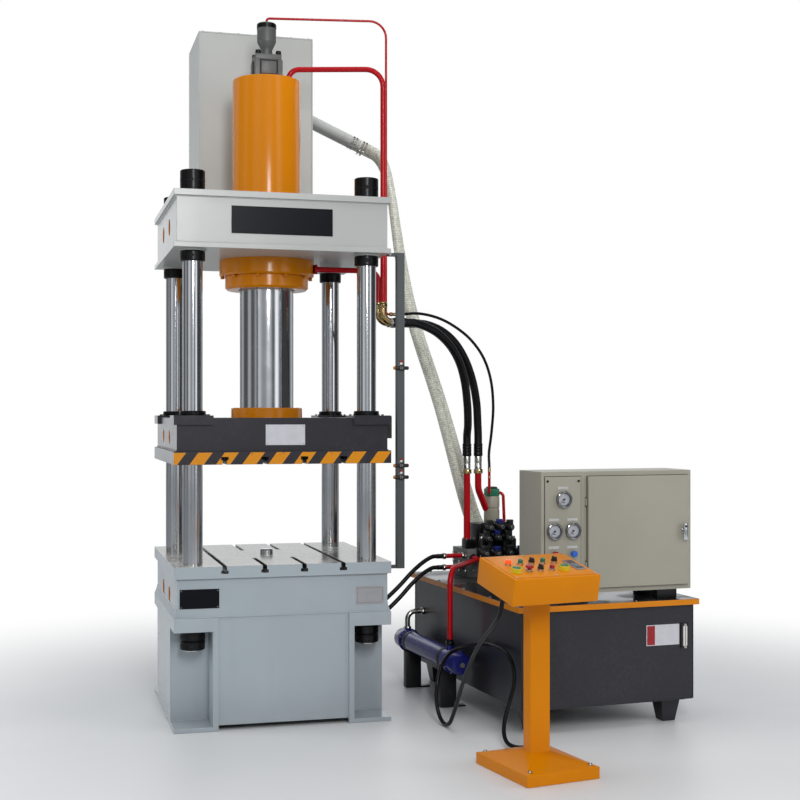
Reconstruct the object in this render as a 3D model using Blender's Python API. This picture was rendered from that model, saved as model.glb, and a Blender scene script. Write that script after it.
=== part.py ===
"""Four-column hydraulic press with its power unit and its control pedestal.

Lengths are in metres, +Z is up and the press faces -Y.  Three empties carry the three
stands: the press, the power unit and the pedestal.  Each piece is placed from the named
sizes below, in the coordinates of its own stand.  The last function moves the whole
assembly so that the middle of its footprint is the origin.
"""
import math

import bmesh
import bpy
from mathutils import Matrix, Vector

# Clearances and fineness shared by every piece
GAP = 0.0003
RUNNING_GAP = 0.0008
OVERRUN = 0.010
SIDES = 24
SMALL_SIDES = 12
BEND_STEPS = 5
SHARP_ANGLE = math.radians(35)

# Press frame: the plan that every plate shares
FRAME_WIDTH = 1.100
FRAME_DEPTH = 1.100
BODY_INSET = 0.016
COLUMN_DIAMETER = 0.100
COLUMN_SPACING_X = 0.892
COLUMN_SPACING_Y = 0.880

# Base weldment
BASE_HEIGHT = 0.753
FOOT_RAIL_THICK = 0.021
PANEL_LIFT = 0.025
SHELF_BOTTOM_DROP = 0.262
SHELF_TOP_DROP = 0.194
SHELF_SLOPE_DROP = 0.153
POCKET_SIZE = 0.192
STRIP_WIDTH = 0.028
BASE_WALL = 0.020
BASE_TOP_WALL = 0.030
BASE_RIB = 0.020
EJECTOR_BAY_WIDTH = 0.260
BASE_HOLE_DIAMETER = 0.088
BASE_HOLE_DROP = 0.119
SIDE_HOLE_SPACING = 0.320

# Bolster plate and its T-slots
BOLSTER_THICK = 0.0605
SLOT_PITCH = 0.200
SLOT_NECK = 0.022
SLOT_HEAD = 0.037
SLOT_HEAD_HEIGHT = 0.016
SLOT_DEPTH = 0.038
INNER_SLOT_STOP = 0.200

# Columns and their nuts
COLUMN_CHAMFER = 0.004
NUT_DIAMETER = 0.124
NUT_CHAMFER = 0.005
LOWER_NUT_HEIGHT = 0.098
COLUMN_FOOT = 0.008
STOP_NUT_HEIGHT = 0.052
STOP_WASHER_THICK = 0.008
STOP_WASHER_DIAMETER = 0.136
TOP_NUT_HEIGHT = 0.107
TOP_NUT_FLANGE_THICK = 0.008
TOP_NUT_FLANGE_DIAMETER = 0.136
COLUMN_TOP_INSET = 0.004

# Crown weldment
CROWN_CLEARANCE = 1.5725
CROWN_HEIGHT = 0.285
CROWN_BOTTOM_PLATE = 0.024
CROWN_TOP_PLATE = 0.031
CROWN_WALL = 0.022
CROWN_BOSS_WIDTH = 0.420
CORNER_BLOCK = 0.190
CROWN_HOLE_DIAMETER = 0.090
CROWN_HOLE_HEIGHT = 0.144

# Slide weldment, open by DAYLIGHT above the bolster
DAYLIGHT = 0.5015
SLIDE_PLATE_THICK = 0.065
SLIDE_HEIGHT = 0.231
SLIDE_TOP_WALL = 0.026
SLIDE_WALL = 0.020
SLIDE_BOSS_WIDTH = 0.420
SLIDE_FLOOR = 0.015
PAD_WIDTH = 0.195
PAD_THICK = 0.047
PAD_RISE = 0.012
WIPER_DIAMETER = 0.126
WIPER_HEIGHT = 0.022
WIPER_SINK = 0.005
SLIDE_HOLE_DIAMETER = 0.073
SLIDE_HOLE_HEIGHT = 0.132
DOG_REACH = 0.024
DOG_WIDTH = 0.030
DOG_DROP = 0.118
DOG_SETBACK = 0.080
DOG_SINK = 0.020

# Main cylinder
BARREL_DIAMETER = 0.364
BARREL_RISE = 0.684
BARREL_CHAMFER = 0.006
BARREL_HEAD_THICK = 0.045
FLANGE_DIAMETER = 0.508
FLANGE_THICK = 0.086
GLAND_DIAMETER = 0.446
GLAND_THICK = 0.070
GLAND_CHAMFER = 0.010
RAM_DIAMETER = 0.290
RAM_LENGTH = 1.304
RAM_CHAMFER = 0.012
RAM_RING_DIAMETER = 0.382
RAM_RING_THICK = 0.052

# Prefill valve on the cylinder head
VALVE_BLOCK_WIDTH = 0.150
VALVE_BLOCK_HEIGHT = 0.105
VALVE_FLANGE_WIDTH = 0.140
VALVE_FLANGE_THICK = 0.030
VALVE_NECK_DIAMETER = 0.062
VALVE_CONE_HEIGHT = 0.080
VALVE_BODY_DIAMETER = 0.102
VALVE_BODY_HEIGHT = 0.070
VALVE_CAP_DIAMETER = 0.104
VALVE_CAP_HEIGHT = 0.028
VALVE_SPIGOT_DIAMETER = 0.090
VALVE_SPIGOT_LENGTH = 0.030

# Prefill tank behind the cylinder
TANK_WIDTH = 0.646
TANK_DEPTH = 0.490
TANK_HEIGHT = 1.025
TANK_FRONT = 0.347
TANK_SHEET = 0.006
COVER_THICK = 0.008
OUTLET_DIAMETER = 0.050
OUTLET_HEIGHT = 0.619
OUTLET_SETBACK = 0.153
OUTLET_PITCH = 0.085
OUTLET_RUN = 0.308
OUTLET_DROP = 0.138

# Steel pipes on the press
PRESSURE_PIPE_DIAMETER = 0.029
PRESSURE_PIPE_RISE = 0.075
PRESSURE_PIPE_OFFSET = 0.120
PRESSURE_PIPE_X = 0.612
PRESSURE_PIPE_Y = -0.140
PIPE_BEND = 0.095
PILOT_PIPE_DIAMETER = 0.013
PILOT_PIPE_RISE = 0.030
PILOT_PIPE_X = 0.636
PILOT_PIPE_Y = -0.112
PILOT_BEND = 0.090
RETURN_PIPE_X = 0.600
RETURN_PIPE_Y = -0.085
ELBOW_LEVEL = 2.062
ELBOW_BEND = 0.055
ELBOW_REACH = 0.672
PILOT_ELBOW_LEVEL = 2.108
PIPE_FLANGE_DIAMETER = 0.052
PIPE_FLANGE_THICK = 0.020

# Ejector under the bolster
EJECTOR_BODY_DIAMETER = 0.160
EJECTOR_FLANGE_DIAMETER = 0.240
EJECTOR_FLANGE_THICK = 0.018
EJECTOR_LENGTH = 0.480
EJECTOR_ROD_DIAMETER = 0.069
EJECTOR_ROD_LENGTH = 0.390
EJECTOR_ROD_PROUD = 0.026
EJECTOR_ROD_CHAMFER = 0.004
EJECTOR_BORE_SPARE = 0.006
PORT_DIAMETER = 0.040
PORT_LENGTH = 0.030
PORT_DROP = 0.253
PORT_LOW_DROP = 0.323
PORT_Y = 0.140

# Limit switch rail beside the front right column
RAIL_SIZE = 0.040
RAIL_X = 0.620
RAIL_Y = -0.460
RAIL_SKIRT = 0.046
RAIL_TOP_RISE = 0.012
BRACKET_THICK = 0.018
SENSOR_DIAMETER = 0.018
SENSOR_LENGTH = 0.072
SENSOR_HEIGHTS = (1.803, 1.299, 1.239)

# Power unit: oil tank with folded lid
UNIT_X = 1.073
UNIT_Y = -1.042
UNIT_TURN = math.radians(3.9)
OIL_TANK_WIDTH = 0.951
OIL_TANK_DEPTH = 1.520
OIL_TANK_BOTTOM = 0.120
OIL_TANK_TOP = 0.624
OIL_TANK_SHEET = 0.006
LEG_TOP = 0.110
LEG_FOOT = 0.070
LEG_INSET = 0.045
LEG_OVERLAP = 0.020
LID_OVERHANG = 0.024
LID_SHEET = 0.005
LID_SKIRT = 0.029
SPIGOT_PLACES = (0.385, 0.455)
SPIGOT_BACK_INSET = 0.050
SPIGOT_HEIGHT = 0.060
LEVEL_GAUGE_WIDTH = 0.040
LEVEL_GAUGE_HEIGHT = 0.129
LEVEL_GAUGE_DEPTH = 0.016
LEVEL_GAUGE_INSET = 0.051
LEVEL_GAUGE_Z = 0.442

# Electrical cabinet on the lid
CABINET_X = 0.122
CABINET_Y = 0.038
CABINET_WIDTH = 0.840
CABINET_DEPTH = 0.260
CABINET_HEIGHT = 0.605
CABINET_SHEET = 0.005
CABINET_FOOT_HEIGHT = 0.046
CABINET_FOOT_WIDTH = 0.110
CABINET_FOOT_INSET = 0.080
CABINET_GLAND_Y = 0.160
CABINET_GLAND_Z = 0.790
DOOR_LEFT = 0.250
DOOR_RIGHT = 0.818
DOOR_MARGIN = 0.025
DOOR_LAP = 0.012
DOOR_THICK = 0.018
LATCH_FROM_EDGE = 0.032
LATCH_WIDTH = 0.024
LATCH_HEIGHT = 0.088
LATCH_DEPTH = 0.014
LATCH_STEM_DIAMETER = 0.014
LATCH_STEM_LENGTH = 0.014
LATCH_LEVER_DROP = 0.052
LATCH_Z_SHARE = 0.50

# Gauge panel on the cabinet
PANEL_LEFT = 0.020
PANEL_RIGHT = 0.215
PANEL_THICK = 0.004
GAUGE_DIAMETER = 0.075
GAUGE_DEPTH = 0.022
GAUGE_RIM = 0.005
GAUGE_DIAL_DEPTH = 0.012
GAUGE_PLACES = ((0.1175, 0.468), (0.067, 0.312), (0.168, 0.312))
NEEDLE_LENGTH = 0.026
NEEDLE_TAIL = 0.008
NEEDLE_WIDTH = 0.0034
NEEDLE_THICK = 0.0016
NEEDLE_HUB_DIAMETER = 0.009
NEEDLE_HUB_HEIGHT = 0.005
KNOB_PLACES = ((0.067, 0.200), (0.168, 0.200))
KNOB_DIAMETER = 0.030
KNOB_LENGTH = 0.034
KNOB_STEM_DIAMETER = 0.012
KNOB_STEM_LENGTH = 0.010

# Valve manifold, its risers and stubs
MANIFOLD_X = 0.190
MANIFOLD_BACK_ROOM = 0.120
MANIFOLD_WIDTH = 0.360
MANIFOLD_DEPTH = 0.230
MANIFOLD_HEIGHT = 0.160
VALVE_COUNT = 4
VALVE_PITCH = 0.056
VALVE_FIRST = 0.030
VALVE_WIDTH = 0.046
VALVE_LENGTH = 0.110
VALVE_TALL = 0.095
VALVE_START = 0.060
COIL_DIAMETER = 0.040
COIL_LENGTH = 0.290
COIL_START = 0.025
COIL_LIFT = 0.055
CARTRIDGE_X = 0.310
CARTRIDGE_BACK = 0.160
CARTRIDGE_DIAMETER = 0.090
CARTRIDGE_TOP = 1.106
CARTRIDGE_CAP_DIAMETER = 0.066
CARTRIDGE_CAP_HEIGHT = 0.037
RISER_DIAMETER = 0.038
RISER_ONE_X = 0.221
RISER_TWO_X = 0.291
RISER_THREE_X = 0.361
RISER_BACK = 0.085
RISER_BEND = 0.050
RISER_TOP = 1.325
RISER_TWO_LEVEL = 1.060
THIN_RISER_DIAMETER = 0.016
THIN_RISER_TOP = 1.230
THIN_RISER_LEVEL = 1.122
STUB_DIAMETER = 0.026
STUB_LENGTH = 0.130
STUB_BACK = 0.055
STUB_HEIGHTS = (0.752, 0.688)

# Motor and pump behind the cabinet
MOTOR_X = 0.620
MOTOR_DIAMETER = 0.260
MOTOR_BACK_ROOM = 0.070
MOTOR_START = 0.660
MOTOR_AXIS_HEIGHT = 0.165
MOTOR_FOOT_WIDTH = 0.220
MOTOR_FOOT_HEIGHT = 0.080
MOTOR_FOOT_LENGTH_SHARE = 0.75
BELL_DIAMETER = 0.200
BELL_LENGTH = 0.110
PUMP_DIAMETER = 0.130
PUMP_LENGTH = 0.180
COWL_LENGTH = 0.040
COWL_DIAMETER = 0.220

# Oil cooler along the side of the oil tank
COOLER_X = -0.100
COOLER_Z = 0.260
COOLER_START = 0.520
COOLER_BACK_INSET = 0.050
COOLER_DIAMETER = 0.114
COOLER_CAP_DIAMETER = 0.134
COOLER_CAP_LENGTH = 0.110
COOLER_FLANGE_THICK = 0.016
COOLER_NOSE_DIAMETER = 0.090
SADDLE_WIDTH = 0.090
SADDLE_LENGTH = 0.050
SADDLE_INSET = 0.200
COOLER_PORT_PLACE = 0.180
COOLER_PORT_DIAMETER = 0.040
COOLER_PORT_TOP = 0.338
COOLER_PIPE_DIAMETER = 0.030
COOLER_PIPE_LEVEL = 0.742
COOLER_PIPE_BEND = 0.090
COOLER_PIPE_END_X = 0.222
COOLER_PIPE_LAST_LEG = 0.090
COOLER_RETURN_INSET = 0.090
COOLER_RETURN_LEVEL = 0.420
COOLER_RETURN_BEND = 0.045

# Control pedestal
PEDESTAL_X = 0.919
PEDESTAL_Y = -1.646
PEDESTAL_TURN = math.radians(10)
SLAB_WIDTH = 0.360
SLAB_DEPTH = 0.450
SLAB_THICK = 0.050
SLAB_PEAK = 0.090
POST_WIDTH = 0.100
POST_DEPTH = 0.060
BOX_LEFT = -0.248
BOX_WIDTH = 0.424
BOX_FRONT = -0.241
BOX_LENGTH = 0.316
BOX_HEIGHT = 0.118
BOX_TOP_FRONT = 0.876
BOX_TILT = math.radians(12)
BOX_SHEET = 0.005
BOX_PANEL_MARGIN = 0.014
BOX_PANEL_RISE = 0.002
BOX_GLAND_PLACE = (0.105, 0.260)
CABLE_GLAND_DIAMETER = 0.032
CABLE_GLAND_LENGTH = 0.020

# Controls: places along and up the sloping panel, from its front left corner
BACK_ROW = 0.184
FRONT_ROW = 0.092
LAMP_PLACE = 0.068
GREEN_PLACES = (0.128, 0.240)
SELECTOR_PLACES = ((0.184, BACK_ROW), (0.298, BACK_ROW), (0.176, FRONT_ROW))
PALM_PLACES = (0.057, 0.293)
STOP_PLACE = 0.120
RED_PLACE = 0.232
BEZEL_DIAMETER = 0.029
BEZEL_HEIGHT = 0.004
STEM_DIAMETER = 0.016
STEM_DEPTH = 0.024
BUTTON_DIAMETER = 0.021
BUTTON_RISE = 0.012
BUTTON_TRAVEL = 0.004
PALM_GUARD_DIAMETER = 0.046
PALM_GUARD_HEIGHT = 0.020
PALM_GUARD_WALL = 0.003
PALM_HEAD_DIAMETER = 0.036
PALM_HEAD_HEIGHT = 0.012
PALM_LIFT = 0.014
STOP_HEAD_DIAMETER = 0.036
STOP_HEAD_HEIGHT = 0.012
STOP_LIFT = 0.012
SELECTOR_HEIGHT = 0.014
SELECTOR_GRIP_WIDTH = 0.008
SELECTOR_GRIP_HEIGHT = 0.010

# Hoses and cables: diameter, then a route through hand-chosen points in press coordinates
CORD_STEP_DIAMETERS = 2.5
LEAD_SHARES = (0.0, 2.4)
FINE_STEPS = 16
PRESSURE_HOSE_DIAMETER = 0.046
FILL_HOSE_DIAMETER = 0.052
PILOT_HOSE_DIAMETER = 0.016
EJECTOR_HOSE_DIAMETER = 0.024
PEDESTAL_CABLE_DIAMETER = 0.020

# Finishes: colour, roughness, metallic
FINISHES = {
    "crown_grey": ((0.50, 0.52, 0.51), 0.42, 0.0),
    "base_grey": ((0.42, 0.47, 0.50), 0.42, 0.0),
    "charcoal": ((0.030, 0.030, 0.038), 0.50, 0.0),
    "orange": ((0.64, 0.19, 0.002), 0.32, 0.0),
    "black_steel": ((0.012, 0.012, 0.013), 0.35, 0.6),
    "machined": ((0.42, 0.42, 0.40), 0.30, 1.0),
    "chrome": ((0.75, 0.76, 0.78), 0.08, 1.0),
    "pipe_red": ((0.33, 0.012, 0.018), 0.35, 0.0),
    "valve_grey": ((0.20, 0.20, 0.20), 0.40, 0.7),
    "cabinet_grey": ((0.40, 0.38, 0.31), 0.45, 0.0),
    "panel_grey": ((0.33, 0.32, 0.27), 0.45, 0.0),
    "cooler_blue": ((0.012, 0.020, 0.22), 0.30, 0.0),
    "motor_blue": ((0.06, 0.14, 0.20), 0.45, 0.0),
    "button_green": ((0.01, 0.16, 0.08), 0.35, 0.0),
    "button_red": ((0.42, 0.01, 0.01), 0.35, 0.0),
    "button_black": ((0.012, 0.012, 0.012), 0.35, 0.0),
    "knob_blue": ((0.02, 0.13, 0.55), 0.35, 0.0),
    "needle_black": ((0.01, 0.01, 0.01), 0.50, 0.0),
    "rubber": ((0.012, 0.012, 0.013), 0.55, 0.0),
    "clear_hose": ((0.46, 0.46, 0.38), 0.30, 0.0),
}

# Levels that follow from the sizes above
HALF_WIDTH = FRAME_WIDTH / 2
HALF_DEPTH = FRAME_DEPTH / 2
BODY_X = HALF_WIDTH - BODY_INSET
BODY_Y = HALF_DEPTH - BODY_INSET
SHELF_BOTTOM = BASE_HEIGHT - SHELF_BOTTOM_DROP
SHELF_TOP = BASE_HEIGHT - SHELF_TOP_DROP
SHELF_SLOPE_TOP = BASE_HEIGHT - SHELF_SLOPE_DROP
BASE_HOLE_HEIGHT = BASE_HEIGHT - BASE_HOLE_DROP
PORT_HEIGHT = BASE_HEIGHT - PORT_DROP
PORT_LOW_HEIGHT = BASE_HEIGHT - PORT_LOW_DROP
TABLE_TOP = BASE_HEIGHT + BOLSTER_THICK
SLIDE_BOTTOM = TABLE_TOP + DAYLIGHT
SLIDE_TOP = SLIDE_BOTTOM + SLIDE_HEIGHT
CROWN_BOTTOM = TABLE_TOP + CROWN_CLEARANCE
CROWN_TOP = CROWN_BOTTOM + CROWN_HEIGHT
BARREL_TOP = CROWN_TOP + BARREL_RISE
FLANGE_BOTTOM = CROWN_BOTTOM - FLANGE_THICK
GLAND_BOTTOM = FLANGE_BOTTOM - GLAND_THICK
VALVE_TOP = (BARREL_TOP + VALVE_BLOCK_HEIGHT + VALVE_FLANGE_THICK + VALVE_CONE_HEIGHT
             + VALVE_BODY_HEIGHT + VALVE_CAP_HEIGHT)
OUTLET_Y = TANK_FRONT + OUTLET_SETBACK
OUTLET_Z = CROWN_TOP + OUTLET_HEIGHT
LID_TOP = OIL_TANK_TOP + GAP + LID_SHEET
CABINET_BASE = LID_TOP + GAP + CABINET_FOOT_HEIGHT
LEVEL_GAUGE_X = OIL_TANK_WIDTH - LEVEL_GAUGE_INSET
SPIGOT_Y = OIL_TANK_DEPTH - SPIGOT_BACK_INSET
MANIFOLD_Y = OIL_TANK_DEPTH - MANIFOLD_BACK_ROOM - MANIFOLD_DEPTH
RISER_Y = MANIFOLD_Y + RISER_BACK
STUB_Y = MANIFOLD_Y + STUB_BACK
CARTRIDGE_Y = MANIFOLD_Y + CARTRIDGE_BACK
MOTOR_LENGTH = MANIFOLD_Y - MOTOR_BACK_ROOM - COWL_LENGTH - MOTOR_START
MOTOR_FOOT_LENGTH = MOTOR_LENGTH * MOTOR_FOOT_LENGTH_SHARE
COOLER_LENGTH = OIL_TANK_DEPTH - COOLER_BACK_INSET - COOLER_START
SADDLE_PLACES = (SADDLE_INSET, COOLER_LENGTH - SADDLE_INSET)
COOLER_RETURN_PLACE = COOLER_LENGTH - COOLER_RETURN_INSET
COOLER_PIPE_TURN_Y = MANIFOLD_Y - COOLER_PIPE_LAST_LEG
COLUMN_PLACES = [(side_x * COLUMN_SPACING_X / 2, side_y * COLUMN_SPACING_Y / 2)
                 for side_y in (-1, 1) for side_x in (-1, 1)]
CORNER_NAMES = ("front_left", "front_right", "back_left", "back_right")


def clear_scene():
    for obj in list(bpy.data.objects):
        bpy.data.objects.remove(obj)


def empty(name, parent=None, place=(0, 0, 0), turn=0):
    """An empty that carries one stand of the assembly."""
    carrier = bpy.data.objects.new(name, None)
    bpy.context.scene.collection.objects.link(carrier)
    carrier.parent = parent
    carrier.location = place
    carrier.rotation_euler = (0, 0, turn)
    return carrier


def finish_material(name, finish):
    colour, roughness, metallic = FINISHES[finish]
    material = bpy.data.materials.new(name + "_finish")
    material.use_nodes = True
    shader = material.node_tree.nodes["Principled BSDF"]
    shader.inputs["Base Color"].default_value = (*colour, 1)
    shader.inputs["Roughness"].default_value = roughness
    shader.inputs["Metallic"].default_value = metallic
    material.diffuse_color = (*colour, 1)
    return material


def rectangle(left, right, front, back, height):
    return [Vector((left, front, height)), Vector((right, front, height)),
            Vector((right, back, height)), Vector((left, back, height))]


def circle(radius, height, sides):
    step = 2 * math.pi / sides
    return [Vector((radius * math.cos((i + 0.5) * step), radius * math.sin((i + 0.5) * step), height))
            for i in range(sides)]


def add_skin(bm, rings, place=None, closed=False):
    """Skin a body over rings of points: capped at both ends, or closed like a ring."""
    if place is not None:
        rings = [[place @ point for point in ring] for ring in rings]
    loops = [[bm.verts.new(point) for point in ring] for ring in rings]
    pairs = list(zip(loops, loops[1:]))
    if closed:
        pairs.append((loops[-1], loops[0]))
    for low, high in pairs:
        for i in range(len(low)):
            j = (i + 1) % len(low)
            bm.faces.new((low[i], low[j], high[j], high[i]))
    if not closed:
        bm.faces.new(list(reversed(loops[0])))
        bm.faces.new(loops[-1])


def add_box(bm, left, right, front, back, bottom, top, place=None):
    add_skin(bm, [rectangle(left, right, front, back, bottom),
                  rectangle(left, right, front, back, top)], place)


def add_stack(bm, levels, place=None):
    """A body of rectangular sections, each (left, right, front, back, height)."""
    add_skin(bm, [rectangle(*level) for level in levels], place)


def add_turned(bm, profile, place=None, sides=SIDES, closed=False):
    """Turn a profile of (radius, height) about Z."""
    add_skin(bm, [circle(radius, height, sides) for radius, height in profile], place, closed)


def add_prism(bm, outline, start, end, place=None):
    """Extrude an outline of (x, y) from one height to another."""
    add_skin(bm, [[Vector((x, y, start)) for x, y in outline],
                  [Vector((x, y, end)) for x, y in outline]], place)


def at(x, y, z=0):
    return Matrix.Translation((x, y, z))


def along_y(x=0, z=0):
    """Carry a shape made on Z over to the Y axis, its X kept."""
    return Matrix.Translation((x, 0, z)) @ Matrix.Rotation(math.radians(90), 4, "X")


def facing_front(x, y, z):
    """Stand a shape made on +Z out of a wall that faces -Y."""
    return Matrix.Translation((x, y, z)) @ Matrix.Rotation(math.radians(90), 4, "X")


def facing_right(x, y, z):
    """Stand a shape made on +Z out of a wall that faces +X."""
    return Matrix.Translation((x, y, z)) @ Matrix.Rotation(math.radians(90), 4, "Y")


def facing_left(x, y, z):
    return Matrix.Translation((x, y, z)) @ Matrix.Rotation(math.radians(-90), 4, "Y")


def bent_route(corners, bend):
    """Round each inner corner of a route with an arc of one bend radius."""
    points = [Vector(corners[0])]
    for before, corner, after in zip(corners, corners[1:], corners[2:]):
        corner = Vector(corner)
        back = (Vector(before) - corner).normalized()
        ahead = (Vector(after) - corner).normalized()
        half = back.angle(ahead) / 2
        run = bend / math.tan(half)
        centre = corner + (back + ahead).normalized() * bend / math.sin(half)
        start = corner + back * run - centre
        end = corner + ahead * run - centre
        axis = start.cross(end).normalized()
        sweep = start.angle(end)
        for i in range(BEND_STEPS + 1):
            turn = Matrix.Rotation(sweep * i / BEND_STEPS, 3, axis)
            points.append(centre + turn @ start)
    points.append(Vector(corners[-1]))
    return points


def add_pipe(bm, points, diameter, sides=SMALL_SIDES):
    """Sweep a round section along a route, turning it with the route."""
    points = [Vector(point) for point in points]
    steps = [(b - a).normalized() for a, b in zip(points, points[1:])]
    tangents = [steps[0]]
    tangents += [(a + b).normalized() for a, b in zip(steps, steps[1:])]
    tangents.append(steps[-1])
    frame = tangents[0].to_track_quat("Z", "Y")
    rings = []
    for i, (point, tangent) in enumerate(zip(points, tangents)):
        if i:
            frame = tangents[i - 1].rotation_difference(tangent) @ frame
        rings.append([point + frame @ spot for spot in circle(diameter / 2, 0, sides)])
    add_skin(bm, rings)


def store(bm, name, parent, origin=(0, 0, 0)):
    """Turn a bmesh into an object whose mesh is measured from the origin given."""
    origin = Vector(origin)
    bmesh.ops.recalc_face_normals(bm, faces=bm.faces)
    bmesh.ops.translate(bm, verts=bm.verts, vec=-origin)
    mesh = bpy.data.meshes.new(name)
    bm.to_mesh(mesh)
    bm.free()
    mesh.shade_smooth()
    mesh.set_sharp_from_angle(angle=SHARP_ANGLE)
    obj = bpy.data.objects.new(name, mesh)
    bpy.context.scene.collection.objects.link(obj)
    obj.parent = parent
    obj.location = origin
    return obj


def piece(bm, name, finish, parent, origin=(0, 0, 0)):
    obj = store(bm, name, parent, origin)
    obj.data.materials.append(finish_material(name, finish))
    return obj


def combine(target, bm, name, operation):
    """Cut a hidden tool shape out of a piece, or weld it on."""
    tool = store(bm, name, target.parent)
    tool.hide_render = True
    tool.display_type = "WIRE"
    step = target.modifiers.new(name, "BOOLEAN")
    step.operation = operation
    step.solver = "EXACT"
    step.object = tool
    return tool


def cut(target, bm, name):
    return combine(target, bm, name, "DIFFERENCE")


def weld(target, bm, name):
    return combine(target, bm, name, "UNION")


def mirrored_x(outline):
    return [(-x, y) for x, y in reversed(outline)]


def cut_column_bores(target, bottom, top, clearance, name):
    bm = bmesh.new()
    for x, y in COLUMN_PLACES:
        add_turned(bm, [(COLUMN_DIAMETER / 2 + clearance, bottom),
                        (COLUMN_DIAMETER / 2 + clearance, top)], at(x, y))
    cut(target, bm, name)


def cut_side_holes(target, diameter, height, name):
    """Two round holes in each side wall, in line through the ribs."""
    bm = bmesh.new()
    for side in (-1, 1):
        place = facing_right(-HALF_WIDTH - OVERRUN, side * SIDE_HOLE_SPACING / 2, height)
        add_turned(bm, [(diameter / 2, 0), (diameter / 2, FRAME_WIDTH + 2 * OVERRUN)], place,
                   SMALL_SIDES)
    cut(target, bm, name)


def make_base(press):
    """Welded base: side rails, front strips, corner shelves over open pockets, ribbed inside."""
    pocket_x = HALF_WIDTH - POCKET_SIZE
    pocket_y = HALF_DEPTH - POCKET_SIZE
    strip_x = pocket_x - STRIP_WIDTH
    section = [(HALF_WIDTH, 0), (HALF_WIDTH, SHELF_TOP), (BODY_X, SHELF_SLOPE_TOP),
               (BODY_X, BASE_HEIGHT)]
    bm = bmesh.new()
    add_prism(bm, section + mirrored_x(section), -HALF_DEPTH, HALF_DEPTH, along_y())
    base = piece(bm, "base_frame", "base_grey", press)

    step = [(strip_x, -OVERRUN), (strip_x, SHELF_TOP), (HALF_WIDTH + OVERRUN, SHELF_TOP),
            (HALF_WIDTH + OVERRUN, BASE_HEIGHT + OVERRUN)]
    bm = bmesh.new()
    add_prism(bm, step + mirrored_x(step), BODY_Y, HALF_DEPTH + OVERRUN, along_y())
    add_prism(bm, step + mirrored_x(step), -HALF_DEPTH - OVERRUN, -BODY_Y, along_y())
    cut(base, bm, "base_step_cut")

    bm = bmesh.new()
    add_box(bm, -strip_x, strip_x, -HALF_DEPTH - OVERRUN, HALF_DEPTH + OVERRUN, -OVERRUN, PANEL_LIFT)
    cut(base, bm, "base_floor_gap_cut")

    bm = bmesh.new()
    for side_x in (-1, 1):
        for side_y in (-1, 1):
            x = sorted((side_x * pocket_x, side_x * (HALF_WIDTH + OVERRUN)))
            y = sorted((side_y * pocket_y, side_y * (HALF_DEPTH + OVERRUN)))
            add_box(bm, x[0], x[1], y[0], y[1], FOOT_RAIL_THICK, SHELF_BOTTOM)
    cut(base, bm, "base_pocket_cut")

    ceiling = BASE_HEIGHT - BASE_TOP_WALL
    bay = EJECTOR_BAY_WIDTH / 2
    inner_x = BODY_X - BASE_WALL
    inner_y = BODY_Y - BASE_WALL
    waist_x = pocket_x - BASE_WALL
    waist_y = pocket_y - BASE_WALL
    side_bay = [(bay + BASE_RIB, -inner_y), (waist_x, -inner_y), (waist_x, -waist_y),
                (inner_x, -waist_y), (inner_x, waist_y), (waist_x, waist_y),
                (waist_x, inner_y), (bay + BASE_RIB, inner_y)]
    bm = bmesh.new()
    add_box(bm, -bay, bay, -inner_y, inner_y, -OVERRUN, ceiling)
    add_prism(bm, side_bay, -OVERRUN, ceiling)
    add_prism(bm, mirrored_x(side_bay), -OVERRUN, ceiling)
    cut(base, bm, "base_bay_cut")

    cut_side_holes(base, BASE_HOLE_DIAMETER, BASE_HOLE_HEIGHT, "base_side_hole_cut")
    cut_column_bores(base, SHELF_BOTTOM - OVERRUN, BASE_HEIGHT + OVERRUN, GAP, "base_column_cut")
    bm = bmesh.new()
    radius = EJECTOR_FLANGE_DIAMETER / 2 + RUNNING_GAP
    add_turned(bm, [(radius, ceiling - OVERRUN), (radius, BASE_HEIGHT + OVERRUN)])
    cut(base, bm, "base_ejector_cut")

    bm = bmesh.new()
    for height in (PORT_HEIGHT, PORT_LOW_HEIGHT):
        add_turned(bm, [(PORT_DIAMETER / 2, -BASE_WALL), (PORT_DIAMETER / 2, PORT_LENGTH)],
                   facing_right(HALF_WIDTH, PORT_Y, height), SMALL_SIDES)
    weld(base, bm, "base_port_weld")


def t_slot(bottom_up=1):
    """Outline of a T-slot, its mouth at height zero; bottom_up is -1 for one that opens down."""
    neck = SLOT_NECK / 2
    head = SLOT_HEAD / 2
    shoulder = -(SLOT_DEPTH - SLOT_HEAD_HEIGHT)
    half = [(neck, OVERRUN), (neck, shoulder), (head, shoulder), (head, -SLOT_DEPTH)]
    outline = half[::-1] + [(-x, z) for x, z in half]
    return [(x, z * bottom_up) for x, z in outline]


def add_slot(bm, x, mouth, start, end, bottom_up=1):
    add_prism(bm, t_slot(bottom_up), start, end, along_y(x, mouth))


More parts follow.
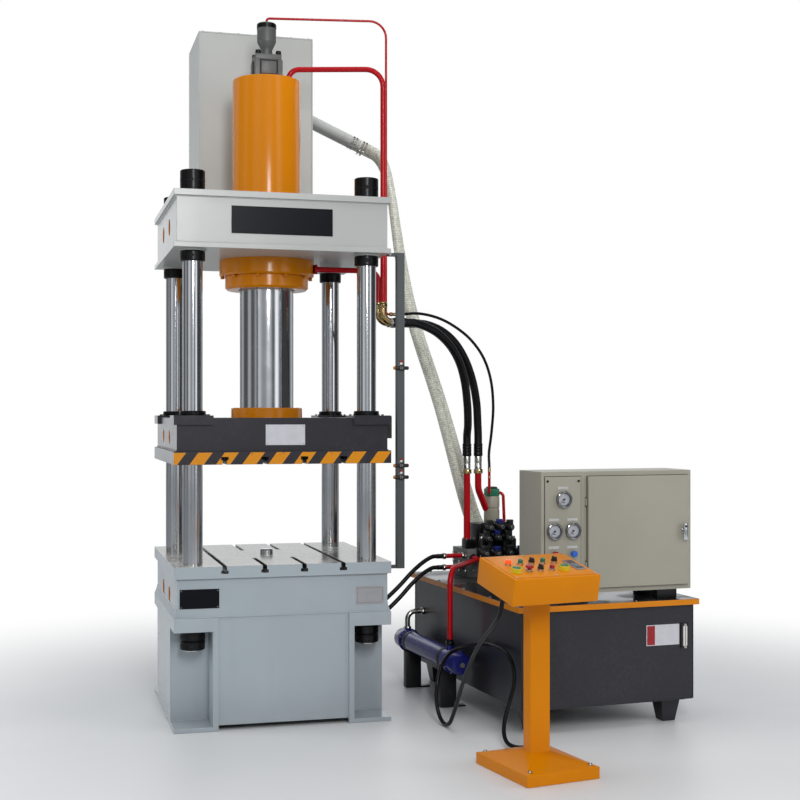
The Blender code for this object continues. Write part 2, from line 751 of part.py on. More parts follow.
def make_bolster(press):
    """Bolster plate with two through T-slots and two that stop short of the middle."""
    bm = bmesh.new()
    add_box(bm, -HALF_WIDTH, HALF_WIDTH, -HALF_DEPTH, HALF_DEPTH, BASE_HEIGHT + GAP, TABLE_TOP)
    bolster = piece(bm, "bolster_plate", "machined", press)
    bm = bmesh.new()
    edge = HALF_DEPTH + OVERRUN
    for side in (-1, 1):
        add_slot(bm, side * 1.5 * SLOT_PITCH, TABLE_TOP, -edge, edge)
        add_slot(bm, side * 0.5 * SLOT_PITCH, TABLE_TOP, -edge, -INNER_SLOT_STOP)
        add_slot(bm, side * 0.5 * SLOT_PITCH, TABLE_TOP, INNER_SLOT_STOP, edge)
    cut(bolster, bm, "bolster_slot_cut")
    cut_column_bores(bolster, BASE_HEIGHT - OVERRUN, TABLE_TOP + OVERRUN, GAP, "bolster_column_cut")
    bm = bmesh.new()
    radius = EJECTOR_ROD_DIAMETER / 2 + RUNNING_GAP
    add_turned(bm, [(radius, BASE_HEIGHT - OVERRUN), (radius, TABLE_TOP + OVERRUN)])
    cut(bolster, bm, "bolster_ejector_cut")


def nut_profile(bottom, top, radius):
    return [(radius - NUT_CHAMFER, bottom), (radius, bottom + NUT_CHAMFER),
            (radius, top - NUT_CHAMFER), (radius - NUT_CHAMFER, top)]


def make_columns(press):
    """Columns, each turned with its lower nut and the stop nut under the crown."""
    rod = COLUMN_DIAMETER / 2
    nut = NUT_DIAMETER / 2
    nut_top = SHELF_BOTTOM - GAP
    nut_bottom = nut_top - LOWER_NUT_HEIGHT
    washer_top = CROWN_BOTTOM - GAP
    washer_bottom = washer_top - STOP_WASHER_THICK
    top = CROWN_TOP + TOP_NUT_HEIGHT - COLUMN_TOP_INSET
    profile = [(rod - COLUMN_CHAMFER, nut_bottom - COLUMN_FOOT),
               (rod, nut_bottom - COLUMN_FOOT + COLUMN_CHAMFER), (rod, nut_bottom)]
    profile += nut_profile(nut_bottom, nut_top, nut)
    profile += [(rod, nut_top), (rod, washer_bottom - STOP_NUT_HEIGHT)]
    profile += nut_profile(washer_bottom - STOP_NUT_HEIGHT, washer_bottom, nut)
    profile += [(STOP_WASHER_DIAMETER / 2, washer_bottom), (STOP_WASHER_DIAMETER / 2, washer_top),
                (rod, washer_top), (rod, top - COLUMN_CHAMFER), (rod - COLUMN_CHAMFER, top)]
    for (x, y), corner in zip(COLUMN_PLACES, CORNER_NAMES):
        bm = bmesh.new()
        add_turned(bm, profile, at(x, y))
        piece(bm, "column_" + corner, "chrome", press, (x, y, 0))


def make_top_nuts(press):
    bore = COLUMN_DIAMETER / 2 + GAP
    nut = NUT_DIAMETER / 2
    flange = TOP_NUT_FLANGE_DIAMETER / 2
    bottom = CROWN_TOP + GAP
    shoulder = bottom + TOP_NUT_FLANGE_THICK
    top = bottom + TOP_NUT_HEIGHT
    profile = [(bore, bottom), (flange, bottom), (flange, shoulder), (nut, shoulder),
               (nut, top - NUT_CHAMFER), (nut - NUT_CHAMFER, top), (bore, top)]
    for (x, y), corner in zip(COLUMN_PLACES, CORNER_NAMES):
        bm = bmesh.new()
        add_turned(bm, profile, at(x, y), closed=True)
        piece(bm, "top_nut_" + corner, "black_steel", press, (x, y, 0))


def cut_ring_chamber(target, inner_x, inner_y, boss, bottom, top, name):
    """Hollow a weldment between its walls, its corner blocks and its middle boss."""
    waist_x = BODY_X - CORNER_BLOCK
    waist_y = BODY_Y - CORNER_BLOCK
    for side in (-1, 1):
        bm = bmesh.new()
        x = sorted((side * boss, side * inner_x))
        add_box(bm, x[0], x[1], -waist_y, waist_y, bottom, top)
        cut(target, bm, name + ("_left" if side < 0 else "_right"))
        bm = bmesh.new()
        y = sorted((side * boss, side * inner_y))
        add_box(bm, -waist_x, waist_x, y[0], y[1], bottom, top)
        cut(target, bm, name + ("_front" if side < 0 else "_back"))


def make_crown(press):
    """Crown: two wide plates with a ribbed web box between them."""
    web_bottom = CROWN_BOTTOM + CROWN_BOTTOM_PLATE
    web_top = CROWN_TOP - CROWN_TOP_PLATE
    wide = (-HALF_WIDTH, HALF_WIDTH, -HALF_DEPTH, HALF_DEPTH)
    narrow = (-BODY_X, BODY_X, -BODY_Y, BODY_Y)
    bm = bmesh.new()
    add_stack(bm, [(*wide, CROWN_BOTTOM), (*wide, web_bottom), (*narrow, web_bottom),
                   (*narrow, web_top), (*wide, web_top), (*wide, CROWN_TOP)])
    crown = piece(bm, "crown", "crown_grey", press)
    cut_ring_chamber(crown, BODY_X - CROWN_WALL, BODY_Y - CROWN_WALL, CROWN_BOSS_WIDTH / 2,
                     web_bottom, web_top, "crown_chamber_cut")
    bm = bmesh.new()
    for side_x in (-1, 1):
        for side_y in (-1, 1):
            place = facing_right(side_x * HALF_WIDTH - CORNER_BLOCK, side_y * SIDE_HOLE_SPACING / 2,
                                 CROWN_BOTTOM + CROWN_HOLE_HEIGHT)
            add_turned(bm, [(CROWN_HOLE_DIAMETER / 2, 0), (CROWN_HOLE_DIAMETER / 2, 2 * CORNER_BLOCK)],
                       place, SMALL_SIDES)
    cut(crown, bm, "crown_side_hole_cut")
    cut_column_bores(crown, CROWN_BOTTOM - OVERRUN, CROWN_TOP + OVERRUN, GAP, "crown_column_cut")
    bm = bmesh.new()
    radius = BARREL_DIAMETER / 2 + GAP
    add_turned(bm, [(radius, CROWN_BOTTOM - OVERRUN), (radius, CROWN_TOP + OVERRUN)])
    cut(crown, bm, "crown_barrel_cut")


def make_slide(press):
    """Slide: slotted plate, ribbed body, corner guide pads with wipers, and the switch dog."""
    plate_top = SLIDE_BOTTOM + SLIDE_PLATE_THICK
    pad_top = SLIDE_TOP + PAD_RISE
    wide = (-HALF_WIDTH, HALF_WIDTH, -HALF_DEPTH, HALF_DEPTH)
    narrow = (-BODY_X, BODY_X, -BODY_Y, BODY_Y)
    bm = bmesh.new()
    add_stack(bm, [(*wide, SLIDE_BOTTOM), (*wide, plate_top), (*narrow, plate_top),
                   (*narrow, SLIDE_TOP)])
    slide = piece(bm, "slide", "charcoal", press)

    bm = bmesh.new()
    for side_x in (-1, 1):
        for side_y in (-1, 1):
            x = sorted((side_x * HALF_WIDTH, side_x * (HALF_WIDTH - PAD_WIDTH)))
            y = sorted((side_y * HALF_DEPTH, side_y * (HALF_DEPTH - PAD_WIDTH)))
            add_box(bm, x[0], x[1], y[0], y[1], pad_top - PAD_THICK, pad_top)
    weld(slide, bm, "slide_pad_weld")
    bm = bmesh.new()
    for x, y in COLUMN_PLACES:
        add_turned(bm, [(WIPER_DIAMETER / 2, pad_top - WIPER_SINK),
                        (WIPER_DIAMETER / 2, pad_top + WIPER_HEIGHT)], at(x, y))
    weld(slide, bm, "slide_wiper_weld")
    bm = bmesh.new()
    dog_front = -HALF_DEPTH + DOG_SETBACK
    add_box(bm, HALF_WIDTH - DOG_SINK, HALF_WIDTH + DOG_REACH, dog_front, dog_front + DOG_WIDTH,
            pad_top - DOG_DROP, pad_top - WIPER_SINK)
    weld(slide, bm, "slide_dog_weld")

    bm = bmesh.new()
    edge = HALF_DEPTH + OVERRUN
    for place in (-1.5, -0.5, 0.5, 1.5):
        add_slot(bm, place * SLOT_PITCH, SLIDE_BOTTOM, -edge, edge, -1)
    cut(slide, bm, "slide_slot_cut")
    cut_ring_chamber(slide, BODY_X - SLIDE_WALL, BODY_Y - SLIDE_WALL, SLIDE_BOSS_WIDTH / 2,
                     plate_top + SLIDE_FLOOR, SLIDE_TOP - SLIDE_TOP_WALL, "slide_chamber_cut")
    bm = bmesh.new()
    for side_x in (-1, 1):
        for side_y in (-1, 1):
            place = facing_right(side_x * HALF_WIDTH - CORNER_BLOCK, side_y * SIDE_HOLE_SPACING / 2,
                                 SLIDE_BOTTOM + SLIDE_HOLE_HEIGHT)
            add_turned(bm, [(SLIDE_HOLE_DIAMETER / 2, 0), (SLIDE_HOLE_DIAMETER / 2, 2 * CORNER_BLOCK)],
                       place, SMALL_SIDES)
    cut(slide, bm, "slide_side_hole_cut")
    cut_column_bores(slide, SLIDE_BOTTOM - OVERRUN, pad_top + WIPER_HEIGHT + OVERRUN, RUNNING_GAP,
                     "slide_column_cut")


def make_cylinder(press):
    """Cylinder barrel with its flange, the gland under it, the ram and the ring on the slide."""
    outer = BARREL_DIAMETER / 2
    flange = FLANGE_DIAMETER / 2
    bore = RAM_DIAMETER / 2 + RUNNING_GAP
    port = VALVE_SPIGOT_DIAMETER / 2 + GAP
    seat = CROWN_BOTTOM - GAP
    head = BARREL_TOP - BARREL_HEAD_THICK
    bm = bmesh.new()
    add_turned(bm, [(bore, FLANGE_BOTTOM), (flange - BARREL_CHAMFER, FLANGE_BOTTOM),
                    (flange, FLANGE_BOTTOM + BARREL_CHAMFER), (flange, seat), (outer, seat),
                    (outer, BARREL_TOP - BARREL_CHAMFER), (outer - BARREL_CHAMFER, BARREL_TOP),
                    (port, BARREL_TOP), (port, head), (bore, head)], closed=True)
    piece(bm, "cylinder_barrel", "orange", press)

    gland = GLAND_DIAMETER / 2
    gland_top = FLANGE_BOTTOM - GAP
    bm = bmesh.new()
    add_turned(bm, [(bore, GLAND_BOTTOM), (gland - GLAND_CHAMFER, GLAND_BOTTOM),
                    (gland, GLAND_BOTTOM + GLAND_CHAMFER), (gland, gland_top), (bore, gland_top)],
               closed=True)
    piece(bm, "gland_ring", "orange", press)

    ram = RAM_DIAMETER / 2
    ram_bottom = SLIDE_TOP + GAP
    bm = bmesh.new()
    add_turned(bm, [(ram, ram_bottom), (ram, ram_bottom + RAM_LENGTH - RAM_CHAMFER),
                    (ram - RAM_CHAMFER, ram_bottom + RAM_LENGTH)])
    piece(bm, "ram", "chrome", press)

    ring = RAM_RING_DIAMETER / 2
    bm = bmesh.new()
    add_turned(bm, [(ram + GAP, ram_bottom), (ring, ram_bottom), (ring, ram_bottom + RAM_RING_THICK),
                    (ram + GAP, ram_bottom + RAM_RING_THICK)], closed=True)
    piece(bm, "ram_flange", "orange", press)


def make_prefill_valve(press):
    """Prefill valve: spigot in the cylinder head, ported block, flange, cone, body and cap."""
    block = VALVE_BLOCK_WIDTH / 2
    bottom = BARREL_TOP + GAP
    block_top = bottom + VALVE_BLOCK_HEIGHT
    bm = bmesh.new()
    add_box(bm, -block, block, -block, block, bottom, block_top)
    valve = piece(bm, "prefill_valve", "valve_grey", press)
    bm = bmesh.new()
    flange = VALVE_FLANGE_WIDTH / 2
    flange_top = block_top + VALVE_FLANGE_THICK
    add_box(bm, -flange, flange, -flange, flange, block_top - OVERRUN, flange_top)
    weld(valve, bm, "valve_flange_weld")
    neck = VALVE_NECK_DIAMETER / 2
    body = VALVE_BODY_DIAMETER / 2
    cap = VALVE_CAP_DIAMETER / 2
    cone_top = flange_top + VALVE_CONE_HEIGHT
    body_top = cone_top + VALVE_BODY_HEIGHT
    bm = bmesh.new()
    add_turned(bm, [(neck, flange_top - OVERRUN), (neck, flange_top), (body, cone_top),
                    (body, body_top), (cap, body_top), (cap, VALVE_TOP)])
    weld(valve, bm, "valve_body_weld")
    spigot = VALVE_SPIGOT_DIAMETER / 2
    bm = bmesh.new()
    add_turned(bm, [(spigot, BARREL_TOP - VALVE_SPIGOT_LENGTH), (spigot, bottom + OVERRUN)])
    weld(valve, bm, "valve_spigot_weld")


def make_prefill_tank(press):
    """Prefill tank of folded sheet with two outlet pipes, and its cover."""
    half = TANK_WIDTH / 2
    back = TANK_FRONT + TANK_DEPTH
    bottom = CROWN_TOP + GAP
    top = bottom + TANK_HEIGHT
    bm = bmesh.new()
    add_box(bm, -half, half, TANK_FRONT, back, bottom, top)
    tank = piece(bm, "prefill_tank", "crown_grey", press)
    bm = bmesh.new()
    for i in (0, 1):
        y = OUTLET_Y + i * OUTLET_PITCH
        add_pipe(bm, [(half - TANK_SHEET, y, OUTLET_Z), (half + OUTLET_RUN, y, OUTLET_Z - OUTLET_DROP)],
                 OUTLET_DIAMETER)
    weld(tank, bm, "tank_outlet_weld")
    bm = bmesh.new()
    add_box(bm, -half + TANK_SHEET, half - TANK_SHEET, TANK_FRONT + TANK_SHEET, back - TANK_SHEET,
            bottom + TANK_SHEET, top + OVERRUN)
    cut(tank, bm, "tank_inside_cut")
    bm = bmesh.new()
    add_box(bm, -half, half, TANK_FRONT, back, top + GAP, top + GAP + COVER_THICK)
    piece(bm, "prefill_cover", "crown_grey", press)


def make_pipes(press):
    """Pressure pipe from the cylinder head, return pipe from its flange, and the pilot pipe."""
    level = BARREL_TOP + PRESSURE_PIPE_RISE
    corners = [(PRESSURE_PIPE_OFFSET, 0, BARREL_TOP + GAP), (PRESSURE_PIPE_OFFSET, 0, level),
               (PRESSURE_PIPE_X, PRESSURE_PIPE_Y, level),
               (PRESSURE_PIPE_X, PRESSURE_PIPE_Y, ELBOW_LEVEL),
               (ELBOW_REACH, PRESSURE_PIPE_Y, ELBOW_LEVEL)]
    points = bent_route(corners[:3], ELBOW_BEND)[:-1]
    points += bent_route([points[-1]] + corners[2:4], PIPE_BEND)[1:-1]
    points += bent_route([points[-1]] + corners[3:], ELBOW_BEND)[1:]
    bm = bmesh.new()
    add_pipe(bm, points, PRESSURE_PIPE_DIAMETER)
    piece(bm, "pressure_pipe", "pipe_red", press)

    flange = FLANGE_DIAMETER / 2
    level = FLANGE_BOTTOM + FLANGE_THICK / 2
    start = math.sqrt(flange ** 2 - RETURN_PIPE_Y ** 2)
    corners = [(start + PIPE_FLANGE_THICK / 2, RETURN_PIPE_Y, level),
               (RETURN_PIPE_X, RETURN_PIPE_Y, level),
               (RETURN_PIPE_X, RETURN_PIPE_Y, ELBOW_LEVEL),
               (ELBOW_REACH, RETURN_PIPE_Y, ELBOW_LEVEL)]
    bm = bmesh.new()
    add_pipe(bm, bent_route(corners, ELBOW_BEND), PRESSURE_PIPE_DIAMETER)
    pipe = piece(bm, "return_pipe", "pipe_red", press)
    bm = bmesh.new()
    add_turned(bm, [(PIPE_FLANGE_DIAMETER / 2, 0),
                    (PIPE_FLANGE_DIAMETER / 2, PIPE_FLANGE_THICK)],
               facing_right(start - GAP, RETURN_PIPE_Y, level), SMALL_SIDES)
    weld(pipe, bm, "return_flange_weld")
    bm = bmesh.new()
    add_turned(bm, [(flange + GAP, FLANGE_BOTTOM - OVERRUN), (flange + GAP, CROWN_BOTTOM)])
    cut(pipe, bm, "return_seat_cut")

    level = VALVE_TOP + PILOT_PIPE_RISE
    corners = [(0, 0, VALVE_TOP + GAP), (0, 0, level), (PILOT_PIPE_X, PILOT_PIPE_Y, level),
               (PILOT_PIPE_X, PILOT_PIPE_Y, PILOT_ELBOW_LEVEL),
               (ELBOW_REACH, PILOT_PIPE_Y, PILOT_ELBOW_LEVEL)]
    small = PILOT_PIPE_RISE / 2
    points = bent_route(corners[:3], small)[:-1]
    points += bent_route([points[-1]] + corners[2:4], PILOT_BEND)[1:-1]
    points += bent_route([points[-1]] + corners[3:], small)[1:]
    bm = bmesh.new()
    add_pipe(bm, points, PILOT_PIPE_DIAMETER, SMALL_SIDES // 2)
    piece(bm, "pilot_pipe", "pipe_red", press)


def make_ejector(press):
    """Ejector cylinder hung under the bolster, and its rod."""
    body = EJECTOR_BODY_DIAMETER / 2
    flange = EJECTOR_FLANGE_DIAMETER / 2
    rod = EJECTOR_ROD_DIAMETER / 2
    bore = rod + RUNNING_GAP
    top = BASE_HEIGHT
    bottom = top - EJECTOR_LENGTH
    rod_top = TABLE_TOP + EJECTOR_ROD_PROUD
    rod_bottom = rod_top - EJECTOR_ROD_LENGTH
    bm = bmesh.new()
    add_turned(bm, [(body, bottom), (body, top - EJECTOR_FLANGE_THICK),
                    (flange, top - EJECTOR_FLANGE_THICK), (flange, top), (bore, top),
                    (bore, rod_bottom - EJECTOR_BORE_SPARE)])
    piece(bm, "ejector_cylinder", "black_steel", press)
    bm = bmesh.new()
    add_turned(bm, [(rod, rod_bottom), (rod, rod_top - EJECTOR_ROD_CHAMFER),
                    (rod - EJECTOR_ROD_CHAMFER, rod_top)])
    piece(bm, "ejector_rod", "chrome", press)


def make_switch_rail(press):
    """Square rail bracketed to the bolster and the crown, with three limit switches."""
    half = RAIL_SIZE / 2
    bottom = TABLE_TOP - RAIL_SKIRT
    top = CROWN_BOTTOM + RAIL_TOP_RISE
    bm = bmesh.new()
    add_box(bm, RAIL_X - half, RAIL_X + half, RAIL_Y - half, RAIL_Y + half, bottom, top)
    rail = piece(bm, "switch_rail", "valve_grey", press)
    bm = bmesh.new()
    for low in (bottom, top - BRACKET_THICK):
        add_box(bm, HALF_WIDTH + GAP, RAIL_X, RAIL_Y - half / 2, RAIL_Y + half / 2, low,
                low + BRACKET_THICK)
    weld(rail, bm, "rail_bracket_weld")
    bm = bmesh.new()
    for height in SENSOR_HEIGHTS:
        place = facing_right(RAIL_X - SENSOR_LENGTH / 2, RAIL_Y - half, height)
        add_turned(bm, [(SENSOR_DIAMETER / 2, 0), (SENSOR_DIAMETER / 2, SENSOR_LENGTH)], place,
                   SMALL_SIDES // 2)
    weld(rail, bm, "rail_sensor_weld")


def make_oil_tank(unit):
    """Oil tank of folded sheet on tapered legs, with its level gauge."""
    sheet = OIL_TANK_SHEET
    bm = bmesh.new()
    add_box(bm, 0, OIL_TANK_WIDTH, 0, OIL_TANK_DEPTH, OIL_TANK_BOTTOM, OIL_TANK_TOP)
    tank = piece(bm, "oil_tank", "charcoal", unit)
    bm = bmesh.new()
    for x in (LEG_INSET, OIL_TANK_WIDTH - LEG_INSET - LEG_TOP):
        for y in (LEG_INSET, OIL_TANK_DEPTH - LEG_INSET - LEG_TOP):
            taper = (LEG_TOP - LEG_FOOT) / 2
            add_stack(bm, [(x + taper, x + LEG_TOP - taper, y + taper, y + LEG_TOP - taper, 0),
                           (x, x + LEG_TOP, y, y + LEG_TOP, OIL_TANK_BOTTOM),
                           (x, x + LEG_TOP, y, y + LEG_TOP, OIL_TANK_BOTTOM + LEG_OVERLAP)])
    weld(tank, bm, "tank_leg_weld")
    bm = bmesh.new()
    add_box(bm, sheet, OIL_TANK_WIDTH - sheet, sheet, OIL_TANK_DEPTH - sheet,
            OIL_TANK_BOTTOM + sheet, OIL_TANK_TOP + OVERRUN)
    cut(tank, bm, "oil_inside_cut")
    bm = bmesh.new()
    half = LEVEL_GAUGE_WIDTH / 2
    add_box(bm, LEVEL_GAUGE_X - half, LEVEL_GAUGE_X + half, -LEVEL_GAUGE_DEPTH, -GAP,
            LEVEL_GAUGE_Z - LEVEL_GAUGE_HEIGHT / 2, LEVEL_GAUGE_Z + LEVEL_GAUGE_HEIGHT / 2)
    piece(bm, "level_gauge", "black_steel", unit)


def make_tank_lid(unit):
    """Lid folded down all round over the top of the tank, with two hose spigots."""
    reach = LID_OVERHANG
    wall = reach - LID_SHEET
    bm = bmesh.new()
    add_box(bm, -reach, OIL_TANK_WIDTH + reach, -reach, OIL_TANK_DEPTH + reach,
            LID_TOP - LID_SKIRT, LID_TOP)
    lid = piece(bm, "tank_lid", "orange", unit)
    bm = bmesh.new()
    add_box(bm, -wall, OIL_TANK_WIDTH + wall, -wall, OIL_TANK_DEPTH + wall,
            LID_TOP - LID_SKIRT - OVERRUN, OIL_TANK_TOP + GAP)
    cut(lid, bm, "lid_inside_cut")
    bm = bmesh.new()
    for x in SPIGOT_PLACES:
        add_turned(bm, [(FILL_HOSE_DIAMETER / 2, LID_TOP - LID_SHEET / 2),
                        (FILL_HOSE_DIAMETER / 2, LID_TOP + SPIGOT_HEIGHT)],
                   at(x, SPIGOT_Y), SMALL_SIDES)
    weld(lid, bm, "lid_spigot_weld")


def make_cabinet(unit):
    """Sheet cabinet on four feet, with openings for the gauge panel and the door."""
    sheet = CABINET_SHEET
    left = CABINET_X
    right = left + CABINET_WIDTH
    front = CABINET_Y
    back = front + CABINET_DEPTH
    top = CABINET_BASE + CABINET_HEIGHT
    bm = bmesh.new()
    add_box(bm, left, right, front, back, CABINET_BASE, top)
    cabinet = piece(bm, "cabinet", "cabinet_grey", unit)
    bm = bmesh.new()
    width = CABINET_FOOT_WIDTH
    for x in (left + CABINET_FOOT_INSET, right - CABINET_FOOT_INSET - width):
        for y in (front + sheet, back - sheet - width / 2):
            add_box(bm, x, x + width, y, y + width / 2, LID_TOP + GAP, CABINET_BASE + sheet / 2)
    weld(cabinet, bm, "cabinet_foot_weld")
    bm = bmesh.new()
    add_box(bm, left + sheet, right - sheet, front + sheet, back - sheet, CABINET_BASE + sheet,
            top - sheet)
    cut(cabinet, bm, "cabinet_inside_cut")
    bm = bmesh.new()
    gland = CABLE_GLAND_DIAMETER / 2
    add_turned(bm, [(gland, -sheet / 2), (gland, CABLE_GLAND_LENGTH)],
               facing_left(left, CABINET_GLAND_Y, CABINET_GLAND_Z), SMALL_SIDES)
    weld(cabinet, bm, "cabinet_gland_weld")
    bm = bmesh.new()
    low = CABINET_BASE + DOOR_MARGIN + DOOR_LAP
    high = top - DOOR_MARGIN - DOOR_LAP
    add_box(bm, left + DOOR_LEFT + DOOR_LAP, left + DOOR_RIGHT - DOOR_LAP, front - OVERRUN,
            front + 2 * sheet, low, high)
    add_box(bm, left + PANEL_LEFT + DOOR_LAP, left + PANEL_RIGHT - DOOR_LAP, front - OVERRUN,
            front + 2 * sheet, low, high)
    cut(cabinet, bm, "cabinet_window_cut")

    hinge = (left + DOOR_LEFT, front - GAP - DOOR_THICK, CABINET_BASE)
    door_right = left + DOOR_RIGHT
    door_bottom = CABINET_BASE + DOOR_MARGIN
    door_top = top - DOOR_MARGIN
    bm = bmesh.new()
    add_box(bm, hinge[0], door_right, hinge[1], front - GAP, door_bottom, door_top)
    piece(bm, "cabinet_door", "cabinet_grey", unit, hinge)

    pivot = Vector((door_right - LATCH_FROM_EDGE, hinge[1] - GAP,
                    door_bottom + (door_top - door_bottom) * LATCH_Z_SHARE))
    bm = bmesh.new()
    half = LATCH_WIDTH / 2
    rise = LATCH_HEIGHT - LATCH_LEVER_DROP
    add_box(bm, pivot.x - half, pivot.x + half, pivot.y - LATCH_STEM_LENGTH - LATCH_DEPTH,
            pivot.y - LATCH_STEM_LENGTH, pivot.z - LATCH_LEVER_DROP, pivot.z + rise)
    latch = piece(bm, "door_latch", "chrome", unit, pivot)
    bm = bmesh.new()
    add_turned(bm, [(LATCH_STEM_DIAMETER / 2, 0),
                    (LATCH_STEM_DIAMETER / 2, LATCH_STEM_LENGTH + LATCH_DEPTH / 2)],
               facing_front(*pivot), SMALL_SIDES)
    weld(latch, bm, "latch_stem_weld")


def make_gauge_panel(unit):
    """Panel with three dished gauge cases, their needles and two adjusting knobs."""
    left = CABINET_X
    face = CABINET_Y - GAP
    front = face - PANEL_THICK
    bottom = CABINET_BASE + DOOR_MARGIN
    top = CABINET_BASE + CABINET_HEIGHT - DOOR_MARGIN
    bm = bmesh.new()
    add_box(bm, left + PANEL_LEFT, left + PANEL_RIGHT, front, face, bottom, top)
    panel = piece(bm, "gauge_panel", "panel_grey", unit)
    rim = GAUGE_DIAMETER / 2
    dial = rim - GAUGE_RIM
    bm = bmesh.new()
    for x, z in GAUGE_PLACES:
        add_turned(bm, [(rim, -PANEL_THICK / 2), (rim, GAUGE_DEPTH), (dial, GAUGE_DEPTH),
                        (dial, GAUGE_DEPTH - GAUGE_DIAL_DEPTH)],
                   facing_front(left + x, front, CABINET_BASE + z), SIDES)
    weld(panel, bm, "gauge_case_weld")

    dial_face = front - GAUGE_DEPTH + GAUGE_DIAL_DEPTH - GAP
    for number, (x, z) in enumerate(GAUGE_PLACES, 1):
        centre = Vector((left + x, dial_face, CABINET_BASE + z))
        place = facing_front(*centre)
        bm = bmesh.new()
        add_turned(bm, [(NEEDLE_HUB_DIAMETER / 2, 0), (NEEDLE_HUB_DIAMETER / 2, NEEDLE_HUB_HEIGHT)],
                   place, SMALL_SIDES)
        needle = piece(bm, "gauge_needle_%d" % number, "needle_black", unit, centre)
        low = (NEEDLE_HUB_HEIGHT - NEEDLE_THICK) / 2
        pointer = place @ Matrix.Rotation(math.radians(135), 4, "Z")
        half = NEEDLE_WIDTH / 2
        tip = half / 3
        bm = bmesh.new()
        add_prism(bm, [(-half, -NEEDLE_TAIL), (half, -NEEDLE_TAIL), (tip, NEEDLE_LENGTH),
                       (-tip, NEEDLE_LENGTH)], low, low + NEEDLE_THICK, pointer)
        weld(needle, bm, "needle_%d_weld" % number)

    for name, finish, (x, z) in zip(("red_adjusting_knob", "blue_adjusting_knob"),
                                    ("button_red", "knob_blue"), KNOB_PLACES):
        centre = Vector((left + x, front - GAP, CABINET_BASE + z))
        stem = KNOB_STEM_DIAMETER / 2
        knob = KNOB_DIAMETER / 2
        bm = bmesh.new()
        add_turned(bm, [(stem, 0), (stem, KNOB_STEM_LENGTH), (knob, KNOB_STEM_LENGTH),
                        (knob, KNOB_LENGTH)], facing_front(*centre), SMALL_SIDES)
        piece(bm, name, finish, unit, centre)


def make_manifold(unit):
    """Manifold block with a bank of valves, a cartridge valve, hose risers and two stubs."""
    left = MANIFOLD_X
    right = left + MANIFOLD_WIDTH
    front = MANIFOLD_Y
    bottom = LID_TOP + GAP
    block_top = bottom + MANIFOLD_HEIGHT
    bm = bmesh.new()
    add_box(bm, left, right, front, front + MANIFOLD_DEPTH, bottom, block_top)
    block = piece(bm, "valve_manifold", "black_steel", unit)

    bm = bmesh.new()
    for i in range(VALVE_COUNT):
        y = front + VALVE_FIRST + i * VALVE_PITCH - VALVE_WIDTH / 2
        x = left + VALVE_START + VALVE_LENGTH
        add_box(bm, x, x + VALVE_LENGTH, y, y + VALVE_WIDTH, block_top - OVERRUN,
                block_top + VALVE_TALL)
    weld(block, bm, "valve_body_weld_bank")
    bm = bmesh.new()
    for i in range(VALVE_COUNT):
        place = facing_right(left + COIL_START + VALVE_START, front + VALVE_FIRST + i * VALVE_PITCH,
                             block_top + COIL_LIFT)
        add_turned(bm, [(COIL_DIAMETER / 2, 0), (COIL_DIAMETER / 2, COIL_LENGTH)], place, SMALL_SIDES)
    weld(block, bm, "valve_coil_weld")

    bm = bmesh.new()
    radius = CARTRIDGE_DIAMETER / 2
    cap = CARTRIDGE_CAP_DIAMETER / 2
    add_turned(bm, [(radius, block_top - OVERRUN), (radius, CARTRIDGE_TOP), (cap, CARTRIDGE_TOP),
                    (cap, CARTRIDGE_TOP + CARTRIDGE_CAP_HEIGHT)], at(CARTRIDGE_X, CARTRIDGE_Y))
    weld(block, bm, "cartridge_weld")

    bm = bmesh.new()
    sunk = block_top - OVERRUN
    add_pipe(bm, [(RISER_ONE_X, RISER_Y, sunk), (RISER_ONE_X, RISER_Y, RISER_TOP)], RISER_DIAMETER)
    weld(block, bm, "riser_one_weld")
    bm = bmesh.new()
    add_pipe(bm, bent_route([(RISER_TWO_X, RISER_Y, RISER_TOP),
                             (RISER_TWO_X, RISER_Y, RISER_TWO_LEVEL),
                             (CARTRIDGE_X, CARTRIDGE_Y, RISER_TWO_LEVEL - RISER_BEND)],
                            RISER_BEND), RISER_DIAMETER)
    weld(block, bm, "riser_two_weld")
    bm = bmesh.new()
    add_pipe(bm, bent_route([(RISER_THREE_X, RISER_Y, THIN_RISER_TOP),
                             (RISER_THREE_X, RISER_Y, THIN_RISER_LEVEL),
                             (CARTRIDGE_X, CARTRIDGE_Y, THIN_RISER_LEVEL)],
                            THIN_RISER_DIAMETER), THIN_RISER_DIAMETER)
    weld(block, bm, "riser_three_weld")
    bm = bmesh.new()
    for height in STUB_HEIGHTS:
        add_turned(bm, [(STUB_DIAMETER / 2, -OVERRUN), (STUB_DIAMETER / 2, STUB_LENGTH)],
                   facing_left(left, STUB_Y, height), SMALL_SIDES)
    weld(block, bm, "stub_weld")


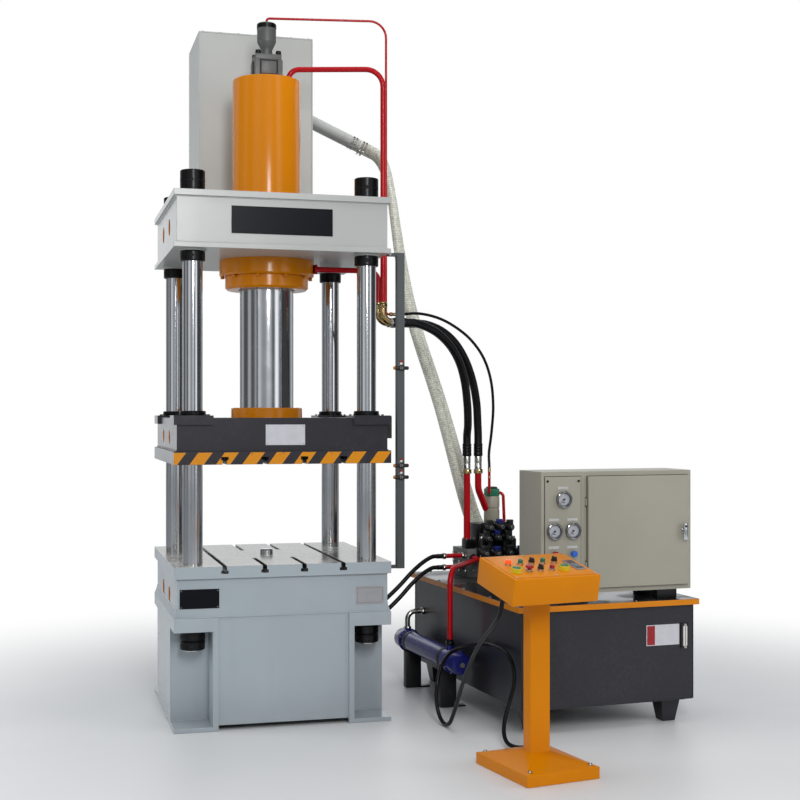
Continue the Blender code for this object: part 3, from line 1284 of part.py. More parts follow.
def make_motor(unit):
    """Motor, bell housing and pump in line, on a foot, behind the cabinet."""
    axis = LID_TOP + GAP + MOTOR_AXIS_HEIGHT
    bm = bmesh.new()
    body = MOTOR_DIAMETER / 2
    bell = BELL_DIAMETER / 2
    pump = PUMP_DIAMETER / 2
    cowl = COWL_DIAMETER / 2
    back = MOTOR_START + MOTOR_LENGTH
    profile = [(pump, MOTOR_START - BELL_LENGTH - PUMP_LENGTH), (pump, MOTOR_START - BELL_LENGTH),
               (bell, MOTOR_START - BELL_LENGTH), (bell, MOTOR_START), (body, MOTOR_START),
               (body, back), (cowl, back + COWL_LENGTH)]
    place = Matrix.Translation((MOTOR_X, 0, axis)) @ Matrix.Rotation(math.radians(-90), 4, "X")
    add_turned(bm, profile, place)
    motor = piece(bm, "pump_motor", "motor_blue", unit)
    bm = bmesh.new()
    half = MOTOR_FOOT_WIDTH / 2
    start = MOTOR_START + (MOTOR_LENGTH - MOTOR_FOOT_LENGTH) / 2
    add_box(bm, MOTOR_X - half, MOTOR_X + half, start, start + MOTOR_FOOT_LENGTH, LID_TOP + GAP,
            LID_TOP + GAP + MOTOR_FOOT_HEIGHT)
    weld(motor, bm, "motor_foot_weld")


def make_cooler(unit):
    """Tube cooler on two saddles, its return elbow, and the pipe up to the manifold."""
    body = COOLER_DIAMETER / 2
    cap = COOLER_CAP_DIAMETER / 2
    nose = COOLER_NOSE_DIAMETER / 2
    start = COOLER_START
    end = start + COOLER_LENGTH
    neck = COOLER_CAP_LENGTH
    flange = COOLER_FLANGE_THICK
    half_profile = [(nose, start), (body, start + flange), (body, start + neck),
                    (cap, start + neck), (cap, start + neck + flange), (body, start + neck + flange)]
    profile = half_profile + [(radius, start + end - y) for radius, y in reversed(half_profile)]
    place = Matrix.Translation((COOLER_X, 0, COOLER_Z)) @ Matrix.Rotation(math.radians(-90), 4, "X")
    bm = bmesh.new()
    add_turned(bm, profile, place)
    cooler = piece(bm, "oil_cooler", "cooler_blue", unit)
    bm = bmesh.new()
    half = SADDLE_WIDTH / 2
    for saddle in SADDLE_PLACES:
        add_box(bm, COOLER_X - half, COOLER_X + half, start + saddle,
                start + saddle + SADDLE_LENGTH, 0, COOLER_Z)
    weld(cooler, bm, "saddle_weld")
    port_y = start + COOLER_PORT_PLACE
    bm = bmesh.new()
    add_turned(bm, [(COOLER_PORT_DIAMETER / 2, COOLER_Z), (COOLER_PORT_DIAMETER / 2, COOLER_PORT_TOP)],
               at(COOLER_X, port_y), SMALL_SIDES)
    weld(cooler, bm, "cooler_port_weld")
    bm = bmesh.new()
    back_y = start + COOLER_RETURN_PLACE
    add_pipe(bm, bent_route([(COOLER_X, back_y, COOLER_Z), (COOLER_X, back_y, COOLER_RETURN_LEVEL),
                             (-GAP, back_y, COOLER_RETURN_LEVEL)], COOLER_RETURN_BEND),
             COOLER_PIPE_DIAMETER)
    weld(cooler, bm, "cooler_return_weld")

    corners = [(COOLER_X, port_y, COOLER_PORT_TOP + GAP), (COOLER_X, port_y, COOLER_PIPE_LEVEL),
               (COOLER_PIPE_END_X, COOLER_PIPE_TURN_Y, COOLER_PIPE_LEVEL),
               (COOLER_PIPE_END_X, MANIFOLD_Y - GAP, COOLER_PIPE_LEVEL)]
    bm = bmesh.new()
    add_pipe(bm, bent_route(corners, COOLER_PIPE_BEND), COOLER_PIPE_DIAMETER)
    piece(bm, "cooler_pipe", "pipe_red", unit)


def make_pedestal_stand(pedestal):
    """Slab with sloping top and the square post, one weldment."""
    width = SLAB_WIDTH / 2
    depth = SLAB_DEPTH / 2
    post_x = POST_WIDTH / 2
    post_y = POST_DEPTH / 2
    slope = math.tan(BOX_TILT)
    under = BOX_TOP_FRONT - BOX_HEIGHT / math.cos(BOX_TILT) - BOX_FRONT * slope - GAP
    bm = bmesh.new()
    add_stack(bm, [(-width, width, -depth, depth, 0), (-width, width, -depth, depth, SLAB_THICK),
                   (-post_x, post_x, -post_y, post_y, SLAB_PEAK)])
    stand = piece(bm, "pedestal_stand", "orange", pedestal)
    bm = bmesh.new()
    low = SLAB_THICK
    bottom = [Vector((x, y, low)) for x, y in ((-post_x, -post_y), (post_x, -post_y),
                                               (post_x, post_y), (-post_x, post_y))]
    top = [Vector((point.x, point.y, under + point.y * slope)) for point in bottom]
    add_skin(bm, [bottom, top])
    weld(stand, bm, "post_weld")


def panel_place(along, up, lift=0):
    """The frame of a spot on the sloping panel, its Z square to the panel."""
    corner = Matrix.Translation((BOX_LEFT, BOX_FRONT, BOX_TOP_FRONT))
    return corner @ Matrix.Rotation(BOX_TILT, 4, "X") @ Matrix.Translation((along, up, lift))


def make_control_box(pedestal):
    """Sloping control box with bezels, a pilot lamp and stem bores for every control."""
    frame = panel_place(0, 0)
    bm = bmesh.new()
    add_box(bm, 0, BOX_WIDTH, 0, BOX_LENGTH, -BOX_HEIGHT, 0, frame)
    box = piece(bm, "control_box", "orange", pedestal)
    bm = bmesh.new()
    margin = BOX_PANEL_MARGIN
    add_box(bm, margin, BOX_WIDTH - margin, margin, BOX_LENGTH - margin, -BOX_SHEET / 2,
            BOX_PANEL_RISE, frame)
    weld(box, bm, "panel_plate_weld")
    bm = bmesh.new()
    bezel = BEZEL_DIAMETER / 2
    for along, up in bezel_places():
        add_turned(bm, [(bezel, -BOX_SHEET / 4), (bezel, BOX_PANEL_RISE + BEZEL_HEIGHT)],
                   panel_place(along, up), SMALL_SIDES)
    weld(box, bm, "bezel_weld")
    bm = bmesh.new()
    lens = BUTTON_DIAMETER / 2
    add_turned(bm, [(lens, 0), (lens, BOX_PANEL_RISE + BEZEL_HEIGHT + BUTTON_RISE)],
               panel_place(LAMP_PLACE, BACK_ROW), SMALL_SIDES)
    weld(box, bm, "lamp_weld")
    bm = bmesh.new()
    guard = PALM_GUARD_DIAMETER / 2
    for along in PALM_PLACES:
        add_turned(bm, [(guard, -BOX_SHEET / 4), (guard, PALM_GUARD_HEIGHT),
                        (guard - PALM_GUARD_WALL, PALM_GUARD_HEIGHT),
                        (guard - PALM_GUARD_WALL, BOX_PANEL_RISE + BEZEL_HEIGHT)],
                   panel_place(along, FRONT_ROW), SIDES)
    weld(box, bm, "palm_guard_weld")

    sheet = BOX_SHEET
    bm = bmesh.new()
    add_box(bm, sheet, BOX_WIDTH - sheet, sheet, BOX_LENGTH - sheet, sheet - BOX_HEIGHT, -sheet, frame)
    cut(box, bm, "box_inside_cut")
    bm = bmesh.new()
    bore = STEM_DIAMETER / 2 + RUNNING_GAP
    for along, up in control_places():
        add_turned(bm, [(bore, -2 * sheet), (bore, PALM_GUARD_HEIGHT)], panel_place(along, up),
                   SMALL_SIDES)
    cut(box, bm, "stem_bore_cut")
    bm = bmesh.new()
    gland = CABLE_GLAND_DIAMETER / 2
    add_turned(bm, [(gland, -BOX_HEIGHT - CABLE_GLAND_LENGTH), (gland, sheet / 2 - BOX_HEIGHT)],
               panel_place(*BOX_GLAND_PLACE), SMALL_SIDES)
    weld(box, bm, "box_gland_weld")


def bezel_places():
    """Every spot that has a bezel, the lamp's among them; the palm buttons have guards."""
    return [(LAMP_PLACE, BACK_ROW), (STOP_PLACE, FRONT_ROW), (RED_PLACE, FRONT_ROW),
            *[(along, BACK_ROW) for along in GREEN_PLACES], *SELECTOR_PLACES]


def control_places():
    """Every spot with a control that moves on a stem."""
    palms = [(along, FRONT_ROW) for along in PALM_PLACES]
    return palms + [place for place in bezel_places() if place != (LAMP_PLACE, BACK_ROW)]


def control(pedestal, name, finish, along, up, profile, sides=SMALL_SIDES):
    """One control: a stem through the panel and a head turned from the profile given."""
    stem = STEM_DIAMETER / 2
    place = panel_place(along, up)
    bm = bmesh.new()
    add_turned(bm, [(stem, -STEM_DEPTH), (stem, profile[0][1])] + profile, place, sides)
    return piece(bm, name, finish, pedestal, place.translation)


def make_controls(pedestal):
    """Palm buttons, push buttons, the mushroom stop and the selector switches."""
    seat = BOX_PANEL_RISE + BEZEL_HEIGHT
    head = PALM_HEAD_DIAMETER / 2
    edge = head / 6
    for side, along in zip(("left", "right"), PALM_PLACES):
        control(pedestal, "palm_button_" + side, "button_green", along, FRONT_ROW,
                [(head, PALM_LIFT), (head, PALM_LIFT + PALM_HEAD_HEIGHT / 2),
                 (head - edge, PALM_LIFT + PALM_HEAD_HEIGHT)], SIDES)
    button = BUTTON_DIAMETER / 2
    low = seat + BUTTON_TRAVEL + GAP
    high = low + BUTTON_RISE
    push = [(button, low), (button, high)]
    for number, along in enumerate(GREEN_PLACES, 1):
        control(pedestal, "green_button_%d" % number, "button_green", along, BACK_ROW, push)
    control(pedestal, "red_button", "button_red", RED_PLACE, FRONT_ROW, push)
    head = STOP_HEAD_DIAMETER / 2
    edge = head / 4
    lift = seat + STOP_LIFT
    control(pedestal, "mushroom_stop", "button_red", STOP_PLACE, FRONT_ROW,
            [(head - edge, lift), (head, lift + STOP_HEAD_HEIGHT / 3),
             (head - edge, lift + STOP_HEAD_HEIGHT)], SIDES)
    low = seat + GAP
    top = low + SELECTOR_HEIGHT
    grip = SELECTOR_GRIP_WIDTH / 2
    for number, (along, up) in enumerate(SELECTOR_PLACES, 1):
        knob = control(pedestal, "selector_%d" % number, "button_black", along, up,
                       [(button, low), (button, top)])
        bm = bmesh.new()
        reach = button * math.cos(math.pi / SMALL_SIDES) * 0.9
        add_box(bm, -grip, grip, -reach, reach, top - SELECTOR_HEIGHT / 3, top + SELECTOR_GRIP_HEIGHT,
                panel_place(along, up))
        weld(knob, bm, "selector_%d_weld" % number)


def smooth_points(route, spacing):
    """Points read from a Catmull-Rom curve through a route, its first and last legs kept straight."""
    route = [Vector(point) for point in route]
    fine = []
    for a, b, c, d in zip(route, route[1:], route[2:], route[3:]):
        for i in range(FINE_STEPS):
            t = i / FINE_STEPS
            fine.append(0.5 * (2 * b + (c - a) * t + (2 * a - 5 * b + 4 * c - d) * t ** 2
                               + (3 * b - a - 3 * c + d) * t ** 3))
    fine.append(route[-2])
    lengths = [0]
    for a, b in zip(fine, fine[1:]):
        lengths.append(lengths[-1] + (b - a).length)
    count = max(2, round(lengths[-1] / spacing))
    points = []
    index = 0
    for i in range(count + 1):
        target = lengths[-1] * i / count
        while index < len(fine) - 2 and lengths[index + 1] < target:
            index += 1
        span = lengths[index + 1] - lengths[index]
        points.append(fine[index].lerp(fine[index + 1], (target - lengths[index]) / span))
    return [route[0]] + points + [route[-1]]


def make_cord(name, finish, parent, route, diameter, bevel_resolution):
    """A hose or cable as a round tube along its smoothed route, capped at both ends."""
    curve = bpy.data.curves.new(name, "CURVE")
    curve.dimensions = "3D"
    curve.bevel_depth = diameter / 2
    curve.bevel_resolution = bevel_resolution
    curve.use_fill_caps = True
    points = smooth_points(route, CORD_STEP_DIAMETERS * diameter)
    spline = curve.splines.new("POLY")
    spline.points.add(len(points) - 1)
    for spot, point in zip(spline.points, points):
        spot.co = (*point, 1)
    cord = bpy.data.objects.new(name, curve)
    bpy.context.scene.collection.objects.link(cord)
    cord.parent = parent
    curve.materials.append(finish_material(name, finish))
    return cord


def unit_point(x, y, z):
    """A point given in the power unit's coordinates, in press coordinates."""
    turn = Matrix.Translation((UNIT_X, UNIT_Y, 0)) @ Matrix.Rotation(UNIT_TURN, 4, "Z")
    return tuple(turn @ Vector((x, y, z)))


def pedestal_point(x, y, z):
    turn = (Matrix.Translation((PEDESTAL_X, PEDESTAL_Y, 0))
            @ Matrix.Rotation(PEDESTAL_TURN, 4, "Z"))
    return tuple(turn @ Vector((x, y, z)))


def unit_direction(x, y, z):
    return Matrix.Rotation(UNIT_TURN, 3, "Z") @ Vector((x, y, z))


def make_hose(press, name, finish, start, middle, end, diameter, bevel_resolution=2):
    """A cord that leaves one fitting square to its face and enters another the same way.

    Each fitting is the centre of its end face and the direction that the face looks in.
    """
    route = []
    for face, direction in (start, end):
        face = Vector(face)
        direction = Vector(direction).normalized()
        lead = [face + direction * (GAP + share * diameter) for share in LEAD_SHARES]
        if route:
            route += middle + lead[::-1]
        else:
            route = lead
    make_cord(name, finish, press, route, diameter, bevel_resolution)


def make_hoses(press):
    """Every hose and cable, each from the end of one fitting to the end of another."""
    right = (1, 0, 0)
    up = (0, 0, 1)
    make_hose(press, "pressure_hose", "rubber",
              ((ELBOW_REACH, PRESSURE_PIPE_Y, ELBOW_LEVEL), right),
              [(0.870, -0.106, 2.042), (0.950, -0.070, 2.006), (1.032, -0.022, 1.943),
               (1.102, 0.034, 1.855), (1.152, 0.092, 1.745), (1.184, 0.144, 1.620),
               (1.200, 0.182, 1.510)],
              (unit_point(RISER_ONE_X, RISER_Y, RISER_TOP), up), PRESSURE_HOSE_DIAMETER, 3)
    make_hose(press, "return_hose", "rubber",
              ((ELBOW_REACH, RETURN_PIPE_Y, ELBOW_LEVEL), right),
              [(0.880, -0.052, 2.060), (0.985, -0.008, 2.028), (1.080, 0.046, 1.965),
               (1.160, 0.104, 1.870), (1.220, 0.158, 1.755), (1.258, 0.200, 1.630),
               (1.273, 0.224, 1.510)],
              (unit_point(RISER_TWO_X, RISER_Y, RISER_TOP), up), PRESSURE_HOSE_DIAMETER, 3)
    make_hose(press, "pilot_hose", "rubber",
              ((ELBOW_REACH, PILOT_PIPE_Y, PILOT_ELBOW_LEVEL), right),
              [(0.830, -0.078, 2.118), (0.960, -0.020, 2.100), (1.080, 0.040, 2.055),
               (1.190, 0.090, 1.985), (1.280, 0.135, 1.885), (1.338, 0.178, 1.760),
               (1.364, 0.212, 1.610), (1.362, 0.236, 1.460), (1.350, 0.246, 1.340)],
              (unit_point(RISER_THREE_X, RISER_Y, THIN_RISER_TOP), up), PILOT_HOSE_DIAMETER)

    pipe_end = TANK_WIDTH / 2 + OUTLET_RUN
    pipe_z = OUTLET_Z - OUTLET_DROP
    outlet_axis = (OUTLET_RUN + TANK_SHEET, 0, -OUTLET_DROP)
    make_hose(press, "fill_hose_front", "clear_hose",
              ((pipe_end, OUTLET_Y, pipe_z), outlet_axis),
              [(0.792, 0.490, 3.010), (0.822, 0.480, 2.860), (0.844, 0.470, 2.670),
               (0.866, 0.464, 2.490), (0.895, 0.460, 2.310), (0.935, 0.457, 2.130),
               (0.990, 0.455, 1.950), (1.052, 0.454, 1.770), (1.110, 0.453, 1.590),
               (1.160, 0.452, 1.410), (1.208, 0.451, 1.230), (1.255, 0.450, 1.060),
               (1.300, 0.448, 0.925)],
              (unit_point(SPIGOT_PLACES[0], SPIGOT_Y, LID_TOP + SPIGOT_HEIGHT), up),
              FILL_HOSE_DIAMETER, 3)
    make_hose(press, "fill_hose_back", "clear_hose",
              ((pipe_end, OUTLET_Y + OUTLET_PITCH, pipe_z), outlet_axis),
              [(0.806, 0.577, 3.014), (0.846, 0.565, 2.865), (0.874, 0.550, 2.675),
               (0.901, 0.538, 2.500), (0.934, 0.527, 2.320), (0.977, 0.519, 2.140),
               (1.034, 0.513, 1.960), (1.097, 0.509, 1.780), (1.157, 0.506, 1.600),
               (1.212, 0.503, 1.420), (1.264, 0.499, 1.240), (1.315, 0.492, 1.070),
               (1.362, 0.482, 0.930)],
              (unit_point(SPIGOT_PLACES[1], SPIGOT_Y, LID_TOP + SPIGOT_HEIGHT), up),
              FILL_HOSE_DIAMETER, 3)

    port_x = HALF_WIDTH + PORT_LENGTH
    left = unit_direction(-1, 0, 0)
    stub = MANIFOLD_X - STUB_LENGTH
    make_hose(press, "ejector_hose_upper", "rubber",
              (unit_point(stub, STUB_Y, STUB_HEIGHTS[0]), left),
              [(0.925, 0.163, 0.722), (0.855, 0.152, 0.668), (0.790, 0.145, 0.604),
               (0.728, 0.141, 0.548), (0.682, PORT_Y, 0.512)],
              ((port_x, PORT_Y, PORT_HEIGHT), right), EJECTOR_HOSE_DIAMETER)
    make_hose(press, "ejector_hose_lower", "rubber",
              (unit_point(stub, STUB_Y, STUB_HEIGHTS[1]), left),
              [(0.925, 0.163, 0.658), (0.855, 0.152, 0.602), (0.790, 0.145, 0.536),
               (0.728, 0.141, 0.479), (0.682, PORT_Y, 0.442)],
              ((port_x, PORT_Y, PORT_LOW_HEIGHT), right), EJECTOR_HOSE_DIAMETER)

    along, back = BOX_GLAND_PLACE
    gland = panel_place(along, back, -BOX_HEIGHT - CABLE_GLAND_LENGTH)
    turn = Matrix.Rotation(PEDESTAL_TURN, 3, "Z")
    gland_axis = turn @ (gland.to_3x3() @ Vector((0, 0, -1)))
    make_hose(press, "pedestal_cable", "rubber",
              (pedestal_point(*gland.translation), gland_axis),
              [(0.767, -1.602, 0.694), (0.765, -1.535, 0.634), (0.766, -1.330, 0.512),
               (0.771, -1.180, 0.404), (0.780, -1.020, 0.266), (0.787, -0.905, 0.147),
               (0.787, -0.840, 0.073), (0.783, -0.800, 0.030), (0.776, -0.750, 0.013),
               (0.768, -0.702, 0.029), (0.761, -0.671, 0.070), (0.757, -0.660, 0.126),
               (0.763, -0.653, 0.196), (0.790, -0.622, 0.270), (0.838, -0.576, 0.320),
               (0.898, -0.545, 0.347), (0.958, -0.558, 0.366), (1.003, -0.615, 0.382),
               (1.021, -0.715, 0.396), (1.028, -0.830, 0.400), (1.034, -0.930, 0.388),
               (1.035, -1.000, 0.360), (1.030, -1.055, 0.318), (1.016, -1.090, 0.266),
               (0.992, -1.115, 0.211), (0.966, -1.133, 0.152), (0.944, -1.156, 0.098),
               (0.930, -1.191, 0.055), (0.930, -1.234, 0.026), (0.950, -1.271, 0.014),
               (0.991, -1.293, 0.012), (1.040, -1.286, 0.012), (1.083, -1.249, 0.021),
               (1.116, -1.193, 0.050), (1.130, -1.150, 0.104), (1.136, -1.118, 0.200),
               (1.135, -1.104, 0.320), (1.131, -1.101, 0.440), (1.124, -1.099, 0.560),
               (1.110, -1.090, 0.655), (1.080, -1.067, 0.728), (1.040, -1.030, 0.770),
               (1.011, -0.983, 0.786), (1.012, -0.935, 0.790), (1.040, -0.897, 0.790),
               (1.076, -0.883, 0.790)],
              (unit_point(CABINET_X - CABLE_GLAND_LENGTH, CABINET_GLAND_Y, CABINET_GLAND_Z), left),
              PEDESTAL_CABLE_DIAMETER)


def centre_on_floor(root):
    """Move the assembly so that the middle of the footprint of its pieces is the origin."""
    bpy.context.view_layer.update()
    graph = bpy.context.evaluated_depsgraph_get()
    low = [math.inf] * 2
    high = [-math.inf] * 2
    for obj in bpy.context.scene.objects:
        if obj.type != "MESH" or obj.hide_render:
            continue
        evaluated = obj.evaluated_get(graph)
        for vertex in evaluated.data.vertices:
            point = evaluated.matrix_world @ vertex.co
            for axis in (0, 1):
                low[axis] = min(low[axis], point[axis])
                high[axis] = max(high[axis], point[axis])
    root.location = (-(low[0] + high[0]) / 2, -(low[1] + high[1]) / 2, 0)


def main():
    clear_scene()
    root = empty("machine")
    press = empty("press_stand", root)
    unit = empty("power_unit_stand", root, (UNIT_X, UNIT_Y, 0), UNIT_TURN)
    pedestal = empty("pedestal_carrier", root, (PEDESTAL_X, PEDESTAL_Y, 0), PEDESTAL_TURN)
    make_base(press)
    make_bolster(press)
    make_columns(press)
    make_top_nuts(press)
    make_crown(press)
    make_slide(press)
    make_cylinder(press)
    make_prefill_valve(press)
    make_prefill_tank(press)
    make_pipes(press)
    make_ejector(press)
    make_switch_rail(press)
    make_oil_tank(unit)
    make_tank_lid(unit)
    make_cabinet(unit)
    make_gauge_panel(unit)
    make_manifold(unit)
    make_motor(unit)
    make_cooler(unit)
    make_pedestal_stand(pedestal)
    make_control_box(pedestal)
    make_controls(pedestal)
    make_hoses(press)
    centre_on_floor(root)


main()
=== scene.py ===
# %% [markdown]
# # A four-column hydraulic press
#
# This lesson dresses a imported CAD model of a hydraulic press: the press itself, the power unit
# that feeds it with oil, and the pedestal that the operator stands at. The CAD model has every
# solid at its right place, with plain faces. Here each solid gets its edges, its small parts and
# its paint, and the whole gets lights and a camera.

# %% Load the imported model
import math

import bmesh
import bpy
from mathutils import Matrix, Vector


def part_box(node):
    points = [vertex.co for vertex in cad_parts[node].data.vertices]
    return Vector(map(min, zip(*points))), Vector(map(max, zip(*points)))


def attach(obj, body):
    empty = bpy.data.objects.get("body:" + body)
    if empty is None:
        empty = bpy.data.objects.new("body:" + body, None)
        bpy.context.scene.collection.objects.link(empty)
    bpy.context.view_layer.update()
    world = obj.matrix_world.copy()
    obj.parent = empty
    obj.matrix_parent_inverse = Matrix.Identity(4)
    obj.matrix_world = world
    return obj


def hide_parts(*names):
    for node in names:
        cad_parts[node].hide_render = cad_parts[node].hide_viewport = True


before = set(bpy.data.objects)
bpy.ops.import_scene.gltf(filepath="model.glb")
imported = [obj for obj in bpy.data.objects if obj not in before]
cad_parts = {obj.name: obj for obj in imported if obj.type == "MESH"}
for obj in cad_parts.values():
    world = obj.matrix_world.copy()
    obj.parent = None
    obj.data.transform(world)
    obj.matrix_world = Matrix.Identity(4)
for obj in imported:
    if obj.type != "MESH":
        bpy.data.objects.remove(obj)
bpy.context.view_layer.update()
scene = bpy.context.scene

# %% [markdown]
# ## Three stands, three frames
#
# The machine stands on three bases, and each is turned a little on the floor. A piece is easiest
# to place in the coordinates of its own stand, so each stand gets a matrix that carries its
# coordinates to the floor's. The press's matrix is read from the bolster plate, whose middle is
# the middle of the press.

# %% The frames of the stands
low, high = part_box("bolster_plate")
PRESS = Matrix.Translation(((low.x + high.x) / 2, (low.y + high.y) / 2, 0))


def at(x, y, z=0.0):
    return Matrix.Translation((x, y, z))


def turn(angle, axis):
    return Matrix.Rotation(math.radians(angle), 4, axis)


UNIT = PRESS @ at(1.073, -1.042) @ turn(3.9, "Z")
PEDESTAL = PRESS @ at(0.919, -1.646) @ turn(10, "Z")
PANEL = PEDESTAL @ at(-0.248, -0.241, 0.876) @ turn(12, "X")

TABLE_TOP = high.z
CROWN_BOTTOM, CROWN_TOP = (corner.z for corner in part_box("crown"))
SLIDE_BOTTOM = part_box("slide")[0].z
BARREL_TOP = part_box("cylinder_barrel")[1].z
LID_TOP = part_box("cabinet")[0].z
PLATE_HALF = 0.55
COLUMNS = [(x, y) for y in (-0.44, 0.44) for x in (-0.446, 0.446)]
print("The table stands at %.3f m and the crown at %.3f m." % (TABLE_TOP, CROWN_BOTTOM))

# %% [markdown]
# ## The camera
#
# The photograph was taken with a fairly long lens, held level at eye height, from in front and a
# little to the left. A level camera keeps the columns upright in the picture. The horizon lies
# just under the middle of the frame, which the small vertical shift gives.

# %% Camera
camera_data = bpy.data.cameras.new("camera")
camera_data.lens = 60.3
camera_data.sensor_width = 36
camera_data.shift_y = 0.0188
camera = bpy.data.objects.new("camera", camera_data)
scene.collection.objects.link(camera)
camera.location = PRESS @ Vector((-1.20, -7.16, 1.56))
camera.rotation_euler = (math.radians(90), 0, math.radians(-15.2))
scene.camera = camera
print("The camera stands %.2f m from the press." % (camera.location - PRESS.translation).length)

# %% [markdown]
# ## Parts that pieces are made of
#
# Most machine parts are turned, sawn from plate or drilled, so a few short helpers make nearly
# all of them. Each helper shapes a small bmesh with operators. `add` then moves that shape to its
# place and pours it into the piece it belongs to, with the number of the finish it wears.

# %% Helpers that shape and join parts
TURNED_STEPS = 64


def add(piece, part, place=Matrix(), finish=0):
    for face in part.faces:
        face.material_index = finish
    bmesh.ops.transform(part, matrix=place, verts=part.verts)
    mesh = bpy.data.meshes.new("part")
    part.to_mesh(mesh)
    part.free()
    piece.from_mesh(mesh)
    bpy.data.meshes.remove(mesh)


def turned(profile, steps=TURNED_STEPS):
    """Spin a profile of (radius, height) about Z; its ends are closed where they meet the axis."""
    part = bmesh.new()
    points = [part.verts.new((radius, 0, height)) for radius, height in profile]
    edges = [part.edges.new(pair) for pair in zip(points, points[1:])]
    bmesh.ops.spin(part, geom=points + edges, cent=(0, 0, 0), axis=(0, 0, 1),
                   angle=math.tau, steps=steps, use_merge=True)
    bmesh.ops.remove_doubles(part, verts=part.verts, dist=1e-6)
    bmesh.ops.recalc_face_normals(part, faces=part.faces)
    return part


def rod(radius, length, chamfer=0.0, steps=24):
    """A round bar on Z with chamfered ends."""
    c = chamfer or radius * 0.04
    return turned([(0, 0), (radius - c, 0), (radius, c), (radius, length - c),
                   (radius - c, length), (0, length)], steps)


def ring_nut(outer, inner, length, chamfer=0.002, steps=TURNED_STEPS):
    """A round collar with a bore."""
    profile = [(inner, 0), (outer - chamfer, 0), (outer, chamfer), (outer, length - chamfer),
               (outer - chamfer, length), (inner, length), (inner, 0)]
    return turned(profile, steps)


def block(width, depth, height, bevel=0.001, segments=2):
    """A plate or block that stands on Z = 0, centred on X and Y, with rounded edges."""
    part = bmesh.new()
    bmesh.ops.create_cube(part, size=1)
    bmesh.ops.scale(part, vec=(width, depth, height), verts=part.verts)
    bmesh.ops.translate(part, vec=(0, 0, height / 2), verts=part.verts)
    bmesh.ops.bevel(part, geom=list(part.edges), offset=bevel, segments=segments, profile=0.5,
                    affect="EDGES", material=-1, clamp_overlap=True)
    return part


def hexagon(across, length, chamfer=0.0008):
    """A hexagon nut or bolt head on Z."""
    part = bmesh.new()
    bmesh.ops.create_cone(part, cap_ends=True, segments=6, radius1=across / math.sqrt(3),
                          radius2=across / math.sqrt(3), depth=length)
    bmesh.ops.translate(part, vec=(0, 0, length / 2), verts=part.verts)
    bmesh.ops.bevel(part, geom=list(part.edges), offset=chamfer, segments=1, profile=0.5,
                    affect="EDGES", material=-1, clamp_overlap=True)
    return part


def socket_screw(radius, length):
    """A socket head screw: a turned head with a hollow for the key."""
    key = radius * 0.5
    return turned([(0, length * 0.45), (key, length * 0.45), (key, length),
                   (radius * 0.86, length), (radius, length * 0.86), (radius, 0), (0, 0)], 20)


FRONT = turn(90, "X")
RIGHT = turn(90, "Y")
LEFT = turn(-90, "Y")
DOWN = turn(180, "X")


def ring_of(count, radius, start=0.0):
    """Places spaced evenly round a circle on Z."""
    for i in range(count):
        angle = start + 360 * i / count
        yield turn(angle, "Z") @ at(radius, 0, 0)


def corners_of(x, y, z=0.0):
    """Places in the four corners of a rectangle round Z, given by its half sizes."""
    for side in (-x, x):
        for end in (-y, y):
            yield at(side, end, z)


def finish_piece(name, piece, body, finishes, stands_for=(), crease=35):
    """Store a bmesh as an object at the origin that rides on a CAD body."""
    mesh = bpy.data.meshes.new(name)
    piece.to_mesh(mesh)
    piece.free()
    mesh.shade_smooth()
    mesh.set_sharp_from_angle(angle=math.radians(crease))
    made = bpy.data.objects.new(name, mesh)
    scene.collection.objects.link(made)
    for finish in finishes:
        mesh.materials.append(finish)
    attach(made, body)
    if stands_for:
        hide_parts(*stands_for)
    return made


SMOOTH_UNDER = 30
ROUNDED_OVER = 28


def dressed(name, node, body, finish, edge=0.0015, segments=2):
    """A CAD solid with its edges rounded: its triangles are merged into whole faces, and a
    Bevel modifier then softens each real edge."""
    piece = bmesh.new()
    piece.from_mesh(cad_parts[node].data)
    bmesh.ops.remove_doubles(piece, verts=piece.verts, dist=1e-5)
    bmesh.ops.dissolve_limit(piece, angle_limit=math.radians(0.6), verts=piece.verts,
                             edges=piece.edges)
    for face in piece.faces:
        face.material_index = 0
    made = finish_piece(name, piece, body, [finish], (node,), SMOOTH_UNDER)
    bevel = made.modifiers.new("rounded_edges", "BEVEL")
    bevel.width = edge
    bevel.segments = segments
    bevel.limit_method = "ANGLE"
    bevel.angle_limit = math.radians(ROUNDED_OVER)
    bevel.use_clamp_overlap = True
    bevel.harden_normals = True
    return made


def swept(points, radius, round_steps=6):
    """A round bar along a route, made as a bevelled curve and stored as a mesh."""
    curve = bpy.data.curves.new("route", "CURVE")
    curve.dimensions = "3D"
    curve.bevel_depth = radius
    curve.bevel_resolution = round_steps
    curve.use_fill_caps = True
    spline = curve.splines.new("POLY")
    spline.points.add(len(points) - 1)
    for spot, point in zip(spline.points, points):
        spot.co = (*point, 1)
    holder = bpy.data.objects.new("route", curve)
    scene.collection.objects.link(holder)
    graph = bpy.context.evaluated_depsgraph_get()
    mesh = bpy.data.meshes.new_from_object(holder.evaluated_get(graph))
    bpy.data.objects.remove(holder)
    bpy.data.curves.remove(curve)
    part = bmesh.new()
    part.from_mesh(mesh)
    bpy.data.meshes.remove(mesh)
    bmesh.ops.remove_doubles(part, verts=part.verts, dist=radius * 0.01)
    bmesh.ops.recalc_face_normals(part, faces=part.faces)
    return part


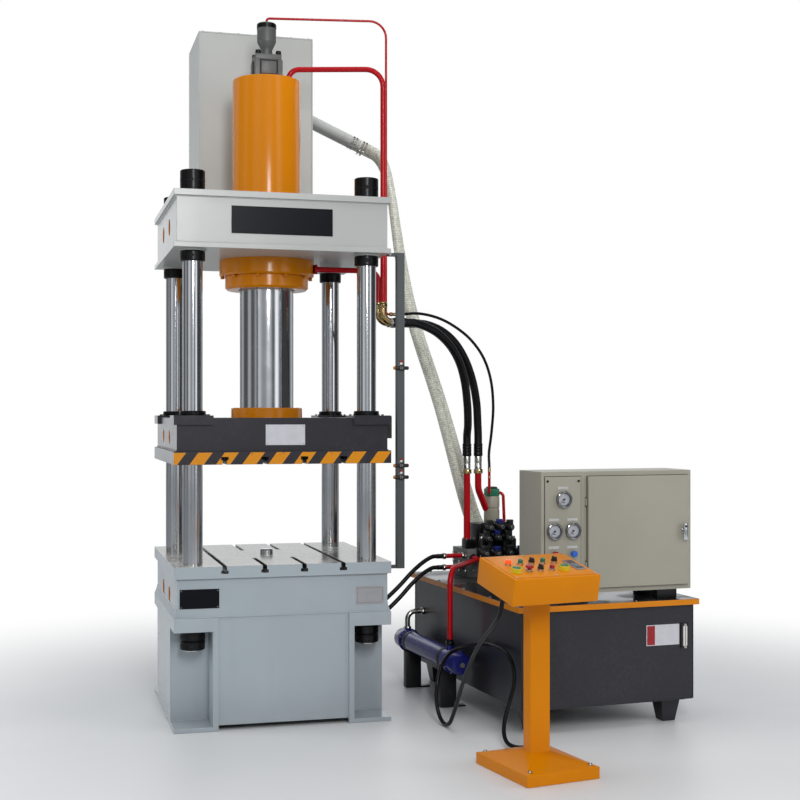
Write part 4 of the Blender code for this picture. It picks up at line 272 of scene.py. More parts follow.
def bent(corners, bends, steps=8):
    """Round the corners of a pipe's route, each with its own bend radius."""
    points = [Vector(corners[0])]
    for before, corner, after, bend in zip(corners, corners[1:], corners[2:], bends):
        corner = Vector(corner)
        back = (Vector(before) - corner).normalized()
        ahead = (Vector(after) - corner).normalized()
        half = back.angle(ahead) / 2
        centre = corner + (back + ahead).normalized() * bend / math.sin(half)
        run = bend / math.tan(half)
        start = corner + back * run - centre
        end = corner + ahead * run - centre
        axis = start.cross(end).normalized()
        sweep = start.angle(end)
        points += [centre + Matrix.Rotation(sweep * i / steps, 3, axis) @ start
                   for i in range(steps + 1)]
    points.append(Vector(corners[-1]))
    return points


print("The helpers are ready.")

# %% [markdown]
# ## Shader maths in plain Python
#
# A procedural finish is mostly arithmetic: this much noise, times that mask, plus a base value.
# The class below wraps a node's output, so that `1 - mask` or `noise * 0.3` adds the Math node it
# stands for. `Finish` owns a material and makes every other node with one method.

# %% Sockets that do arithmetic
class Value:
    def __init__(self, finish, socket):
        self.finish = finish
        self.socket = socket

    def maths(self, operation, *others):
        return self.finish.maths(operation, self, *others)

    def __add__(self, other):
        return self.maths("ADD", other)

    __radd__ = __add__

    def __sub__(self, other):
        return self.maths("SUBTRACT", other)

    def __rsub__(self, other):
        return self.finish.maths("SUBTRACT", other, self)

    def __mul__(self, other):
        return self.maths("MULTIPLY", other)

    __rmul__ = __mul__

    def __truediv__(self, other):
        return self.maths("DIVIDE", other)

    def __gt__(self, other):
        return self.maths("GREATER_THAN", other)

    def __lt__(self, other):
        return self.maths("LESS_THAN", other)


class Finish:
    """A material under construction."""

    def __init__(self, name):
        self.material = bpy.data.materials.new(name)
        self.material.use_nodes = True
        self.tree = self.material.node_tree
        self.shader = self.tree.nodes["Principled BSDF"]
        place = self.node("ShaderNodeTexCoord")
        self.place = place.outputs["Object"]
        split = self.node("ShaderNodeSeparateXYZ", inputs={"Vector": self.place})
        self.x, self.y, self.z = (Value(self, split.outputs[i]) for i in range(3))

    def node(self, kind, settings=None, inputs=None):
        made = self.tree.nodes.new(kind)
        for key, value in (settings or {}).items():
            setattr(made, key, value)
        for key, value in (inputs or {}).items():
            self.feed(made.inputs[key], value)
        return made

    def feed(self, socket, value):
        if isinstance(value, Value):
            value = value.socket
        if isinstance(value, bpy.types.NodeSocket):
            self.tree.links.new(value, socket)
        else:
            socket.default_value = value

    def maths(self, operation, *values):
        node = self.node("ShaderNodeMath", {"operation": operation})
        for socket, value in zip(node.inputs, values):
            self.feed(socket, value)
        return Value(self, node.outputs[0])

    def scaled_place(self, x, y, z):
        node = self.node("ShaderNodeMapping", inputs={"Vector": self.place, "Scale": (x, y, z)})
        return node.outputs[0]

    def noise(self, scale, detail=2.0, rough=0.5, place=None):
        node = self.node("ShaderNodeTexNoise", inputs={
            "Vector": place or self.place, "Scale": scale, "Detail": detail, "Roughness": rough})
        return Value(self, node.outputs["Fac"])

    def between(self, value, low, high):
        """A smooth 0 to 1 as a value goes from low to high."""
        node = self.node("ShaderNodeMapRange", {"interpolation_type": "SMOOTHSTEP"}, {
            "Value": value, "From Min": low, "From Max": high, "To Min": 0.0, "To Max": 1.0})
        return Value(self, node.outputs[0])

    def mix(self, share, first, second):
        node = self.node("ShaderNodeMix", {"data_type": "RGBA"})
        self.feed(node.inputs["Factor"], share)
        self.feed(node.inputs["A"], first if not isinstance(first, tuple) else (*first, 1.0))
        self.feed(node.inputs["B"], second if not isinstance(second, tuple) else (*second, 1.0))
        return node.outputs["Result"]

    def bump(self, height, strength, distance=0.001):
        node = self.node("ShaderNodeBump", inputs={
            "Height": height, "Strength": strength, "Distance": distance})
        self.feed(self.shader.inputs["Normal"], node.outputs[0])

    def set(self, **sockets):
        for key, value in sockets.items():
            name = key.replace("_", " ").title().replace("Ior", "IOR")
            if isinstance(value, tuple) and len(value) == 3:
                value = (*value, 1.0)
            self.feed(self.shader.inputs[name], value)

    def stencil(self, share, colour):
        """Spray a colour over a share of the paint that is already there."""
        painted = self.shader.inputs["Base Color"].links[0].from_socket
        self.set(base_color=self.mix(share, painted, colour))


def toned(colour, share):
    """A colour made darker by a share below one, or lighter by one above it."""
    return tuple(min(1.0, c * share) for c in colour)


print("The shader helpers are ready.")

# %% [markdown]
# ## Sprayed paint
#
# Nearly every plate of the press is sprayed with thick gloss enamel. Such paint is never one
# colour: it is a shade darker where it ran thin, dust settles in it, and its skin has the fine
# dimples that painters call orange peel. The dimples are a small bump, and a second, much wider
# bump bends reflections the way thick plate that was welded does.

# %% A paint with peel, dust and soft waves
def paint(name, colour, rough=0.28, peel=0.10, waves=0.12, dust=0.06, coat=0.15, specular=0.40):
    finish = Finish(name)
    cloud = finish.noise(1.6, 3.0, 0.55)
    speck = finish.noise(55.0, 4.0, 0.6)
    tone = finish.mix(finish.between(cloud, 0.35, 0.7), toned(colour, 0.95),
                      toned(colour, 1.04))
    dusty = finish.between(speck * 0.5 + cloud * 0.5, 0.50, 0.72) * dust
    grey = sum(colour) / 3
    pale = tuple(0.6 * c + 0.4 * (0.25 + 0.5 * grey) for c in colour)
    tone = finish.mix(dusty, tone, pale)
    finish.set(base_color=tone, roughness=rough + (speck - 0.5) * 0.10 + dusty * 0.35,
               coat_weight=coat, coat_roughness=0.12, specular_ior_level=specular)
    finish.bump(finish.noise(420.0, 1.0) * peel + finish.noise(5.0, 1.0) * waves * 6.0,
                0.35, 0.0008)
    return finish


CROWN_GREY = (0.445, 0.458, 0.445)
BASE_GREY = (0.375, 0.43, 0.465)
ORANGE = (0.62, 0.200, 0.0008)
CHARCOAL = (0.021, 0.020, 0.026)

crown_paint = paint("crown_paint", CROWN_GREY, rough=0.30).material
pedestal_paint = paint("pedestal_paint", ORANGE, rough=0.30, dust=0.0, coat=0.04,
                       specular=0.12).material
rail_paint = paint("rail_paint", (0.070, 0.078, 0.082), rough=0.40, dust=0.03, coat=0.0).material
tank_paint = paint("prefill_tank_paint", toned(CROWN_GREY, 1.04), rough=0.38, coat=0.0,
                   specular=0.12).material
orange_paint = paint("orange_paint", ORANGE, rough=0.20, dust=0.02, coat=0.26,
                     specular=0.25).material
charcoal_paint = paint("charcoal_paint", CHARCOAL, rough=0.32, dust=0.10, peel=0.30,
                       specular=0.30).material
cabinet_paint = paint("cabinet_paint", (0.33, 0.315, 0.258), rough=0.38, peel=0.3,
                      coat=0.05).material
panel_paint = paint("panel_paint", (0.315, 0.303, 0.248), rough=0.40, peel=0.3,
                    coat=0.05).material
cooler_paint = paint("cooler_paint", (0.006, 0.010, 0.150), rough=0.24).material
motor_paint = paint("motor_paint", (0.045, 0.11, 0.17), rough=0.36).material
pipe_paint = paint("pipe_paint", (0.42, 0.003, 0.008), rough=0.22, peel=0.02, waves=0.0,
                   dust=0.0, coat=0.06, specular=0.22).material
print("Eleven paints are mixed.")

# %% [markdown]
# ## The base's paint, with a working life
#
# The base stands on the floor, where boots, oil and sweeping reach it. Its blue-grey enamel gets
# darker towards the floor, and vertical streaks of oil run from the table's edge.

# %% Paint of the base
def base_finish():
    finish = paint("base_paint", BASE_GREY, rough=0.22, coat=0.25, dust=0.03)
    streaks = finish.noise(9.0, 3.0, 0.6, finish.scaled_place(1.0, 1.0, 0.12))
    low = 1 - finish.between(finish.z, 0.0, 0.30)
    soil = finish.maths("MINIMUM", finish.between(streaks, 0.55, 0.85) * 0.10 + low * 0.22, 0.5)
    finish.stencil(soil, (0.14, 0.15, 0.155))
    return finish.material


base_paint = base_finish()
print("The base's paint is mixed.")

# %% [markdown]
# ## Charcoal paint with hazard stripes
#
# The slide's lower plate wears slanting orange stripes on its front edge, painted through a
# stencil. A stripe is a place along X, shifted with height so that it leans, and cut into equal
# shares of one pitch. The stencil covers only the front edge between two heights.

# %% Paint of the slide
def slide_finish():
    finish = paint("slide_paint", CHARCOAL, rough=0.30, dust=0.10, peel=0.30, specular=0.35)
    centre = PRESS.translation
    bottom = SLIDE_BOTTOM + 0.001
    top = SLIDE_BOTTOM + 0.060
    lean = 0.74
    pitch = 0.130
    coloured = 0.54
    along = finish.x - (centre.x - 0.360) - (finish.z - top) * lean
    share = finish.maths("FRACT", along / pitch + 20.0)
    stripe = share > 1 - coloured
    front = finish.y < centre.y - PLATE_HALF + 0.0022
    zone = (finish.z < top) * (finish.z > bottom)
    scuff = 1 - finish.between(finish.noise(26.0, 4.0, 0.7), 0.62, 0.76) * 0.6
    finish.stencil(stripe * front * zone * scuff, (0.66, 0.245, 0.002))
    return finish.material


slide_paint = slide_finish()
print("The slide's stripes are stencilled.")

# %% [markdown]
# ## Plated and blackened steel
#
# Hard chrome on the columns and the ram is a mirror with the faintest turned rings, which a
# noise squeezed along Z gives. Zinc on fittings is a soft grey metal, and yellow zinc looks like
# brass. Black oxide on the nuts is a dark skin that still shows metal at a glance.

# %% Metals
def chrome_finish(name="hard_chrome", depth=1.0):
    finish = Finish(name)
    rings = finish.noise(90.0, 2.0, 0.5, finish.scaled_place(0.02, 0.02, 1.0))
    haze = finish.noise(7.0, 3.0, 0.6)
    tone = finish.mix(haze, toned((0.56, 0.575, 0.60), depth),
                      toned((0.66, 0.675, 0.695), depth))
    finish.set(base_color=tone, metallic=1.0,
               roughness=0.10 + finish.between(haze, 0.45, 0.8) * 0.06 + rings * 0.03)
    finish.bump(rings, 0.03, 0.0002)
    return finish.material


def oxide_finish(name, colour, rough, metallic=0.7, worn=0.5):
    finish = Finish(name)
    grain = finish.noise(120.0, 3.0, 0.6)
    wear = finish.between(finish.noise(18.0, 4.0, 0.65), 0.58, 0.75)
    tone = finish.mix(wear * worn, colour, toned(colour, 3.0))
    finish.set(base_color=tone, metallic=metallic, roughness=rough + (grain - 0.5) * 0.4 * worn)
    finish.bump(grain, 0.20 * worn, 0.0003)
    return finish.material


hard_chrome = chrome_finish()
zinc = oxide_finish("zinc_plate", (0.50, 0.49, 0.46), 0.26, 1.0, 0.15)
brass = oxide_finish("yellow_zinc", (0.46, 0.33, 0.15), 0.20, 1.0, 0.12)
black_oxide = oxide_finish("black_oxide", (0.010, 0.010, 0.011), 0.30)
black_iron = oxide_finish("black_iron", (0.016, 0.016, 0.018), 0.42, 0.5)
valve_steel = oxide_finish("valve_steel", (0.105, 0.108, 0.104), 0.46, 0.25)
bright_chrome = chrome_finish("bright_chrome")
gauge_chrome = chrome_finish("gauge_chrome", 0.45)
print("The metals are ready.")

# %% [markdown]
# ## Plastics and the lamp
#
# Buttons and knobs are glossy moulded plastic with a soft skin, and the blank plates and labels
# get the same finish. The lamp is lit, so it gives a little light.

# %% Plastics and the lamp
def plastic(name, colour, rough=0.32, grain=0.10, specular=0.5):
    finish = Finish(name)
    skin = finish.noise(300.0, 2.0)
    cloud = finish.noise(30.0, 2.0)
    finish.set(base_color=finish.mix(cloud, toned(colour, 0.88), toned(colour, 1.08)),
               roughness=rough + (skin - 0.5) * 0.12, specular_ior_level=specular)
    finish.bump(skin, grain, 0.0002)
    return finish.material


green_plastic = plastic("green_plastic", (0.008, 0.15, 0.075))
red_plastic = plastic("red_plastic", (0.30, 0.005, 0.009), 0.25)
blue_plastic = plastic("blue_plastic", (0.02, 0.12, 0.52), 0.25)
black_plastic = plastic("black_plastic", (0.012, 0.012, 0.013), 0.38)
yellow_plastic = plastic("yellow_plastic", (0.60, 0.45, 0.01), 0.30)
blue_plug = plastic("blue_plug", (0.010, 0.018, 0.17), 0.34)
dial_white = plastic("dial_white", (0.40, 0.41, 0.45), 0.30)
label_card = plastic("label_card", (0.47, 0.47, 0.46), 0.45)
plate_white = plastic("plate_white", (0.56, 0.56, 0.60), 0.30)
plate_grey = plastic("plate_grey", (0.33, 0.34, 0.36), 0.35)
plate_edge = plastic("plate_edge", (0.26, 0.14, 0.14), 0.40)
black_enamel = plastic("black_enamel", (0.004, 0.005, 0.008), 0.30, 0.0, specular=0.1)
white_plastic = plastic("white_plastic", (0.74, 0.74, 0.72), 0.34)
grey_plastic = plastic("grey_plastic", (0.24, 0.25, 0.27), 0.36)
tan_plastic = plastic("tan_cast_housing", (0.30, 0.28, 0.22), 0.40, 0.3)
# Near-black matte for the holes and grooves of the nuts: painted shade that stands for their depth.
painted_hollow_shade = plastic("painted_hollow_shade", (0.004, 0.004, 0.004), 0.8)


def lamp_finish():
    finish = Finish("lit_lamp")
    facets = finish.noise(240.0, 1.0)
    glow = finish.mix(facets, (1.0, 0.035, 0.002), (1.0, 0.085, 0.004))
    finish.set(base_color=(0.5, 0.03, 0.003), emission_color=glow, emission_strength=1.25,
               roughness=0.25)
    return finish.material


lit_lamp = lamp_finish()
print("The plastics are ready.")

# %% [markdown]
# ## Finishes of the hoses
#
# A pattern on a hose has to follow the hose, so these finishes read an attribute that each hose
# carries: its length so far, in metres, and the angle round it. The rubber cover keeps the print
# of the cloth wrap, a shallow spiral. The clear hoses show the steel wire that is wound in them.

# %% Rubber and clear hose
def hose_finish(name, colour, wire, pitch, rough, sparkle=0.0):
    finish = Finish(name)
    along, around = (Value(finish, finish.node("ShaderNodeAttribute",
                                               {"attribute_name": layer}).outputs["Fac"])
                     for layer in ("along", "around"))
    spiral = finish.maths("FRACT", along / pitch + around + 1.0)
    wave = finish.maths("ABSOLUTE", spiral * 2.0 - 1.0)
    turn_of_wire = 1 - finish.between(wave, 0.10, 0.42)
    cloud = finish.noise(14.0, 3.0)
    body = finish.mix(cloud, toned(colour, 0.80), toned(colour, 1.15))
    if sparkle:
        grains = finish.between(finish.noise(95.0, 2.0, 0.7), 0.42, 0.62) * sparkle
        body = finish.mix(grains, body, toned(colour, 0.42))
    finish.set(base_color=finish.mix(turn_of_wire * 0.7, body, wire),
               roughness=rough + (cloud - 0.5) * 0.15)
    finish.bump(turn_of_wire, 0.45 if sparkle else 0.20, 0.0012)
    if not sparkle:
        finish.set(specular_ior_level=0.20)
    return finish.material


rubber = hose_finish("rubber_hose", (0.007, 0.007, 0.008), (0.012, 0.012, 0.013), 0.011, 0.27)
thin_rubber = hose_finish("thin_rubber_hose", (0.005, 0.005, 0.006), (0.008, 0.008, 0.009),
                          0.006, 0.24)
clear_hose = hose_finish("wire_wound_hose", (0.80, 0.80, 0.70), (0.40, 0.40, 0.325), 0.0125, 0.16,
                         sparkle=0.65)
print("The hoses have their finishes.")

# %% [markdown]
# ## Eight hoses and cables
#
# A hose leaves its fitting square to the face, bends under its own weight, and enters the next
# fitting square again. It stops a hair short of each face, so that the two never share a plane.
# Its route is a smooth curve through a few points. A ring of edges is drawn at the start and
# extruded along the curve from one frame to the next, and every vertex notes how far along the
# hose it lies.

# %% Hoses
FACE_GAP = 0.0003


def smooth_route(route, spacing):
    """Points of a Catmull-Rom curve through a route, whose first and last legs stay straight."""
    fine = []
    for a, b, c, d in zip(route, route[1:], route[2:], route[3:]):
        for i in range(16):
            t = i / 16
            fine.append(0.5 * (2 * b + (c - a) * t + (2 * a - 5 * b + 4 * c - d) * t ** 2
                               + (3 * b - a - 3 * c + d) * t ** 3))
    fine = [route[0]] + fine + [route[-2], route[-1]]
    lengths = [0.0]
    for a, b in zip(fine, fine[1:]):
        lengths.append(lengths[-1] + (b - a).length)
    count = round(lengths[-1] / spacing)
    points = []
    index = 0
    for i in range(count + 1):
        target = lengths[-1] * i / count
        while index < len(fine) - 2 and lengths[index + 1] < target:
            index += 1
        span = max(lengths[index + 1] - lengths[index], 1e-9)
        points.append(fine[index].lerp(fine[index + 1], (target - lengths[index]) / span))
    return points


def tube(points, diameter, sides=24):
    """Extrude a ring along the points, and note on every vertex how far along it lies."""
    part = bmesh.new()
    along = part.verts.layers.float.new("along")
    around = part.verts.layers.float.new("around")
    heading = (points[1] - points[0]).normalized()
    rotation = heading.to_track_quat("Z", "Y").to_matrix()
    start = Matrix.Translation(points[0]) @ rotation.to_4x4()
    ring = bmesh.ops.create_circle(part, cap_ends=True, segments=sides, radius=diameter / 2,
                                   matrix=start)["verts"]
    for i, vertex in enumerate(ring):
        vertex[around] = i / sides
    edges = list(part.edges)
    reach = 0.0
    for i in range(1, len(points)):
        step = points[i] - points[i - 1]
        reach += step.length
        after = points[i + 1] - points[i] if i + 1 < len(points) else step
        turned_to = (step.normalized() + after.normalized()).normalized()
        swing = heading.rotation_difference(turned_to).to_matrix().to_4x4()
        heading = turned_to
        made = bmesh.ops.extrude_edge_only(part, edges=edges)["geom"]
        verts = [item for item in made if isinstance(item, bmesh.types.BMVert)]
        edges = [item for item in made if isinstance(item, bmesh.types.BMEdge)]
        move = Matrix.Translation(points[i]) @ swing @ Matrix.Translation(-points[i - 1])
        bmesh.ops.transform(part, matrix=move, verts=verts)
        for vertex in verts:
            vertex[along] = reach
    bmesh.ops.edgeloop_fill(part, edges=edges)
    bmesh.ops.recalc_face_normals(part, faces=part.faces)
    return part, reach


def hose(name, node, start, middle, end, diameter, finish):
    route = []
    for place in (start, end):
        face = place.translation
        out = (place.to_3x3() @ Vector((0, 0, 1))).normalized()
        lead = [face + out * FACE_GAP, face + out * (FACE_GAP + 2.4 * diameter)]
        if route:
            route += [PRESS @ Vector(point) for point in middle] + lead[::-1]
        else:
            route = lead
    points = smooth_route(route, diameter * 0.30)
    part, length = tube(points, diameter)
    made = finish_piece(name, part, "frame", [finish], (node,))
    print("%s is %.2f m long and %.0f mm thick." % (name, length, diameter * 1000))


MAIN_HOSE, PILOT_HOSE, FILL_HOSE, SIDE_HOSE = 0.046, 0.016, 0.052, 0.024
ELBOW_END = 0.672
PRESSURE_Y, RETURN_Y, PILOT_Y = -0.140, -0.085, -0.112
MAIN_LEVEL, PILOT_LEVEL = 2.062, 2.108
PRESSURE_ELBOW = PRESS @ at(ELBOW_END, PRESSURE_Y, MAIN_LEVEL) @ RIGHT
RETURN_ELBOW = PRESS @ at(ELBOW_END, RETURN_Y, MAIN_LEVEL) @ RIGHT
PILOT_ELBOW = PRESS @ at(ELBOW_END, PILOT_Y, PILOT_LEVEL) @ RIGHT
RISER_Y = 1.255
RISERS = [UNIT @ at(x, RISER_Y, z) for x, z in ((0.221, 1.325), (0.291, 1.325), (0.361, 1.230))]
SLOPE = Vector((0.314, 0, -0.138)).to_track_quat("Z", "Y").to_matrix().to_4x4()
OUTLETS = [PRESS @ at(0.631, y, 3.152) @ SLOPE for y in (0.500, 0.585)]
SPIGOTS = [UNIT @ at(x, 1.470, 0.6293 + 0.060) for x in (0.385, 0.455)]
STUB_LEVELS = (0.752, 0.688)
STUBS = [UNIT @ at(0.060, 1.225, z) @ LEFT for z in STUB_LEVELS]
PORTS = [PRESS @ at(0.580, 0.140, z) @ RIGHT for z in (0.500, 0.430)]
BOX_GLAND = PANEL @ at(0.105, 0.260, -0.138) @ DOWN
CABINET_GLAND = UNIT @ at(0.102, 0.160, 0.790) @ LEFT

hose("pressure_hose_cover", "pressure_hose", PRESSURE_ELBOW,
     [(0.870, -0.106, 2.042), (0.950, -0.070, 2.006), (1.032, -0.022, 1.943),
      (1.102, 0.034, 1.855), (1.152, 0.092, 1.745), (1.184, 0.144, 1.620), (1.200, 0.182, 1.510)],
     RISERS[0], MAIN_HOSE, rubber)
hose("return_hose_cover", "return_hose", RETURN_ELBOW,
     [(0.880, -0.052, 2.060), (0.985, -0.008, 2.028), (1.080, 0.046, 1.965),
      (1.160, 0.104, 1.870), (1.220, 0.158, 1.755), (1.258, 0.200, 1.630), (1.273, 0.224, 1.510)],
     RISERS[1], MAIN_HOSE, rubber)
hose("pilot_hose_cover", "pilot_hose", PILOT_ELBOW,
     [(0.830, -0.078, 2.118), (0.960, -0.020, 2.100), (1.080, 0.040, 2.055),
      (1.190, 0.090, 1.985), (1.280, 0.135, 1.885), (1.338, 0.178, 1.760),
      (1.364, 0.212, 1.610), (1.362, 0.236, 1.460), (1.350, 0.246, 1.340)],
     RISERS[2], PILOT_HOSE, thin_rubber)
hose("fill_hose_front_wall", "fill_hose_front", OUTLETS[0],
     [(0.792, 0.490, 3.010), (0.822, 0.480, 2.860), (0.844, 0.470, 2.670),
      (0.866, 0.464, 2.490), (0.895, 0.460, 2.310), (0.935, 0.457, 2.130),
      (0.990, 0.455, 1.950), (1.052, 0.454, 1.770), (1.110, 0.453, 1.590),
      (1.160, 0.452, 1.410), (1.208, 0.451, 1.230), (1.255, 0.450, 1.060), (1.300, 0.448, 0.925)],
     SPIGOTS[0], FILL_HOSE, clear_hose)
hose("fill_hose_back_wall", "fill_hose_back", OUTLETS[1],
     [(0.806, 0.577, 3.014), (0.846, 0.565, 2.865), (0.874, 0.550, 2.675),
      (0.901, 0.538, 2.500), (0.934, 0.527, 2.320), (0.977, 0.519, 2.140),
      (1.034, 0.513, 1.960), (1.097, 0.509, 1.780), (1.157, 0.506, 1.600),
      (1.212, 0.503, 1.420), (1.264, 0.499, 1.240), (1.315, 0.492, 1.070), (1.362, 0.482, 0.930)],
     SPIGOTS[1], FILL_HOSE, clear_hose)
hose("ejector_hose_upper_cover", "ejector_hose_upper", STUBS[0],
     [(0.925, 0.163, 0.722), (0.855, 0.152, 0.668), (0.790, 0.145, 0.604),
      (0.728, 0.141, 0.548), (0.682, 0.140, 0.512)],
     PORTS[0], SIDE_HOSE, thin_rubber)
hose("ejector_hose_lower_cover", "ejector_hose_lower", STUBS[1],
     [(0.925, 0.163, 0.658), (0.855, 0.152, 0.602), (0.790, 0.145, 0.536),
      (0.728, 0.141, 0.479), (0.682, 0.140, 0.442)],
     PORTS[1], SIDE_HOSE, thin_rubber)
CABLE_ROUTE = [
    (0.767, -1.602, 0.694), (0.765, -1.535, 0.634), (0.766, -1.330, 0.512), (0.771, -1.180, 0.404),
    (0.780, -1.020, 0.266), (0.787, -0.905, 0.147), (0.787, -0.840, 0.073), (0.783, -0.800, 0.030),
    (0.776, -0.750, 0.013), (0.768, -0.702, 0.029), (0.761, -0.671, 0.070), (0.757, -0.660, 0.126),
    (0.763, -0.653, 0.196), (0.790, -0.622, 0.270), (0.838, -0.576, 0.320), (0.898, -0.545, 0.347),
    (0.958, -0.558, 0.366), (1.003, -0.615, 0.382), (1.021, -0.715, 0.396), (1.028, -0.830, 0.400),
    (1.034, -0.930, 0.388), (1.035, -1.000, 0.360), (1.030, -1.055, 0.318), (1.016, -1.090, 0.266),
    (0.992, -1.115, 0.211), (0.966, -1.133, 0.152), (0.944, -1.156, 0.098), (0.930, -1.191, 0.055),
    (0.930, -1.234, 0.026), (0.950, -1.271, 0.014), (0.991, -1.293, 0.012), (1.040, -1.286, 0.012),
    (1.083, -1.249, 0.021), (1.116, -1.193, 0.050), (1.130, -1.150, 0.104), (1.136, -1.118, 0.200),
    (1.135, -1.104, 0.320), (1.131, -1.101, 0.440), (1.124, -1.099, 0.560), (1.110, -1.090, 0.655),
    (1.080, -1.067, 0.728), (1.040, -1.030, 0.770), (1.011, -0.983, 0.786), (1.012, -0.935, 0.790),
    (1.040, -0.897, 0.790), (1.076, -0.883, 0.790)]
hose("pedestal_cable_sheath", "pedestal_cable", BOX_GLAND, CABLE_ROUTE, CABINET_GLAND, 0.020,
     thin_rubber)

# %% [markdown]
# ## Weld beads and plates
#
# The weldments are plates joined by fillet welds, and the paint leaves each bead visible as a
# rippled line in the corner. A bead is a thin swept bar whose thickness swells and shrinks every
# few millimetres. A rating plate is a thin sheet with four rivets; it is left blank here.

# %% A weld bead and a riveted plate
def bead(start, end, radius=0.0035, pitch=0.007):
    start, end = Vector(start), Vector(end)
    count = max(4, round((end - start).length / pitch))
    points = [start.lerp(end, i / count) for i in range(count + 1)]
    part = swept(points, radius, 1)
    along = (end - start).normalized()
    for vertex in part.verts:
        reach = (vertex.co - start).dot(along)
        axis = start + along * reach
        swell = 1 + 0.16 * math.sin(reach / pitch * 2.9) + 0.08 * math.sin(reach / pitch * 1.3)
        vertex.co = axis + (vertex.co - axis) * swell
    return part


def riveted_plate(piece, width, height, place, finish, rivet, thick=0.0012, inset=0.008):
    """A thin plate in the place's XZ plane, facing -Y, with a rivet in each corner."""
    add(piece, block(width, height, thick, 0.0004, 1), place @ FRONT, finish)
    for spot in corners_of(width / 2 - inset, height / 2 - inset, thick):
        add(piece, turned([(0.0026, 0), (0.0022, 0.0008), (0.0012, 0.0013), (0, 0.0014)], 12),
            place @ FRONT @ spot, rivet)


print("Beads and plates can be made.")

# %% [markdown]
# ## The base
#
# The base is a welded box on two foot rails, open at its four lower corners, where the column
# nuts sit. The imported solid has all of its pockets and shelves, so it only needs rounded edges.
# Beads, the blank rating plates and the painted inside behind the round side holes are added.
# The crown and the slide have such holes too, so one function makes them all.

# %% Base and table
def side_holes(piece, reach, height, profile):
    """An orange pocket with a rolled rim behind each of the two round holes in either side."""
    for side in (-1, 1):
        for y in (-0.16, 0.16):
            place = PRESS @ at(side * reach, y, height) @ (RIGHT if side > 0 else LEFT)
            add(piece, turned(profile, 40), place, 1)


base = dressed("base_weldment", "base_frame", "frame", base_paint, 0.0025, 2)

trim = bmesh.new()
for side in (-1, 1):
    for y in (-1, 1):
        add(trim, bead((side * 0.352, y * 0.5355, 0.03), (side * 0.352, y * 0.5355, 0.485)),
            PRESS, 0)
    add(trim, bead((side * 0.536, -0.53, 0.6005), (side * 0.536, 0.53, 0.6005)), PRESS, 0)
    add(trim, bead((-0.52, side * 0.5355, 0.5605), (0.52, side * 0.5355, 0.5605)), PRESS, 0)
side_holes(trim, 0.515, 0.634, [(0, 0), (0.0435, 0), (0.0435, 0.017), (0.0405, 0.0195),
                                (0.0395, 0.0175), (0.0395, 0.001)])
riveted_plate(trim, 0.195, 0.096, PRESS @ at(-0.4225, -0.5342, 0.654), 2, 3)
riveted_plate(trim, 0.147, 0.091, PRESS @ at(0.4415, -0.5342, 0.6435), 4, 3)
for side in (-1, 1):
    line = PRESS @ at(0.4415, -0.5354, 0.6435)
    add(trim, block(0.133, 0.0018, 0.0003, 0.0001, 1), line @ at(0, 0, side * 0.0375) @ FRONT, 5)
    add(trim, block(0.0018, 0.0768, 0.0003, 0.0001, 1), line @ at(side * 0.0656, 0, 0) @ FRONT, 5)
finish_piece("base_trim", trim, "frame",
             [base_paint, orange_paint, black_enamel, zinc, plate_grey, plate_edge])


def table_finish():
    """Ground steel on top and in the slots, and the base's paint on the rim."""
    finish = Finish("ground_table_with_painted_rim")
    low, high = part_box("bolster_plate")
    skin = 0.0005
    middle = (low + high) / 2
    within = [finish.maths("ABSOLUTE", reach - centre) < half - skin
              for reach, centre, half in ((finish.x, middle.x, (high.x - low.x) / 2),
                                          (finish.y, middle.y, (high.y - low.y) / 2))]
    on_top = finish.z > high.z - skin
    bare = finish.maths("MAXIMUM", within[0] * within[1], on_top)
    lines = finish.noise(60.0, 3.0, 0.7, finish.scaled_place(8.0, 0.3, 8.0))
    # Stains on the ground steel; their pale patches also stand in for glare, as a painted
    # reflection.
    stain_and_glare = finish.between(finish.noise(3.0, 5.0, 0.65), 0.38, 0.66)
    steel = finish.mix(stain_and_glare, (0.27, 0.245, 0.205), (0.68, 0.66, 0.61))
    # Deeper in the slots the steel turns near black: painted shade.
    painted_slot_shade = finish.between(finish.z, high.z - 0.012, high.z - 0.002)
    steel = finish.mix(painted_slot_shade, (0.02, 0.02, 0.02), steel)
    finish.set(base_color=finish.mix(bare, BASE_GREY, steel), metallic=bare * 0.42,
               roughness=0.15 + bare * (0.02 + (lines - 0.5) * 0.20 + stain_and_glare * 0.10))
    finish.bump(lines * bare, 0.08, 0.0003)
    return finish.material


dressed("slotted_table", "bolster_plate", "frame", table_finish(), 0.0012, 2)
print("The base has", len(base.data.polygons), "faces before its edges are rounded.")

# %% [markdown]
# ## Columns and nuts
# A column is a long ground bar that is threaded at both ends. It is turned here from one profile,
# with more sides than the imported solid has, because a mirror finish shows every flat. Each nut is
# a black collar with a row of radial holes, in which a bar is put to tighten it. Each hole is a
# shallow cup of near-black painted shade, and a thin band of painted groove shade runs round each
# cap nut.

# %% Columns with their nuts
COLUMN, THREAD, NUT_RADIUS, WASHER = 0.050, 0.0495, 0.062, 0.068


def tommy_nut(piece, place, outer, inner, length, holes, finish, flange=0.0):
    if flange:
        add(piece, ring_nut(flange, inner, 0.006, 0.001), place, finish)
    add(piece, ring_nut(outer, inner, length, 0.004), place, finish)
    for spot in ring_of(holes, outer, 20):
        # The hole is a shallow cup whose near-black is painted shade.
        cup = turned([(0, 0.0004), (0.0075, 0.0004), (0.0085, 0.0010), (0.0095, 0.0004)], 20)
        add(piece, cup, place @ at(0, 0, length * 0.52) @ spot @ RIGHT, finish + 1)


